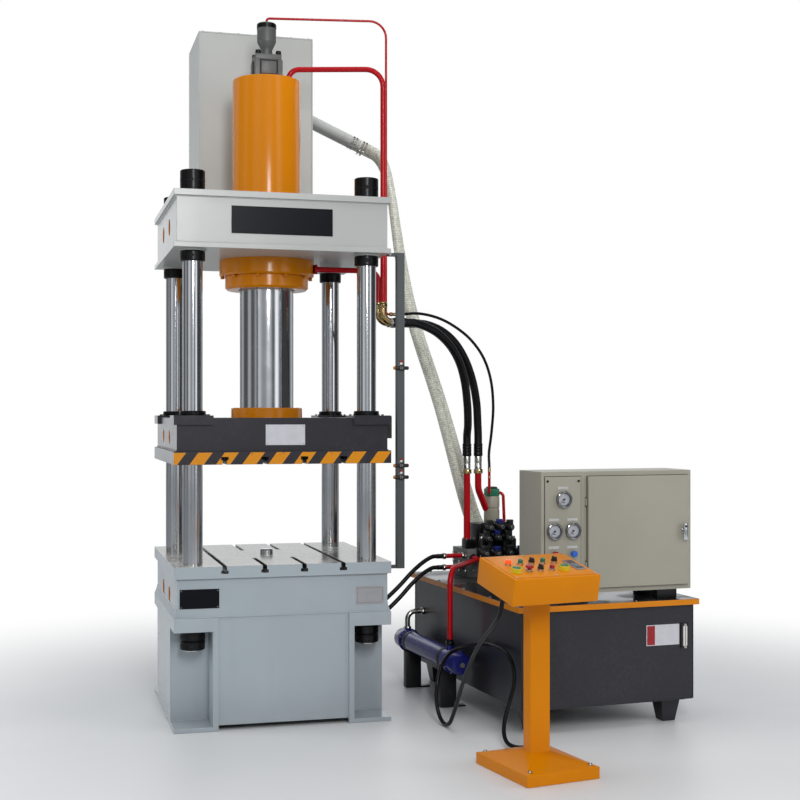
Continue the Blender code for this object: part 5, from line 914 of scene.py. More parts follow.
for (x, y), corner in zip(COLUMNS, ("front_left", "front_right", "back_left", "back_right")):
    node_low, node_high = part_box("column_" + corner)
    column = bmesh.new()
    length = node_high.z - node_low.z
    bar = turned([(0, 0), (0.046, 0), (COLUMN, 0.004), (COLUMN, length - 0.004),
                  (0.046, length), (0, length)], 96)
    foot = PRESS @ at(x, y, node_low.z)
    add(column, bar, foot, 0)
    for height in (0.30, 1.62):
        add(column, ring_nut(0.05025, THREAD, 0.0012, 0.0003, 96), foot @ at(0, 0, height), 3)
    for place, nut_length in ((foot @ at(0, 0, 0.008), 0.044), (foot @ at(0, 0, 0.053), 0.044),
                              (PRESS @ at(x, y, CROWN_BOTTOM - 0.0605), 0.052)):
        tommy_nut(column, place, NUT_RADIUS, THREAD, nut_length, 6, 1)
    add(column, ring_nut(WASHER, THREAD, 0.0078, 0.001), PRESS @ at(x, y, CROWN_BOTTOM - 0.0083),
        4)
    finish_piece("tie_column_" + corner, column, "frame",
                 [hard_chrome, black_oxide, painted_hollow_shade, zinc, crown_paint],
                 ("column_" + corner,))
    cap = bmesh.new()
    nut_foot = PRESS @ at(x, y, CROWN_TOP + 0.0004)
    tommy_nut(cap, nut_foot, NUT_RADIUS, 0.0505, 0.107, 6, 0, WASHER)
    # A thin band of painted groove shade round the cap nut.
    add(cap, ring_nut(0.0626, 0.061, 0.003, 0.0005), nut_foot @ at(0, 0, 0.052), 1)
    finish_piece("cap_nut_" + corner, cap, "frame", [black_oxide, painted_hollow_shade],
                 ("top_nut_" + corner,))
print("Four columns are turned, each %.2f m long." % length)

# %% [markdown]
# ## The crown
#
# The crown is the upper weldment that the cylinder pushes against. Two plates stand 16 mm proud
# of the box between them, with a bead in each corner. A dark name board fills the middle of its
# front; it stays blank.

# %% Crown
dressed("crown_weldment", "crown", "frame", crown_paint, 0.0022, 2)
trim = bmesh.new()
for z in (CROWN_BOTTOM + 0.0255, CROWN_TOP - 0.0325):
    for side in (-1, 1):
        add(trim, bead((-0.532, side * 0.5355, z), (0.532, side * 0.5355, z), 0.0042), PRESS, 0)
        add(trim, bead((side * 0.5355, -0.532, z), (side * 0.5355, 0.532, z), 0.0042), PRESS, 0)
side_holes(trim, 0.513, CROWN_BOTTOM + 0.144, [(0, 0), (0.0445, 0), (0.0445, 0.019),
                                               (0.0415, 0.0215), (0.0405, 0.0195),
                                               (0.0405, 0.001)])
board = PRESS @ at(-0.0085, -0.5343, 2.5305)
add(trim, block(0.513, 0.137, 0.0015, 0.0005, 1), board @ FRONT, 2)
finish_piece("crown_trim", trim, "frame",
             [crown_paint, orange_paint, black_enamel])
print("The crown spans %.3f to %.3f m." % (CROWN_BOTTOM, CROWN_TOP))

# %% [markdown]
# ## The slide
#
# The slide moves with the ram. Its slotted plate carries the hazard stripes, its body the blank
# notice plate, and on each corner a pad with a black wiper ring guides it along the column.

# %% Slide
dressed("slide_weldment", "slide", "slide_and_ram", slide_paint, 0.0022, 2)
trim = bmesh.new()
plate_top = SLIDE_BOTTOM + 0.0665
for side in (-1, 1):
    add(trim, bead((-0.53, side * 0.5358, plate_top), (0.53, side * 0.5358, plate_top), 0.0045),
        PRESS, 0)
    add(trim, bead((side * 0.5358, -0.53, plate_top), (side * 0.5358, 0.53, plate_top), 0.0045),
        PRESS, 0)
side_holes(trim, 0.516, SLIDE_BOTTOM + 0.132, [(0, 0), (0.036, 0), (0.036, 0.0165),
                                               (0.0335, 0.0185), (0.0325, 0.0165),
                                               (0.0325, 0.001)])
riveted_plate(trim, 0.1995, 0.1025, PRESS @ at(0.0058, -0.5343, 1.4612), 2, 3, inset=0.007)
for x, y in COLUMNS:
    wiper = PRESS @ at(x, y, SLIDE_BOTTOM + 0.2427)
    add(trim, ring_nut(0.0655, 0.0515, 0.0235, 0.004), wiper, 4)
    for spot in ring_of(6, 0.0865, 30):
        if abs(spot.translation.x + x) < 0.54:
            place = PRESS @ at(x, y, SLIDE_BOTTOM + 0.2432) @ spot
            add(trim, socket_screw(0.0065, 0.006), place, 4)
finish_piece("slide_trim", trim, "slide_and_ram",
             [slide_paint, orange_paint, plate_white, zinc, black_oxide])
print("The slide's table hangs at %.3f m." % SLIDE_BOTTOM)

# %% [markdown]
# ## Cylinder, gland and ram
#
# These are round, so each is one spun profile. The gland is screwed up under the cylinder's
# flange by a ring of hexagon screws, painted over with the rest. The ram's mirror is what makes
# the photograph: it shows the hall as upright bands of light and dark.

# %% Cylinder and ram
BORE, FLANGE, BARREL = 0.1465, 0.254, 0.182
flange_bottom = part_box("cylinder_barrel")[0].z
cylinder = bmesh.new()
add(cylinder, turned([(BORE, flange_bottom), (0.246, flange_bottom),
                      (FLANGE, flange_bottom + 0.008), (FLANGE, CROWN_BOTTOM - 0.0004),
                      (BARREL, CROWN_BOTTOM - 0.0004),
                      (BARREL, BARREL_TOP - 0.006), (0.180, BARREL_TOP - 0.002),
                      (0.176, BARREL_TOP), (0.046, BARREL_TOP), (0.046, BARREL_TOP - 0.045),
                      (BORE, BARREL_TOP - 0.045), (BORE, flange_bottom)], 128), PRESS, 0)
add(cylinder, turned([(0.1815, CROWN_TOP - 0.001), (0.187, CROWN_TOP + 0.0005),
                      (0.1855, CROWN_TOP + 0.004), (0.1815, CROWN_TOP + 0.006)], 128), PRESS, 0)
for spot in ring_of(10, 0.2375, 15.3 - 90):
    add(cylinder, hexagon(0.019, 0.013), PRESS @ at(0, 0, flange_bottom - 0.0133) @ spot, 0)
finish_piece("main_cylinder", cylinder, "frame", [orange_paint], ("cylinder_barrel",))

gland_low, gland_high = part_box("gland_ring")
gland = bmesh.new()
add(gland, turned([(BORE, gland_low.z), (0.150, gland_low.z), (0.212, gland_low.z),
                   (0.223, gland_low.z + 0.011), (0.223, gland_high.z), (BORE, gland_high.z),
                   (BORE, gland_low.z)], 128), PRESS, 0)
add(gland, turned([(0.1458, gland_low.z + 0.002), (0.1458, gland_low.z),
                   (0.152, gland_low.z - 0.0002), (0.152, gland_low.z + 0.002)], 96), PRESS, 1)
finish_piece("gland", gland, "frame", [orange_paint, black_plastic], ("gland_ring",))

ram_low, ram_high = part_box("ram")
ram = bmesh.new()
add(ram, turned([(0, ram_low.z), (0.145, ram_low.z), (0.145, ram_high.z - 0.012),
                 (0.133, ram_high.z), (0, ram_high.z)], 160), PRESS, 0)
finish_piece("polished_ram", ram, "slide_and_ram", [hard_chrome], ("ram",))

ring_low, ring_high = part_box("ram_flange")
foot = bmesh.new()
add(foot, turned([(0.1456, ring_low.z), (0.191, ring_low.z), (0.191, ring_high.z - 0.003),
                  (0.188, ring_high.z), (0.1456, ring_high.z), (0.1456, ring_low.z)], 128),
    PRESS, 0)
for spot in ring_of(12, 0.170, 8):
    add(foot, turned([(0, 0.0003), (0.0085, 0.0003), (0.0098, 0.0008), (0.0108, 0.0)], 20),
        PRESS @ at(0, 0, ring_high.z) @ spot, 1)
finish_piece("ram_foot_ring", foot, "slide_and_ram", [orange_paint, black_oxide],
             ("ram_flange",))
print("The ram is %.2f m long and 290 mm thick." % (ram_high.z - ram_low.z))

# %% [markdown]
# ## Prefill valve and prefill tank
#
# When the slide falls fast, the ram sucks oil straight from the tank behind it through the
# prefill valve on the cylinder's head. The valve is a ported block with a slim cast body on it.
# The tank is a tall box of folded sheet with two sloping outlets.

# %% Prefill valve and tank
valve_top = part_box("prefill_valve")[1].z
block_foot = BARREL_TOP + FACE_GAP
valve = bmesh.new()
add(valve, block(0.150, 0.150, 0.105, 0.003, 3), PRESS @ at(0, 0, block_foot), 0)
add(valve, block(0.140, 0.140, 0.0298, 0.003, 3), PRESS @ at(0, 0, block_foot + 0.1052), 0)
add(valve, turned([(0, block_foot + 0.134), (0.038, block_foot + 0.135),
                   (0.031, block_foot + 0.142), (0.031, block_foot + 0.172),
                   (0.036, block_foot + 0.182), (0.049, block_foot + 0.208),
                   (0.051, block_foot + 0.216), (0.051, valve_top - 0.029),
                   (0.052, valve_top - 0.027), (0.052, valve_top - 0.006), (0.047, valve_top),
                   (0, valve_top)], 72), PRESS, 0)
for spot in corners_of(0.055, 0.055, block_foot + 0.1348):
    add(valve, socket_screw(0.0150, 0.020), PRESS @ spot, 1)
for spot in ring_of(6, 0.0455, 15):
    add(valve, socket_screw(0.0042, 0.004), PRESS @ at(0, 0, valve_top - 0.0055) @ spot, 1)
add(valve, turned([(0.0500, valve_top - 0.0285), (0.0526, valve_top - 0.0280),
                   (0.0526, valve_top - 0.0060), (0.0500, valve_top - 0.0055)], 72),
    PRESS, 1)
# A black frame round the front plate: painted shade of the recess that the plate sits in.
add(valve, block(0.098, 0.0040, 0.082, 0.0008, 1), PRESS @ at(0, -0.0766, block_foot + 0.020), 1)
add(valve, block(0.080, 0.0030, 0.066, 0.0010, 2), PRESS @ at(0, -0.0786, block_foot + 0.028), 0)
add(valve, block(0.0060, 0.060, 0.070, 0.0015, 2), PRESS @ at(-0.0775, 0, block_foot + 0.030), 1)
add(valve, turned([(0.045, BARREL_TOP - 0.03), (0.045, block_foot + 0.001)], 48), PRESS, 0)
finish_piece("prefill_valve_body", valve, "frame", [valve_steel, black_oxide],
             ("prefill_valve",))

dressed("prefill_tank_shell", "prefill_tank", "frame", tank_paint, 0.0022, 2)
dressed("prefill_tank_cover", "prefill_cover", "frame", tank_paint, 0.0015, 2)
trim = bmesh.new()
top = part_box("prefill_tank")[1].z
for side in (-1, 1):
    for y in (0.347, 0.837):
        outward = -0.0008 if y < 0.5 else 0.0008
        add(trim, bead((side * 0.3205, y + outward, CROWN_TOP + 0.008),
                       (side * 0.3205, y + outward, top - 0.006), 0.0030), PRESS, 0)
add(trim, bead((-0.322, 0.3462, CROWN_TOP + 0.003), (0.322, 0.3462, CROWN_TOP + 0.003), 0.0040),
    PRESS, 0)
for side in (-1, 1):
    add(trim, bead((side * 0.3238, 0.348, CROWN_TOP + 0.003),
                   (side * 0.3238, 0.836, CROWN_TOP + 0.003), 0.0040), PRESS, 0)
for i in range(7):
    for y in (0.362, 0.822):
        spot = at(-0.30 + i * 0.10, y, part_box("prefill_cover")[1].z - 0.0004)
        add(trim, hexagon(0.013, 0.0044), PRESS @ spot, 1)
spout = Vector((0.308, 0, -0.138)).length
for outlet in OUTLETS:
    add(trim, turned([(0.0222, 0.001), (0.0222, -spout * 0.3), (0.0262, -spout * 0.3),
                      (0.0262, -0.002), (0.0248, 0.0004), (0.0222, 0.001)], 40), outlet, 0)
    add(trim, turned([(0.0262, -spout * 0.29), (0.0262, -spout)], 40), outlet, 0)
    add(trim, ring_nut(0.0335, 0.0255, 0.006, 0.002, 40),
        PRESS @ at(0.3215, (PRESS.inverted() @ outlet.translation).y, 3.290) @ RIGHT, 0)
    for back in (0.028, 0.046):
        add(trim, ring_nut(0.0292, 0.0255, 0.011, 0.001, 40), outlet @ at(0, 0, -back), 1)
finish_piece("prefill_tank_trim", trim, "frame", [tank_paint, zinc])
print("The prefill tank reaches %.2f m." % top)

# %% [markdown]
# ## Pipes and their fittings
#
# Three red pipes come down the right side. Each is bent steel tube, and each ends in a plated
# elbow where its hose begins. A hose is held by a ferrule that is crimped over its end.

# %% Pipes, elbows and ferrules
def ferrule(piece, place, diameter, finish, length=1.5):
    """A crimped sleeve over a hose's end. The place looks along the hose, and the length is
    counted in hose diameters."""
    radius = diameter / 2
    outer = radius * 1.14
    profile = [(radius * 0.9, -radius * 0.12), (outer * 0.94, -radius * 0.12),
               (outer, radius * 0.05)]
    for i in range(3):
        start = diameter * (0.35 + i * 0.36)
        profile += [(outer, start), (outer * 0.955, start + diameter * 0.04),
                    (outer * 0.955, start + diameter * 0.14), (outer, start + diameter * 0.18)]
    profile += [(outer, diameter * length - radius * 0.1), (outer * 0.97, diameter * length),
                (radius * 0.99, diameter * length)]
    add(piece, turned(profile, 40), place, finish)


MAIN_PIPE, PILOT_PIPE = 0.0146, 0.0064
PRESSURE_PORT, PRESSURE_X, RETURN_X, PILOT_X = 0.120, 0.612, 0.600, 0.636
crossing = BARREL_TOP + 0.075
pipe_path = bent([(PRESSURE_PORT, 0, block_foot), (PRESSURE_PORT, 0, crossing),
                  (PRESSURE_X, PRESSURE_Y, crossing), (PRESSURE_X, PRESSURE_Y, MAIN_LEVEL),
                  (ELBOW_END, PRESSURE_Y, MAIN_LEVEL)], (0.055, 0.095, 0.055))
pipe = bmesh.new()
add(pipe, swept(pipe_path, MAIN_PIPE, 7), PRESS, 0)
finish_piece("red_pressure_pipe", pipe, "frame", [pipe_paint], ("pressure_pipe",))

flange_level = flange_bottom + 0.0429
return_start = math.sqrt(FLANGE ** 2 - RETURN_Y ** 2)
pipe_path = bent([(return_start + 0.010, RETURN_Y, flange_level),
                  (RETURN_X, RETURN_Y, flange_level), (RETURN_X, RETURN_Y, MAIN_LEVEL),
                  (ELBOW_END, RETURN_Y, MAIN_LEVEL)], (0.055, 0.055))
pipe = bmesh.new()
add(pipe, swept(pipe_path, MAIN_PIPE, 7), PRESS, 0)
add(pipe, rod(0.026, 0.016, 0.002, 40),
    PRESS @ at(return_start + 0.004, RETURN_Y, flange_level) @ RIGHT, 0)
finish_piece("red_return_pipe", pipe, "frame", [pipe_paint], ("return_pipe",))

pilot_top = valve_top + 0.030
pipe_path = bent([(0, 0, valve_top + FACE_GAP), (0, 0, pilot_top), (PILOT_X, PILOT_Y, pilot_top),
                  (PILOT_X, PILOT_Y, PILOT_LEVEL), (ELBOW_END, PILOT_Y, PILOT_LEVEL)],
                 (0.015, 0.090, 0.015))
pipe = bmesh.new()
add(pipe, swept(pipe_path, PILOT_PIPE, 5), PRESS, 0)
finish_piece("red_pilot_pipe", pipe, "frame", [pipe_paint], ("pilot_pipe",))

fittings = bmesh.new()
BRASS, NUT, SLEEVE = range(3)
for x, y in ((PRESSURE_X, PRESSURE_Y), (RETURN_X, RETURN_Y)):
    curve = bent([(x, y, 2.142), (x, y, MAIN_LEVEL), (0.668, y, MAIN_LEVEL)], (0.055,))
    add(fittings, swept(curve, 0.0190, 7), PRESS, BRASS)
    add(fittings, hexagon(0.043, 0.024, 0.002), PRESS @ at(x, y, 2.140), BRASS)
    add(fittings, ring_nut(0.0195, MAIN_PIPE, 0.010, 0.002, 32), PRESS @ at(x, y, 2.163), BRASS)
for elbow in (PRESSURE_ELBOW, RETURN_ELBOW):
    add(fittings, hexagon(0.046, 0.020, 0.002), elbow @ at(0, 0, -0.022), NUT)
    ferrule(fittings, elbow, MAIN_HOSE, SLEEVE)
add(fittings, hexagon(0.021, 0.014, 0.001), PILOT_ELBOW @ at(0, 0, -0.016), BRASS)
ferrule(fittings, PILOT_ELBOW, PILOT_HOSE, BRASS, 1.8)
port = PRESS @ at(PRESSURE_PORT, 0, BARREL_TOP)
add(fittings, hexagon(0.040, 0.020, 0.002), port @ at(0, 0, 0.0002), BRASS)
add(fittings, ring_nut(0.0185, MAIN_PIPE, 0.008, 0.002, 32), port @ at(0, 0, 0.020), BRASS)
add(fittings, hexagon(0.019, 0.012, 0.001), PRESS @ at(0, 0, valve_top + 0.0002), BRASS)
for riser, diameter in zip(RISERS, (MAIN_HOSE, MAIN_HOSE, PILOT_HOSE)):
    tail = diameter * 1.74
    silver = [(diameter * 0.40, -tail), (diameter * 0.452, -tail), (diameter * 0.452, -tail * 0.62),
              (diameter * 0.43, -tail * 0.60), (diameter * 0.43, -tail * 0.55),
              (diameter * 0.462, -tail * 0.53), (diameter * 0.462, -tail * 0.08),
              (diameter * 0.42, 0)]
    add(fittings, turned(silver, 40), riser, NUT)
    add(fittings, hexagon(diameter * 1.02, diameter * 0.54, 0.001),
        riser @ at(0, 0, -tail - diameter * 0.52), BRASS)
    ferrule(fittings, riser, diameter, SLEEVE if diameter == MAIN_HOSE else BRASS)
for stub, port in zip(STUBS, PORTS):
    add(fittings, hexagon(0.034, 0.014, 0.001), stub @ at(0, 0, -0.015), NUT)
    add(fittings, hexagon(0.040, 0.014, 0.001), port @ at(0, 0, -0.016), NUT)
    ferrule(fittings, stub, SIDE_HOSE, SLEEVE)
    ferrule(fittings, port, SIDE_HOSE, SLEEVE)
for ends, lifts in ((SPIGOTS, (0.014, 0.034)), (OUTLETS, (0.016, 0.036))):
    for end in ends:
        for lift in lifts:
            add(fittings, ring_nut(0.0292, 0.0258, 0.011, 0.001, 48), end @ at(0, 0, lift), NUT)
            add(fittings, block(0.014, 0.010, 0.011, 0.001), end @ at(0, -0.032, lift), NUT)
finish_piece("hose_fittings", fittings, "frame", [brass, zinc, black_oxide])
print("Three pipes and their fittings are in place.")

# %% [markdown]
# ## Ejector, switch rail and limit switches
#
# The ejector's rod rises through the middle of the table. The rail at the right carries three
# limit switches, which the dog on the slide passes. Each has an orange sensing face.

# %% Ejector and switch rail
def wear(node, finish):
    """Give a CAD solid that stays as it is a better finish."""
    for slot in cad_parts[node].material_slots:
        slot.material = finish


wear("ejector_cylinder", black_iron)
rod_low, rod_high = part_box("ejector_rod")
ejector = bmesh.new()
add(ejector, turned([(0, rod_low.z), (0.0345, rod_low.z), (0.0345, rod_high.z - 0.004),
                     (0.0305, rod_high.z), (0, rod_high.z)], 64), PRESS, 0)
finish_piece("ejector_pin", ejector, "ejector", [hard_chrome], ("ejector_rod",))

dressed("switch_rail_beam", "switch_rail", "frame", rail_paint, 0.0015, 2)
switches = bmesh.new()
for height in (1.803, 1.299, 1.239):
    axis = PRESS @ at(0.584, -0.480, height) @ RIGHT
    add(switches, turned([(0, -0.0042), (0.0068, -0.0040), (0.0092, -0.0015), (0.0092, 0.004)], 28),
        axis, 1)
    add(switches, turned([(0.0096, 0.0035), (0.0096, 0.030)], 28), axis, 0)
    add(switches, ring_nut(0.0135, 0.0092, 0.005, 0.001, 6), axis @ at(0, 0, 0.0295), 2)
    add(switches, ring_nut(0.0135, 0.0092, 0.005, 0.001, 6), axis @ at(0, 0, 0.0400), 2)
    add(switches, turned([(0.0096, 0.046), (0.0096, 0.072), (0.0075, 0.0765), (0, 0.0765)], 28),
        axis, 0)
    add(switches, block(0.034, 0.020, 0.034, 0.002), PRESS @ at(0.621, -0.4705, height - 0.017), 0)
    knob = PRESS @ at(0.621, -0.478, height + 0.0168)
    add(switches, rod(0.0075, 0.012, 0.001, 28), knob, 3)
    add(switches, rod(0.0090, 0.009, 0.002, 28), knob @ at(0, 0, 0.0115), 4)
for z in (0.7772, 2.3885):
    add(switches, hexagon(0.013, 0.006), PRESS @ at(0.565, -0.4702, z) @ FRONT, 2)
finish_piece("limit_switches", switches, "frame",
             [black_plastic, orange_paint, zinc, white_plastic, red_plastic])
print("The rail carries three switches.")

# %% [markdown]
# ## Oil tank and lid
#
# The power unit stands on a painted steel tank. Its lid is folded down all round: the folded
# edge is orange, and the flat top is dark and wet with oil. One material does both, because the
# top is simply whatever lies above the last half millimetre of the sheet.

# %% The lid's two paints, the tank and its level gauge
LID_SHEET_TOP = LID_TOP - 0.0003


def lid_finish():
    finish = paint("lid_paint", ORANGE, rough=0.24, dust=0.03, coat=0.10, specular=0.25)
    top = finish.z > LID_SHEET_TOP - 0.0007
    puddle = finish.between(finish.noise(5.0, 4.0, 0.6), 0.45, 0.62)
    dark = finish.mix(puddle, (0.010, 0.010, 0.012), (0.035, 0.035, 0.038))
    finish.stencil(top, dark)
    finish.set(roughness=0.24 - top * 0.08 + puddle * top * 0.22)
    return finish.material


lid_paint = lid_finish()
dressed("oil_tank_shell", "oil_tank", "frame", charcoal_paint, 0.003, 3)
dressed("oil_tank_lid", "tank_lid", "frame", lid_paint, 0.0012, 2)

trim = bmesh.new()
for x in (-0.0005, 0.9515):
    for y in (-0.0005, 1.5205):
        add(trim, bead((x, y, 0.124), (x, y, 0.598), 0.0028), UNIT, 0)
add(trim, bead((0.05, -0.001, 0.122), (0.90, -0.001, 0.122), 0.0030), UNIT, 0)
sign = UNIT @ at(0.778, -0.0006, 0.452)
add(trim, block(0.188, 0.104, 0.0012, 0.0004, 1), sign @ FRONT, 1)
add(trim, block(0.044, 0.096, 0.0006, 0.0002, 1), sign @ at(-0.068, -0.0013, 0) @ FRONT, 2)
for x in (0.10, 0.36, 0.62, 0.86):
    for y in (-0.011, 1.531):
        add(trim, socket_screw(0.0065, 0.005), UNIT @ at(x, y, LID_SHEET_TOP - 0.0002), 3)
for y in (0.36, 0.72, 1.10, 1.44):
    for x in (-0.011, 0.962):
        add(trim, socket_screw(0.0065, 0.005), UNIT @ at(x, y, LID_SHEET_TOP - 0.0002), 3)
for spigot in SPIGOTS:
    add(trim, turned([(0.0262, -0.0598), (0.0262, -0.002), (0.0250, 0.0), (0.0205, 0.0),
                      (0.0205, -0.0598)], 40), spigot, 3)
    add(trim, ring_nut(0.034, 0.0255, 0.008, 0.002, 40), spigot @ at(0, 0, -0.0598), 3)
finish_piece("oil_tank_trim", trim, "frame",
             [charcoal_paint, plate_white, red_plastic, zinc])

gauge = bmesh.new()
window = UNIT @ at(0.900, -0.0004, 0.3775) @ FRONT
add(gauge, block(0.040, 0.129, 0.010, 0.003, 3), window @ at(0, 0.0645, 0), 0)
add(gauge, block(0.022, 0.100, 0.0145, 0.002, 2), window @ at(0, 0.0645, 0), 1)
add(gauge, rod(0.0055, 0.092, 0.001, 20), window @ at(0, 0.0185, 0.0105) @ turn(-90, "X"), 2)
for z in (0.0095, 0.1195):
    add(gauge, socket_screw(0.0075, 0.006), window @ at(0, z, 0.0098), 3)
finish_piece("oil_level_gauge", gauge, "frame",
             [black_plastic, white_plastic, tan_plastic, zinc], ("level_gauge",))
print("The tank's lid is at %.3f m." % LID_SHEET_TOP)

# %% [markdown]
# ## Electrical cabinet
#
# The cabinet is folded sheet on four black feet. Its door is a plain plate with a bright swing
# latch at the right, and two hinges at the left.

# %% Cabinet, door and latch
CABINET_BASE = LID_TOP + 0.046
PANEL_LEFT = 0.122
dressed("cabinet_shell", "cabinet", "frame", cabinet_paint, 0.003, 3)
leaf = dressed("door_plate", "cabinet_door", "cabinet_door", cabinet_paint, 0.0025, 3)

door_low = CABINET_BASE + 0.025
door_high = CABINET_BASE + 0.580
hardware = bmesh.new()
for z in (door_low + 0.09, door_high - 0.15):
    add(hardware, rod(0.0042, 0.046, 0.001, 20), UNIT @ at(0.3655, 0.0330, z), 3)
    for lift in (0, 0.0405):
        add(hardware, rod(0.0047, 0.0055, 0.001, 20), UNIT @ at(0.3655, 0.0330, z + lift), 0)
for x in (0.2020, 0.7720):
    for y in (0.043, 0.238):
        add(hardware, block(0.112, 0.057, 0.0448, 0.002), UNIT @ at(x + 0.055, y + 0.0275, LID_TOP),
            1)
cable_gland = UNIT @ at(PANEL_LEFT, 0.160, 0.790) @ LEFT
add(hardware, turned([(0.0165, 0), (0.0165, 0.006), (0.0135, 0.008), (0.0135, 0.020),
                      (0.0115, 0.0215), (0.0112, 0.0)], 40), cable_gland, 2)
for i in range(12):
    lip = cable_gland @ turn(30 * i, "Z") @ at(0.0138, 0, 0.009)
    add(hardware, block(0.0016, 0.003, 0.011, 0.0005, 1), lip, 2)
for x in (0.155, 0.324):
    for z in (door_low + 0.017, door_high - 0.022):
        add(hardware, socket_screw(0.0060, 0.0040), UNIT @ at(x, 0.0336, z) @ FRONT, 0)
corners = [UNIT.inverted() @ vertex.co for vertex in leaf.data.vertices]
left, right = min(c.x for c in corners), max(c.x for c in corners)
low, high = min(c.z for c in corners), max(c.z for c in corners)
# Black strips just behind the door's edge: painted shadow in the gap round the door.
door_gap_shadow = UNIT @ at((left + right) / 2, max(c.y for c in corners) - 0.0009, (low + high) / 2)
GAP_SHADOW_WIDTH = 0.009
for side in (-1, 1):
    edge = side * ((right - left) / 2 + 0.0026 - GAP_SHADOW_WIDTH / 2)
    add(hardware, block(GAP_SHADOW_WIDTH, 0.0012, high - low + 0.0052, 0.0003, 1),
        door_gap_shadow @ at(edge, 0, (low - high) / 2 - 0.0026), 2)
    edge = side * ((high - low) / 2 + 0.0026 - GAP_SHADOW_WIDTH / 2) - GAP_SHADOW_WIDTH / 2
    add(hardware, block(right - left + 0.0052 - 2 * GAP_SHADOW_WIDTH, 0.0012, GAP_SHADOW_WIDTH, 0.0003, 1),
        door_gap_shadow @ at(0, 0, edge), 2)
finish_piece("cabinet_hardware", hardware, "frame",
             [black_oxide, black_iron, black_plastic, cabinet_paint])

latch = bmesh.new()
pivot = UNIT @ at(0.908, 0.0194, door_low + 0.2775)
add(latch, rod(0.0125, 0.003, 0.001, 32), pivot @ FRONT, 0)
add(latch, rod(0.0070, 0.020, 0.001, 32), pivot @ FRONT, 0)
add(latch, block(0.0235, 0.0135, 0.0875, 0.0045, 4), pivot @ at(0, -0.021, -0.0518), 0)
add(latch, rod(0.0062, 0.002, 0.0006, 28), pivot @ at(0, -0.0275, 0.018) @ FRONT, 1)
finish_piece("door_swing_latch", latch, "door_latch", [bright_chrome, black_plastic],
             ("door_latch",))
print("The cabinet's door and latch are dressed.")

# %% [markdown]
# ## Gauges
#
# A pressure gauge is a dished case with a bright bezel and a white dial. The dial's ticks run
# three quarters of the way round, a long one at every third. The needles are CAD solids on
# joints of their own, so they only get their black.

# %% Gauge panel, gauges and adjusting knobs
panel = bmesh.new()
add(panel, block(0.195, 0.004, 0.555, 0.0012, 2), UNIT @ at(0.2395, 0.0357, door_low), 0)
# A black sheet slightly larger than the panel lies behind it: painted shadow in the gap round the
# panel.
add(panel, block(0.2005, 0.0016, 0.5605, 0.0004, 1),
    UNIT @ at(0.2395, 0.0375, door_low - 0.0028), 3)
GAUGE_FRONT = 0.0337
LEFT_X, MIDDLE_X, RIGHT_X = 0.067, 0.1175, 0.168
KNOB_LEVEL = 0.200


def on_panel(x, z):
    """A place on the gauge panel's face, looking out to the front."""
    return UNIT @ at(PANEL_LEFT + x, GAUGE_FRONT, CABINET_BASE + z) @ FRONT


for x, z in ((MIDDLE_X, 0.468), (LEFT_X, 0.312), (RIGHT_X, 0.312)):
    face = on_panel(x, z)
    add(panel, turned([(0.0375, 0), (0.0390, 0.001), (0.0390, 0.012), (0.0412, 0.0140),
                       (0.0415, 0.0175), (0.0405, 0.0205), (0.0375, 0.0222), (0.0345, 0.0215),
                       (0.0330, 0.0190), (0.0325, 0.0150), (0.0325, 0.0102)], 72), face, 1)
    add(panel, turned([(0.0326, 0.0096), (0.0326, 0.0106), (0.0305, 0.0104), (0.0305, 0.0096)],
                      72), face, 3)
    add(panel, turned([(0, 0.0098), (0.0326, 0.0098), (0.0326, 0.0090)], 72), face, 2)
    for i in range(28):
        reach = 0.0052 if i % 3 == 0 else 0.0032
        mark = face @ turn(-135 - 10 * i, "Z") @ at(0, 0.0300 - reach / 2, 0.0097)
        add(panel, block(0.0009 if i % 3 else 0.0013, reach, 0.0002, 0.00005, 1), mark, 3)
    add(panel, block(0.013, 0.0035, 0.0002, 0.00005, 1), face @ at(0, -0.014, 0.0097), 3)
for x in (LEFT_X, RIGHT_X):
    add(panel, ring_nut(0.0105, 0.0065, 0.004, 0.001, 6), on_panel(x, KNOB_LEVEL), 1)
for x, z in ((MIDDLE_X, 0.524), (LEFT_X, 0.368), (RIGHT_X, 0.368), (LEFT_X, 0.232),
             (RIGHT_X, 0.232)):
    add(panel, block(0.056, 0.013, 0.0006, 0.0002, 1), on_panel(x, z), 4)
finish_piece("gauge_plate", panel, "frame",
             [panel_paint, gauge_chrome, dial_white, black_plastic, label_card], ("gauge_panel",))
for number in (1, 2, 3):
    wear("gauge_needle_%d" % number, black_plastic)

for name, finish, slot, x in (("red_adjusting_knob", red_plastic, "red_plastic", LEFT_X),
                              ("blue_adjusting_knob", blue_plastic, "blue_plastic", RIGHT_X)):
    knob = bmesh.new()
    face = UNIT @ at(PANEL_LEFT + x, GAUGE_FRONT - FACE_GAP, CABINET_BASE + KNOB_LEVEL) @ FRONT
    add(knob, rod(0.0060, 0.012, 0.0004, 28), face, 1)
    add(knob, turned([(0.006, 0.010), (0.0132, 0.010), (0.0140, 0.011), (0.0140, 0.0325),
                      (0.0125, 0.0340), (0.006, 0.0340), (0.0052, 0.0332), (0, 0.0332)], 48),
        face, 0)
    for i in range(24):
        groove = face @ turn(15 * i, "Z") @ at(0.0139, 0, 0.0118)
        add(knob, rod(0.0010, 0.020, 0.0004, 8), groove, 0)
    finish_piece(name + "_grip", knob, name, [finish, zinc], (name,))
print("Three gauges and two knobs are on the panel.")

# %% [markdown]
# ## Valve manifold
#
# A block of steel with a smaller one on top carries ten solenoid valves, each with one coil, and
# a cartridge valve with a cast top. The hoses to the press leave it by the risers.

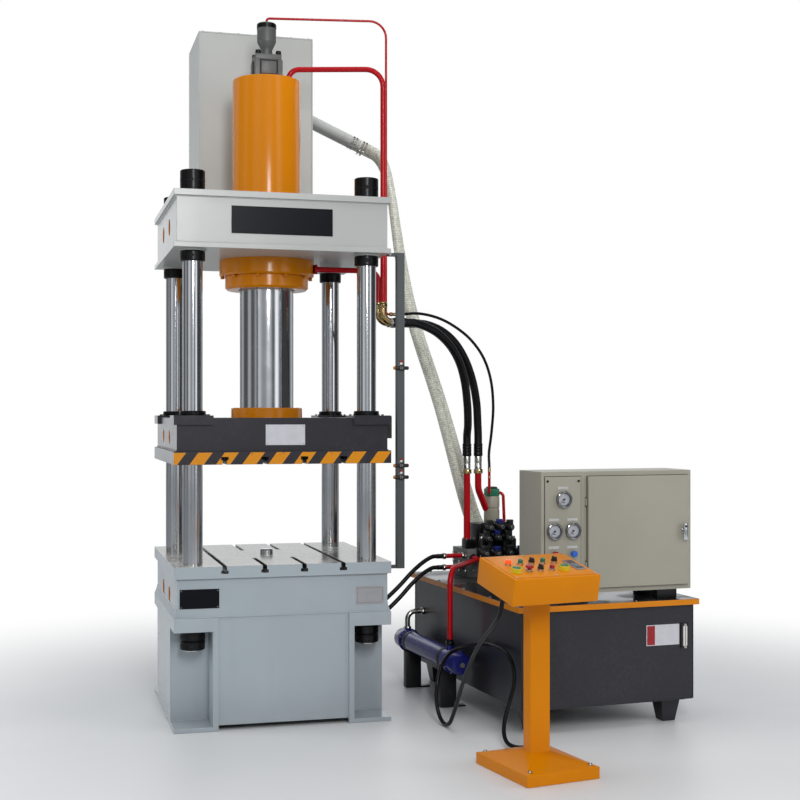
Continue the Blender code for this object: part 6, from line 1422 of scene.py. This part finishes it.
# %% Manifold with its valves and risers
manifold = bmesh.new()
STEEL, COIL, BOLT, BODY_CAST, CAP, TUBE, PLUG, BODY_STEEL = range(8)
deck = LID_TOP
block_top = deck + 0.160
add(manifold, block(0.360, 0.230, 0.160, 0.002, 2), UNIT @ at(0.370, 1.285, deck), BODY_STEEL)
add(manifold, block(0.230, 0.120, 0.138, 0.003, 2), UNIT @ at(0.400, 1.330, block_top - 0.0005),
    STEEL)


def solenoid_valve(place, reach, plug):
    """A spool valve whose coil stands out of its body along Z."""
    add(manifold, block(0.052, 0.052, 0.040, 0.003, 2), place, STEEL)
    add(manifold, rod(0.0215, reach, 0.002, 36), place @ at(0, 0, 0.0398), COIL)
    add(manifold, rod(0.0125, reach + 0.022, 0.002, 24), place @ at(0, 0, 0.0396), BOLT)
    add(manifold, block(0.034, 0.026, 0.030, 0.002), place @ at(0, 0.030, 0.052), plug)
    for spot in corners_of(0.019, 0.019, 0.0398):
        add(manifold, socket_screw(0.0040, 0.005), place @ spot, BOLT)


for x, z, reach, plug in ((0.322, 0.848, 0.058, COIL), (0.388, 0.852, 0.050, PLUG),
                          (0.454, 0.848, 0.058, COIL), (0.340, 0.910, 0.050, COIL),
                          (0.404, 0.915, 0.058, PLUG), (0.468, 0.910, 0.050, COIL)):
    solenoid_valve(UNIT @ at(x, 1.2700, z) @ FRONT, reach, plug)
for x, z, plug in ((0.270, 0.772, COIL), (0.345, 0.768, PLUG), (0.420, 0.772, COIL),
                   (0.495, 0.768, PLUG)):
    solenoid_valve(UNIT @ at(x, 1.1702, z) @ FRONT, 0.050, plug)
for x in (0.300, 0.350, 0.450, 0.500):
    add(manifold, rod(0.017, 0.052, 0.002, 28), UNIT @ at(x, 1.225, block_top - 0.0005), COIL)
    add(manifold, hexagon(0.020, 0.016, 0.001), UNIT @ at(x, 1.225, block_top + 0.051), BOLT)
for z in (0.035, 0.080, 0.125):
    for y in (1.190, 1.285, 1.380):
        add(manifold, hexagon(0.020, 0.007), UNIT @ at(0.1902, y, deck + z) @ LEFT, BOLT)
for x in (0.225, 0.300, 0.450, 0.520):
    add(manifold, hexagon(0.020, 0.007), UNIT @ at(x, 1.1702, deck + 0.040) @ FRONT, BOLT)
cartridge = UNIT @ at(0.408, 1.330, 0)
body_foot = block_top + 0.137
add(manifold, turned([(0, body_foot), (0.046, body_foot), (0.046, 1.004), (0.043, 1.008),
                      (0.043, 1.014), (0.046, 1.018), (0.046, 1.076), (0.041, 1.084),
                      (0, 1.084)], 64), cartridge, BODY_CAST)
add(manifold, block(0.072, 0.072, 0.044, 0.005, 3), cartridge @ at(0, 0, 1.0835), CAP)
add(manifold, block(0.050, 0.050, 0.012, 0.003, 2), cartridge @ at(0, 0, 1.1270), COIL)
for spot in ring_of(4, 0.036, 45):
    add(manifold, socket_screw(0.0042, 0.006), cartridge @ at(0, 0, 1.1272) @ spot, BOLT)
add(manifold, swept([(0.221, RISER_Y, block_top + 0.052), (0.221, RISER_Y, 1.325)], 0.0192, 7),
    UNIT, TUBE)
riser_block = UNIT @ at(0.232, RISER_Y, block_top)
add(manifold, block(0.062, 0.070, 0.054, 0.004, 2), riser_block @ at(0, 0, -0.0005), STEEL)
for spot in corners_of(0.022, 0.026, 0.0533):
    add(manifold, socket_screw(0.0055, 0.007), riser_block @ spot, BOLT)
add(manifold, swept(bent([(0.291, RISER_Y, 1.325), (0.291, RISER_Y, 1.130), (0.368, 1.322, 1.010)],
                         (0.070,)), 0.0192, 7), UNIT, TUBE)
add(manifold, swept(bent([(0.361, RISER_Y, 1.230), (0.361, RISER_Y, 1.104), (0.384, 1.310, 1.104)],
                         (0.016,)), 0.0081, 6), UNIT, TUBE)
add(manifold, swept(bent([(0.426, 1.316, 1.108), (0.464, 1.290, 1.100), (0.470, 1.288, 0.935)],
                         (0.024,)), 0.0092, 6), UNIT, TUBE)
for z in STUB_LEVELS:
    add(manifold, rod(0.0131, 0.112, 0.001, 28), UNIT @ at(0.190, 1.225, z) @ LEFT, TUBE)
    add(manifold, rod(0.0140, 0.020, 0.001, 28), UNIT @ at(0.0795, 1.225, z) @ LEFT, BOLT)
    add(manifold, hexagon(0.034, 0.016, 0.002), UNIT @ at(0.1902, 1.225, z) @ LEFT, BOLT)
finish_piece("manifold_assembly", manifold, "frame",
             [black_oxide, black_plastic, zinc, tan_plastic, green_plastic, pipe_paint,
              blue_plug, valve_steel], ("valve_manifold",))
print("The manifold's top is at %.3f m." % block_top)

# %% [markdown]
# ## Motor and pump
#
# The electric motor is a ribbed casting. Its fins run along it, so each is a thin bar. Forty
# places are set round the body, and the three lowest stay free for the foot.

# %% Motor, bell housing and pump
motor = bmesh.new()
axle = UNIT @ at(0.620, 0, deck + 0.165) @ turn(-90, "X")
add(motor, turned([(0, 0.370), (0.050, 0.370), (0.065, 0.385), (0.065, 0.545), (0.070, 0.552),
                   (0.100, 0.556), (0.100, 0.652), (0.118, 0.660), (0.118, 0.672), (0.112, 0.676),
                   (0.112, 1.046), (0.118, 1.050), (0.118, 1.062), (0.112, 1.094), (0.100, 1.100),
                   (0, 1.100)], 72), axle, 0)
FINS = [i for i in range(40) if i not in (19, 20, 21)]
for i in FINS:
    fin = axle @ turn(9 * i, "Z") @ at(0.1205, 0, 0.684)
    add(motor, block(0.018, 0.0032, 0.354, 0.0006, 1), fin, 0)
add(motor, block(0.220, 0.300, 0.016, 0.002), UNIT @ at(0.620, 0.860, deck), 0)
for x in (-0.085, 0.085):
    add(motor, block(0.030, 0.290, 0.075, 0.003), UNIT @ at(0.620 + x, 0.860, deck + 0.004), 0)
    for y in (0.735, 0.985):
        add(motor, hexagon(0.020, 0.010), UNIT @ at(0.620 + x * 1.14, y, deck + 0.0158), 1)
for spot in ring_of(8, 0.092, 22):
    add(motor, hexagon(0.013, 0.007), axle @ at(0, 0, 0.549) @ spot, 1)
for radius in (0.030, 0.048, 0.066, 0.084):
    add(motor, ring_nut(radius + 0.002, radius - 0.002, 0.003, 0.0006, 48),
        axle @ at(0, 0, 1.0985), 2)
finish_piece("motor_and_pump", motor, "frame", [motor_paint, zinc, black_plastic],
             ("pump_motor",))
print("The motor has %d fins." % len(FINS))

# %% [markdown]
# ## Oil cooler
#
# The returning oil runs through a tube cooler at the tank's side. Its caps are bolted on between
# flanges, and a red pipe rises from its port to the manifold.

# %% Cooler and its pipe
cooler = bmesh.new()
tube_axis = UNIT @ at(-0.100, 0, 0.260) @ turn(-90, "X")
COOLER_PIPE = 0.0151
body, cap = 0.057, 0.067
ends = [(0.030, 0.520), (0.045, 0.521), (0.052, 0.528), (0.057, 0.540), (body, 0.630),
        (cap, 0.630), (cap, 0.6375), (0.0635, 0.6378), (0.0635, 0.6385), (cap, 0.6388),
        (cap, 0.646), (body, 0.646)]
add(cooler, turned([(0, 0.520)] + ends + [(r, 1.990 - y) for r, y in reversed(ends)]
                   + [(0, 1.470)], 72), tube_axis, 0)
for start in (0.630, 1.344):
    for spot in ring_of(8, 0.0612, 22.5):
        add(cooler, hexagon(0.0085, 0.0235), tube_axis @ at(0, 0, start - 0.0035) @ spot, 1)
add(cooler, hexagon(0.026, 0.006), tube_axis @ at(0, 0, 0.5145), 1)
for y in (0.720, 1.270):
    add(cooler, block(0.090, 0.050, 0.205, 0.002), UNIT @ at(-0.100, y + 0.025, 0.002), 2)
    add(cooler, block(0.136, 0.050, 0.006, 0.001), UNIT @ at(-0.0675, y + 0.025, 0.0), 2)
    add(cooler, ring_nut(0.0595, 0.0572, 0.030, 0.001, 64), tube_axis @ at(0, 0, y + 0.010), 2)
add(cooler, turned([(0.0202, 0), (0.0202, 0.066), (0.0185, 0.078), (0, 0.078)], 36),
    UNIT @ at(-0.100, 0.700, 0.260), 0)
add(cooler, hexagon(0.042, 0.020, 0.002), UNIT @ at(-0.100, 0.700, 0.3365), 3)
elbow = bent([(-0.100, 1.380, 0.262), (-0.100, 1.380, 0.420), (-0.0003, 1.380, 0.420)], (0.045,))
add(cooler, swept(elbow, COOLER_PIPE, 7), UNIT, 1)
add(cooler, hexagon(0.040, 0.018, 0.002), UNIT @ at(-0.100, 1.380, 0.318), 1)
add(cooler, hexagon(0.040, 0.014, 0.002), UNIT @ at(-0.0004, 1.380, 0.420) @ LEFT, 1)
finish_piece("tube_cooler", cooler, "frame", [cooler_paint, zinc, black_iron, black_oxide],
             ("oil_cooler",))

riser = bmesh.new()
add(riser, swept(bent([(-0.100, 0.700, 0.3383), (-0.100, 0.700, 0.742), (0.222, 1.080, 0.742),
                       (0.222, 1.1697, 0.742)], (0.090, 0.090)), COOLER_PIPE, 7), UNIT, 0)
add(riser, hexagon(0.040, 0.020, 0.002), UNIT @ at(0.222, 1.1695, 0.742) @ FRONT, 1)
add(riser, ring_nut(0.0185, COOLER_PIPE, 0.012, 0.002, 32), UNIT @ at(-0.100, 0.700, 0.3568), 1)
finish_piece("cooler_riser", riser, "frame", [pipe_paint, black_oxide], ("cooler_pipe",))
print("The cooler is piped up.")

# %% [markdown]
# ## The pedestal's stand and box
#
# The operator's box leans back on a square post. Its slab is a folded plate whose top slopes to
# the post like a low roof. The panel is a separate sheet, screwed on round its edge.

# %% Stand, box and panel
dressed("pedestal_post", "pedestal_stand", "frame", pedestal_paint, 0.0025, 3)
trim = bmesh.new()
for x in (-1, 1):
    add(trim, bead((x * 0.051, -0.030, 0.0895), (x * 0.051, 0.030, 0.0895), 0.0026), PEDESTAL, 0)
for y in (-1, 1):
    add(trim, bead((-0.050, y * 0.031, 0.0895), (0.050, y * 0.031, 0.0895), 0.0026), PEDESTAL, 0)
for spot in corners_of(0.150, 0.195, 0.0525):
    add(trim, ring_nut(0.0135, 0.0060, 0.0016, 0.0004, 28), PEDESTAL @ spot, 1)
    add(trim, hexagon(0.017, 0.009), PEDESTAL @ spot @ at(0, 0, 0.001), 1)
finish_piece("pedestal_trim", trim, "frame", [pedestal_paint, zinc])

controls = bmesh.new()
ORANGE_BOX, METAL, GUARD, LAMP, GREY, DARK, RED = range(7)
add(controls, block(0.424, 0.316, 0.1177, 0.004, 3), PANEL @ at(0.212, 0.158, -0.118), ORANGE_BOX)
add(controls, block(0.396, 0.288, 0.0022, 0.001, 2), PANEL @ at(0.212, 0.158, -0.0002), ORANGE_BOX)
for along in (0.0215, 0.212, 0.4025):
    for up in (0.0215, 0.2945):
        add(controls, rod(0.0050, 0.0022, 0.0006, 20), PANEL @ at(along, up, 0.0018), METAL)
        add(controls, block(0.0070, 0.0010, 0.0003, 0.0001, 1),
            PANEL @ at(along, up, 0.0039) @ turn(along * 900, "Z"), DARK)


def bezel(piece, along, up, finish):
    add(piece, turned([(0.0110, 0.0), (0.0146, 0.0), (0.0146, 0.0022), (0.0134, 0.0034),
                       (0.0134, 0.0088), (0.0128, 0.0096), (0.0118, 0.0096), (0.0112, 0.0086),
                       (0.0110, 0.0)], 40),
        PANEL @ at(along, up, 0.0019), finish)


BACK_ROW, FRONT_ROW = 0.184, 0.092
LAMP_X, PALMS = 0.068, (0.057, 0.293)
for along, up in ((LAMP_X, BACK_ROW), (0.128, BACK_ROW), (0.184, BACK_ROW), (0.240, BACK_ROW),
                  (0.298, BACK_ROW), (0.176, FRONT_ROW), (0.120, FRONT_ROW), (0.232, FRONT_ROW)):
    bezel(controls, along, up, METAL)
    if along != LAMP_X:
        add(controls, turned([(0, 0.0), (0.0113, 0.0), (0.0113, 0.0008), (0, 0.0008)], 32),
            PANEL @ at(along, up, 0.0020), DARK)
add(controls, turned([(0, 0.002), (0.0106, 0.002), (0.0106, 0.0122), (0.0142, 0.0122),
                      (0.0142, 0.0185), (0.0122, 0.0232), (0.0070, 0.0256), (0, 0.0262)], 40),
    PANEL @ at(LAMP_X, BACK_ROW), LAMP)
for along in PALMS:
    add(controls, turned([(0.0196, 0.0), (0.0262, 0.0), (0.0262, 0.0040), (0.0232, 0.0052),
                          (0.0232, 0.0185), (0.0222, 0.0200), (0.0205, 0.0200),
                          (0.0196, 0.0185), (0.0196, 0.0)], 56),
        PANEL @ at(along, FRONT_ROW, 0.0019), GUARD)
    add(controls, turned([(0, 0.0), (0.0198, 0.0), (0.0198, 0.0010), (0, 0.0010)], 40),
        PANEL @ at(along, FRONT_ROW, 0.0020), DARK)
add(controls, block(0.047, 0.124, 0.004, 0.0010, 2), PANEL @ at(0.374, 0.140, 0.0019), GREY)
add(controls, block(0.037, 0.110, 0.0014, 0.0004, 1), PANEL @ at(0.374, 0.142, 0.0055), DARK)
add(controls, block(0.012, 0.014, 0.0008, 0.0003, 1), PANEL @ at(0.364, 0.184, 0.0067), RED)
for row in (0.112, 0.127, 0.142):
    for along in (0.366, 0.382):
        add(controls, block(0.011, 0.009, 0.0012, 0.0004, 1), PANEL @ at(along, row, 0.0067), GREY)
gland = PANEL @ at(0.105, 0.260, -0.118) @ DOWN
add(controls, rod(0.0162, 0.007, 0.001, 6), gland @ at(0, 0, -0.0005), DARK)
add(controls, turned([(0.0150, 0.006), (0.0150, 0.014), (0.0128, 0.0195), (0.0112, 0.0198),
                      (0.0112, 0.006)], 40), gland, DARK)
finish_piece("control_box_dressed", controls, "frame",
             [pedestal_paint, bright_chrome, yellow_plastic, lit_lamp, grey_plastic, black_plastic,
              red_plastic], ("control_box",))
print("The control box is dressed.")

# %% [markdown]
# ## Buttons and selectors
#
# Each control rides on its own body, so that it can be pushed or turned. A push button is a low
# cap with a dished top; the stop is a mushroom; a selector is a disc with a raised grip.

# %% Controls that move
def control(name, node, along, up, parts):
    piece = bmesh.new()
    place = PANEL @ at(along, up)
    finishes = []
    for index, (part, finish) in enumerate(parts):
        add(piece, part, place, index)
        finishes.append(finish)
    finish_piece(name, piece, node, finishes, (node,))


def push_cap(finish):
    """A button's cap with its stem, and the finish it wears."""
    low, rim, dish = 0.0125, 0.0253, 0.0239
    return (turned([(0, -0.024), (0.0080, -0.024), (0.0080, low), (0.0107, low),
                    (0.0107, 0.0235), (0.0096, rim), (0.0078, rim), (0.0040, dish), (0, dish)],
                   40), finish)


for number, along in ((1, 0.128), (2, 0.240)):
    control("green_push_%d" % number, "green_button_%d" % number, along, BACK_ROW,
            [push_cap(green_plastic)])
control("red_push", "red_button", 0.232, FRONT_ROW, [push_cap(red_plastic)])
for side, along in zip(("left", "right"), PALMS):
    dome = turned([(0, -0.024), (0.0080, -0.024), (0.0080, 0.0142), (0.0172, 0.0142),
                   (0.0179, 0.0150), (0.0179, 0.0198), (0.0165, 0.0228), (0.0120, 0.0249),
                   (0.0060, 0.0257), (0, 0.0259)], 48)
    control("palm_push_" + side, "palm_button_" + side, along, FRONT_ROW,
            [(dome, green_plastic)])
mushroom = turned([(0, -0.024), (0.0080, -0.024), (0.0080, 0.0182), (0.0150, 0.0182),
                   (0.0176, 0.0196), (0.0180, 0.0220), (0.0174, 0.0252), (0.0140, 0.0282),
                   (0.0080, 0.0297), (0, 0.0299)], 48)
control("emergency_mushroom", "mushroom_stop", 0.120, FRONT_ROW, [(mushroom, red_plastic)])
for number, (along, up) in enumerate(((0.184, BACK_ROW), (0.298, BACK_ROW), (0.176, FRONT_ROW)), 1):
    disc = turned([(0, -0.024), (0.0080, -0.024), (0.0080, 0.0064), (0.0104, 0.0064),
                   (0.0104, 0.0124), (0.0142, 0.0124), (0.0142, 0.0178), (0.0130, 0.0190),
                   (0, 0.0190)], 40)
    grip = block(0.0120, 0.0262, 0.0130, 0.0024, 3)
    bmesh.ops.translate(grip, vec=(0, 0, 0.0178), verts=grip.verts)
    mark = block(0.0014, 0.0110, 0.0006, 0.0002, 1)
    bmesh.ops.translate(mark, vec=(0, 0.0060, 0.0305), verts=mark.verts)
    control("selector_knob_%d" % number, "selector_%d" % number, along, up,
            [(disc, black_plastic), (grip, black_plastic), (mark, white_plastic)])
print("Nine controls ride on bodies of their own.")

# %% [markdown]
# ## Floor, backdrop and light
#
# The floor is pale sealed concrete. Further out, what the camera sees of it fades into the white
# backdrop. A gloss machine shows whatever surrounds it, so its surroundings are chosen with care:
# the world draws the upright bands on the chrome, and four large soft lamps light the shapes.

# %% Floor
def floor_finish():
    finish = Finish("sealed_floor")
    cloud = finish.noise(1.2, 4.0, 0.55)
    speck = finish.noise(60.0, 3.0, 0.6)
    tone = finish.mix(cloud, (0.66, 0.67, 0.68), (0.74, 0.745, 0.75))
    finish.set(base_color=tone, roughness=0.42 + (speck - 0.5) * 0.12)
    finish.bump(speck, 0.05, 0.0005)
    away = finish.maths("SQRT", finish.x * finish.x + finish.y * finish.y)
    seen = Value(finish, finish.node("ShaderNodeLightPath").outputs["Is Camera Ray"])
    white = finish.node("ShaderNodeEmission", inputs={"Color": (1.0, 1.0, 1.0, 1.0)})
    join = finish.node("ShaderNodeMixShader", inputs={"Fac": finish.between(away, 1.7, 4.6) * seen})
    finish.tree.links.new(finish.shader.outputs[0], join.inputs[1])
    finish.tree.links.new(white.outputs[0], join.inputs[2])
    finish.tree.links.new(join.outputs[0], finish.tree.nodes["Material Output"].inputs["Surface"])
    return finish.material


bpy.ops.mesh.primitive_plane_add(size=60, location=(0, 0, -0.0005))
floor = bpy.context.object
floor.name = "floor"
floor.data.materials.append(floor_finish())
print("The floor is laid.")

# %% [markdown]
# ## The world behind the machine
#
# What the camera and mirrors see may differ from what lights the scene. A Light Path node gives
# the camera a white backdrop and diffuse rays a soft sky. Chrome in a white room looks like
# chalk, so mirrors see bright windows with dark piers between them, set out by compass bearing.

# %% World
world = bpy.data.worlds.new("soft_hall")
scene.world = world
world.use_nodes = True
tree = world.node_tree
tree.nodes.clear()
path = tree.nodes.new("ShaderNodeLightPath")


def surroundings(colour, strength):
    made = tree.nodes.new("ShaderNodeBackground")
    made.inputs["Color"].default_value = (*colour, 1.0)
    made.inputs["Strength"].default_value = strength
    return made


def choose(factor, first, second):
    made = tree.nodes.new("ShaderNodeMixShader")
    tree.links.new(factor, made.inputs["Fac"])
    tree.links.new(first.outputs[0], made.inputs[1])
    tree.links.new(second.outputs[0], made.inputs[2])
    return made


def sum_of(operation, first, second):
    made = tree.nodes.new("ShaderNodeMath")
    made.operation = operation
    for socket, value in zip(made.inputs, (first, second)):
        if isinstance(value, float):
            socket.default_value = value
        else:
            tree.links.new(value, socket)
    return made.outputs[0]


backdrop = surroundings((1.0, 1.0, 1.0), 1.0)
sky = surroundings((0.92, 0.96, 1.0), 0.36)
hall = surroundings((1.0, 1.0, 1.0), 2.0)
heading = tree.nodes.new("ShaderNodeSeparateXYZ")
tree.links.new(tree.nodes.new("ShaderNodeTexCoord").outputs["Generated"], heading.inputs[0])
compass = sum_of("ARCTAN2", heading.outputs["X"], sum_of("MULTIPLY", heading.outputs["Y"], -1.0))
walls = tree.nodes.new("ShaderNodeValToRGB")
tree.links.new(sum_of("ADD", sum_of("DIVIDE", compass, math.tau), 0.5), walls.inputs[0])
WALLS = ((-180, 0.80), (-176, 1.55), (-171, 1.50), (-166, 0.22), (-150, 0.34), (-128, 0.52),
         (-120, 0.12), (-99, 0.10), (-93, 0.48), (-84, 0.56), (-76, 0.12), (-64, 0.14), (-58, 0.46),
         (-46, 0.86), (-36, 0.70), (-27, 0.40), (-15, 0.38), (-4, 0.66), (8, 0.58), (16, 0.16),
         (24, 0.18), (29, 1.40), (39, 1.40), (45, 0.24), (54, 0.16), (60, 0.06), (100, 0.06),
         (112, 0.22), (118, 0.75), (131, 0.60), (139, 0.14), (151, 0.95))
marks = walls.color_ramp.elements
while len(marks) < len(WALLS):
    marks.new(0.5)
for mark, (bearing, light) in zip(marks, WALLS):
    mark.position = (bearing + 180) / 360
    mark.color = (light * 0.475, light * 0.4875, light * 0.50, 1.0)
tree.links.new(walls.outputs[0], hall.inputs["Color"])
mirrored = sum_of("MAXIMUM", path.outputs["Is Glossy Ray"], path.outputs["Is Transmission Ray"])
output = tree.nodes.new("ShaderNodeOutputWorld")
seen = choose(path.outputs["Is Camera Ray"], choose(mirrored, sky, hall), backdrop)
tree.links.new(seen.outputs[0], output.inputs["Surface"])
scene.view_settings.view_transform = "Standard"
print("The world is a soft white hall.")

# %% [markdown]
# ## Lamps
#
# Each lamp is a large area light aimed at the press. The strongest stands high in front, like a
# tall window, and it is the only one that mirrors show: it draws the bright stroke on the ram.

# %% Area lights
def area_light(name, place, target, width, height, power, mirrored=False):
    data = bpy.data.lights.new(name, "AREA")
    data.shape = "RECTANGLE"
    data.size = width
    data.size_y = height
    data.energy = power
    made = bpy.data.objects.new(name, data)
    scene.collection.objects.link(made)
    made.location = PRESS @ Vector(place)
    aim = (PRESS @ Vector(target)) - made.location
    made.rotation_euler = aim.to_track_quat("-Z", "Y").to_euler()
    made.visible_glossy = mirrored


area_light("window_left", (-5.2, 1.0, 2.6), (0, 0, 1.4), 3.2, 3.6, 90)
area_light("window_front", (-0.2, -7.4, 4.3), (0.3, 0, 1.3), 1.1, 3.0, 215, mirrored=True)
area_light("roof_light", (0.4, -0.8, 6.4), (0.3, 0, 0), 4.4, 4.4, 125)
area_light("fill_right", (5.6, -3.6, 2.4), (0.6, 0, 1.2), 2.4, 3.4, 75)
print("Four soft lights are on.")
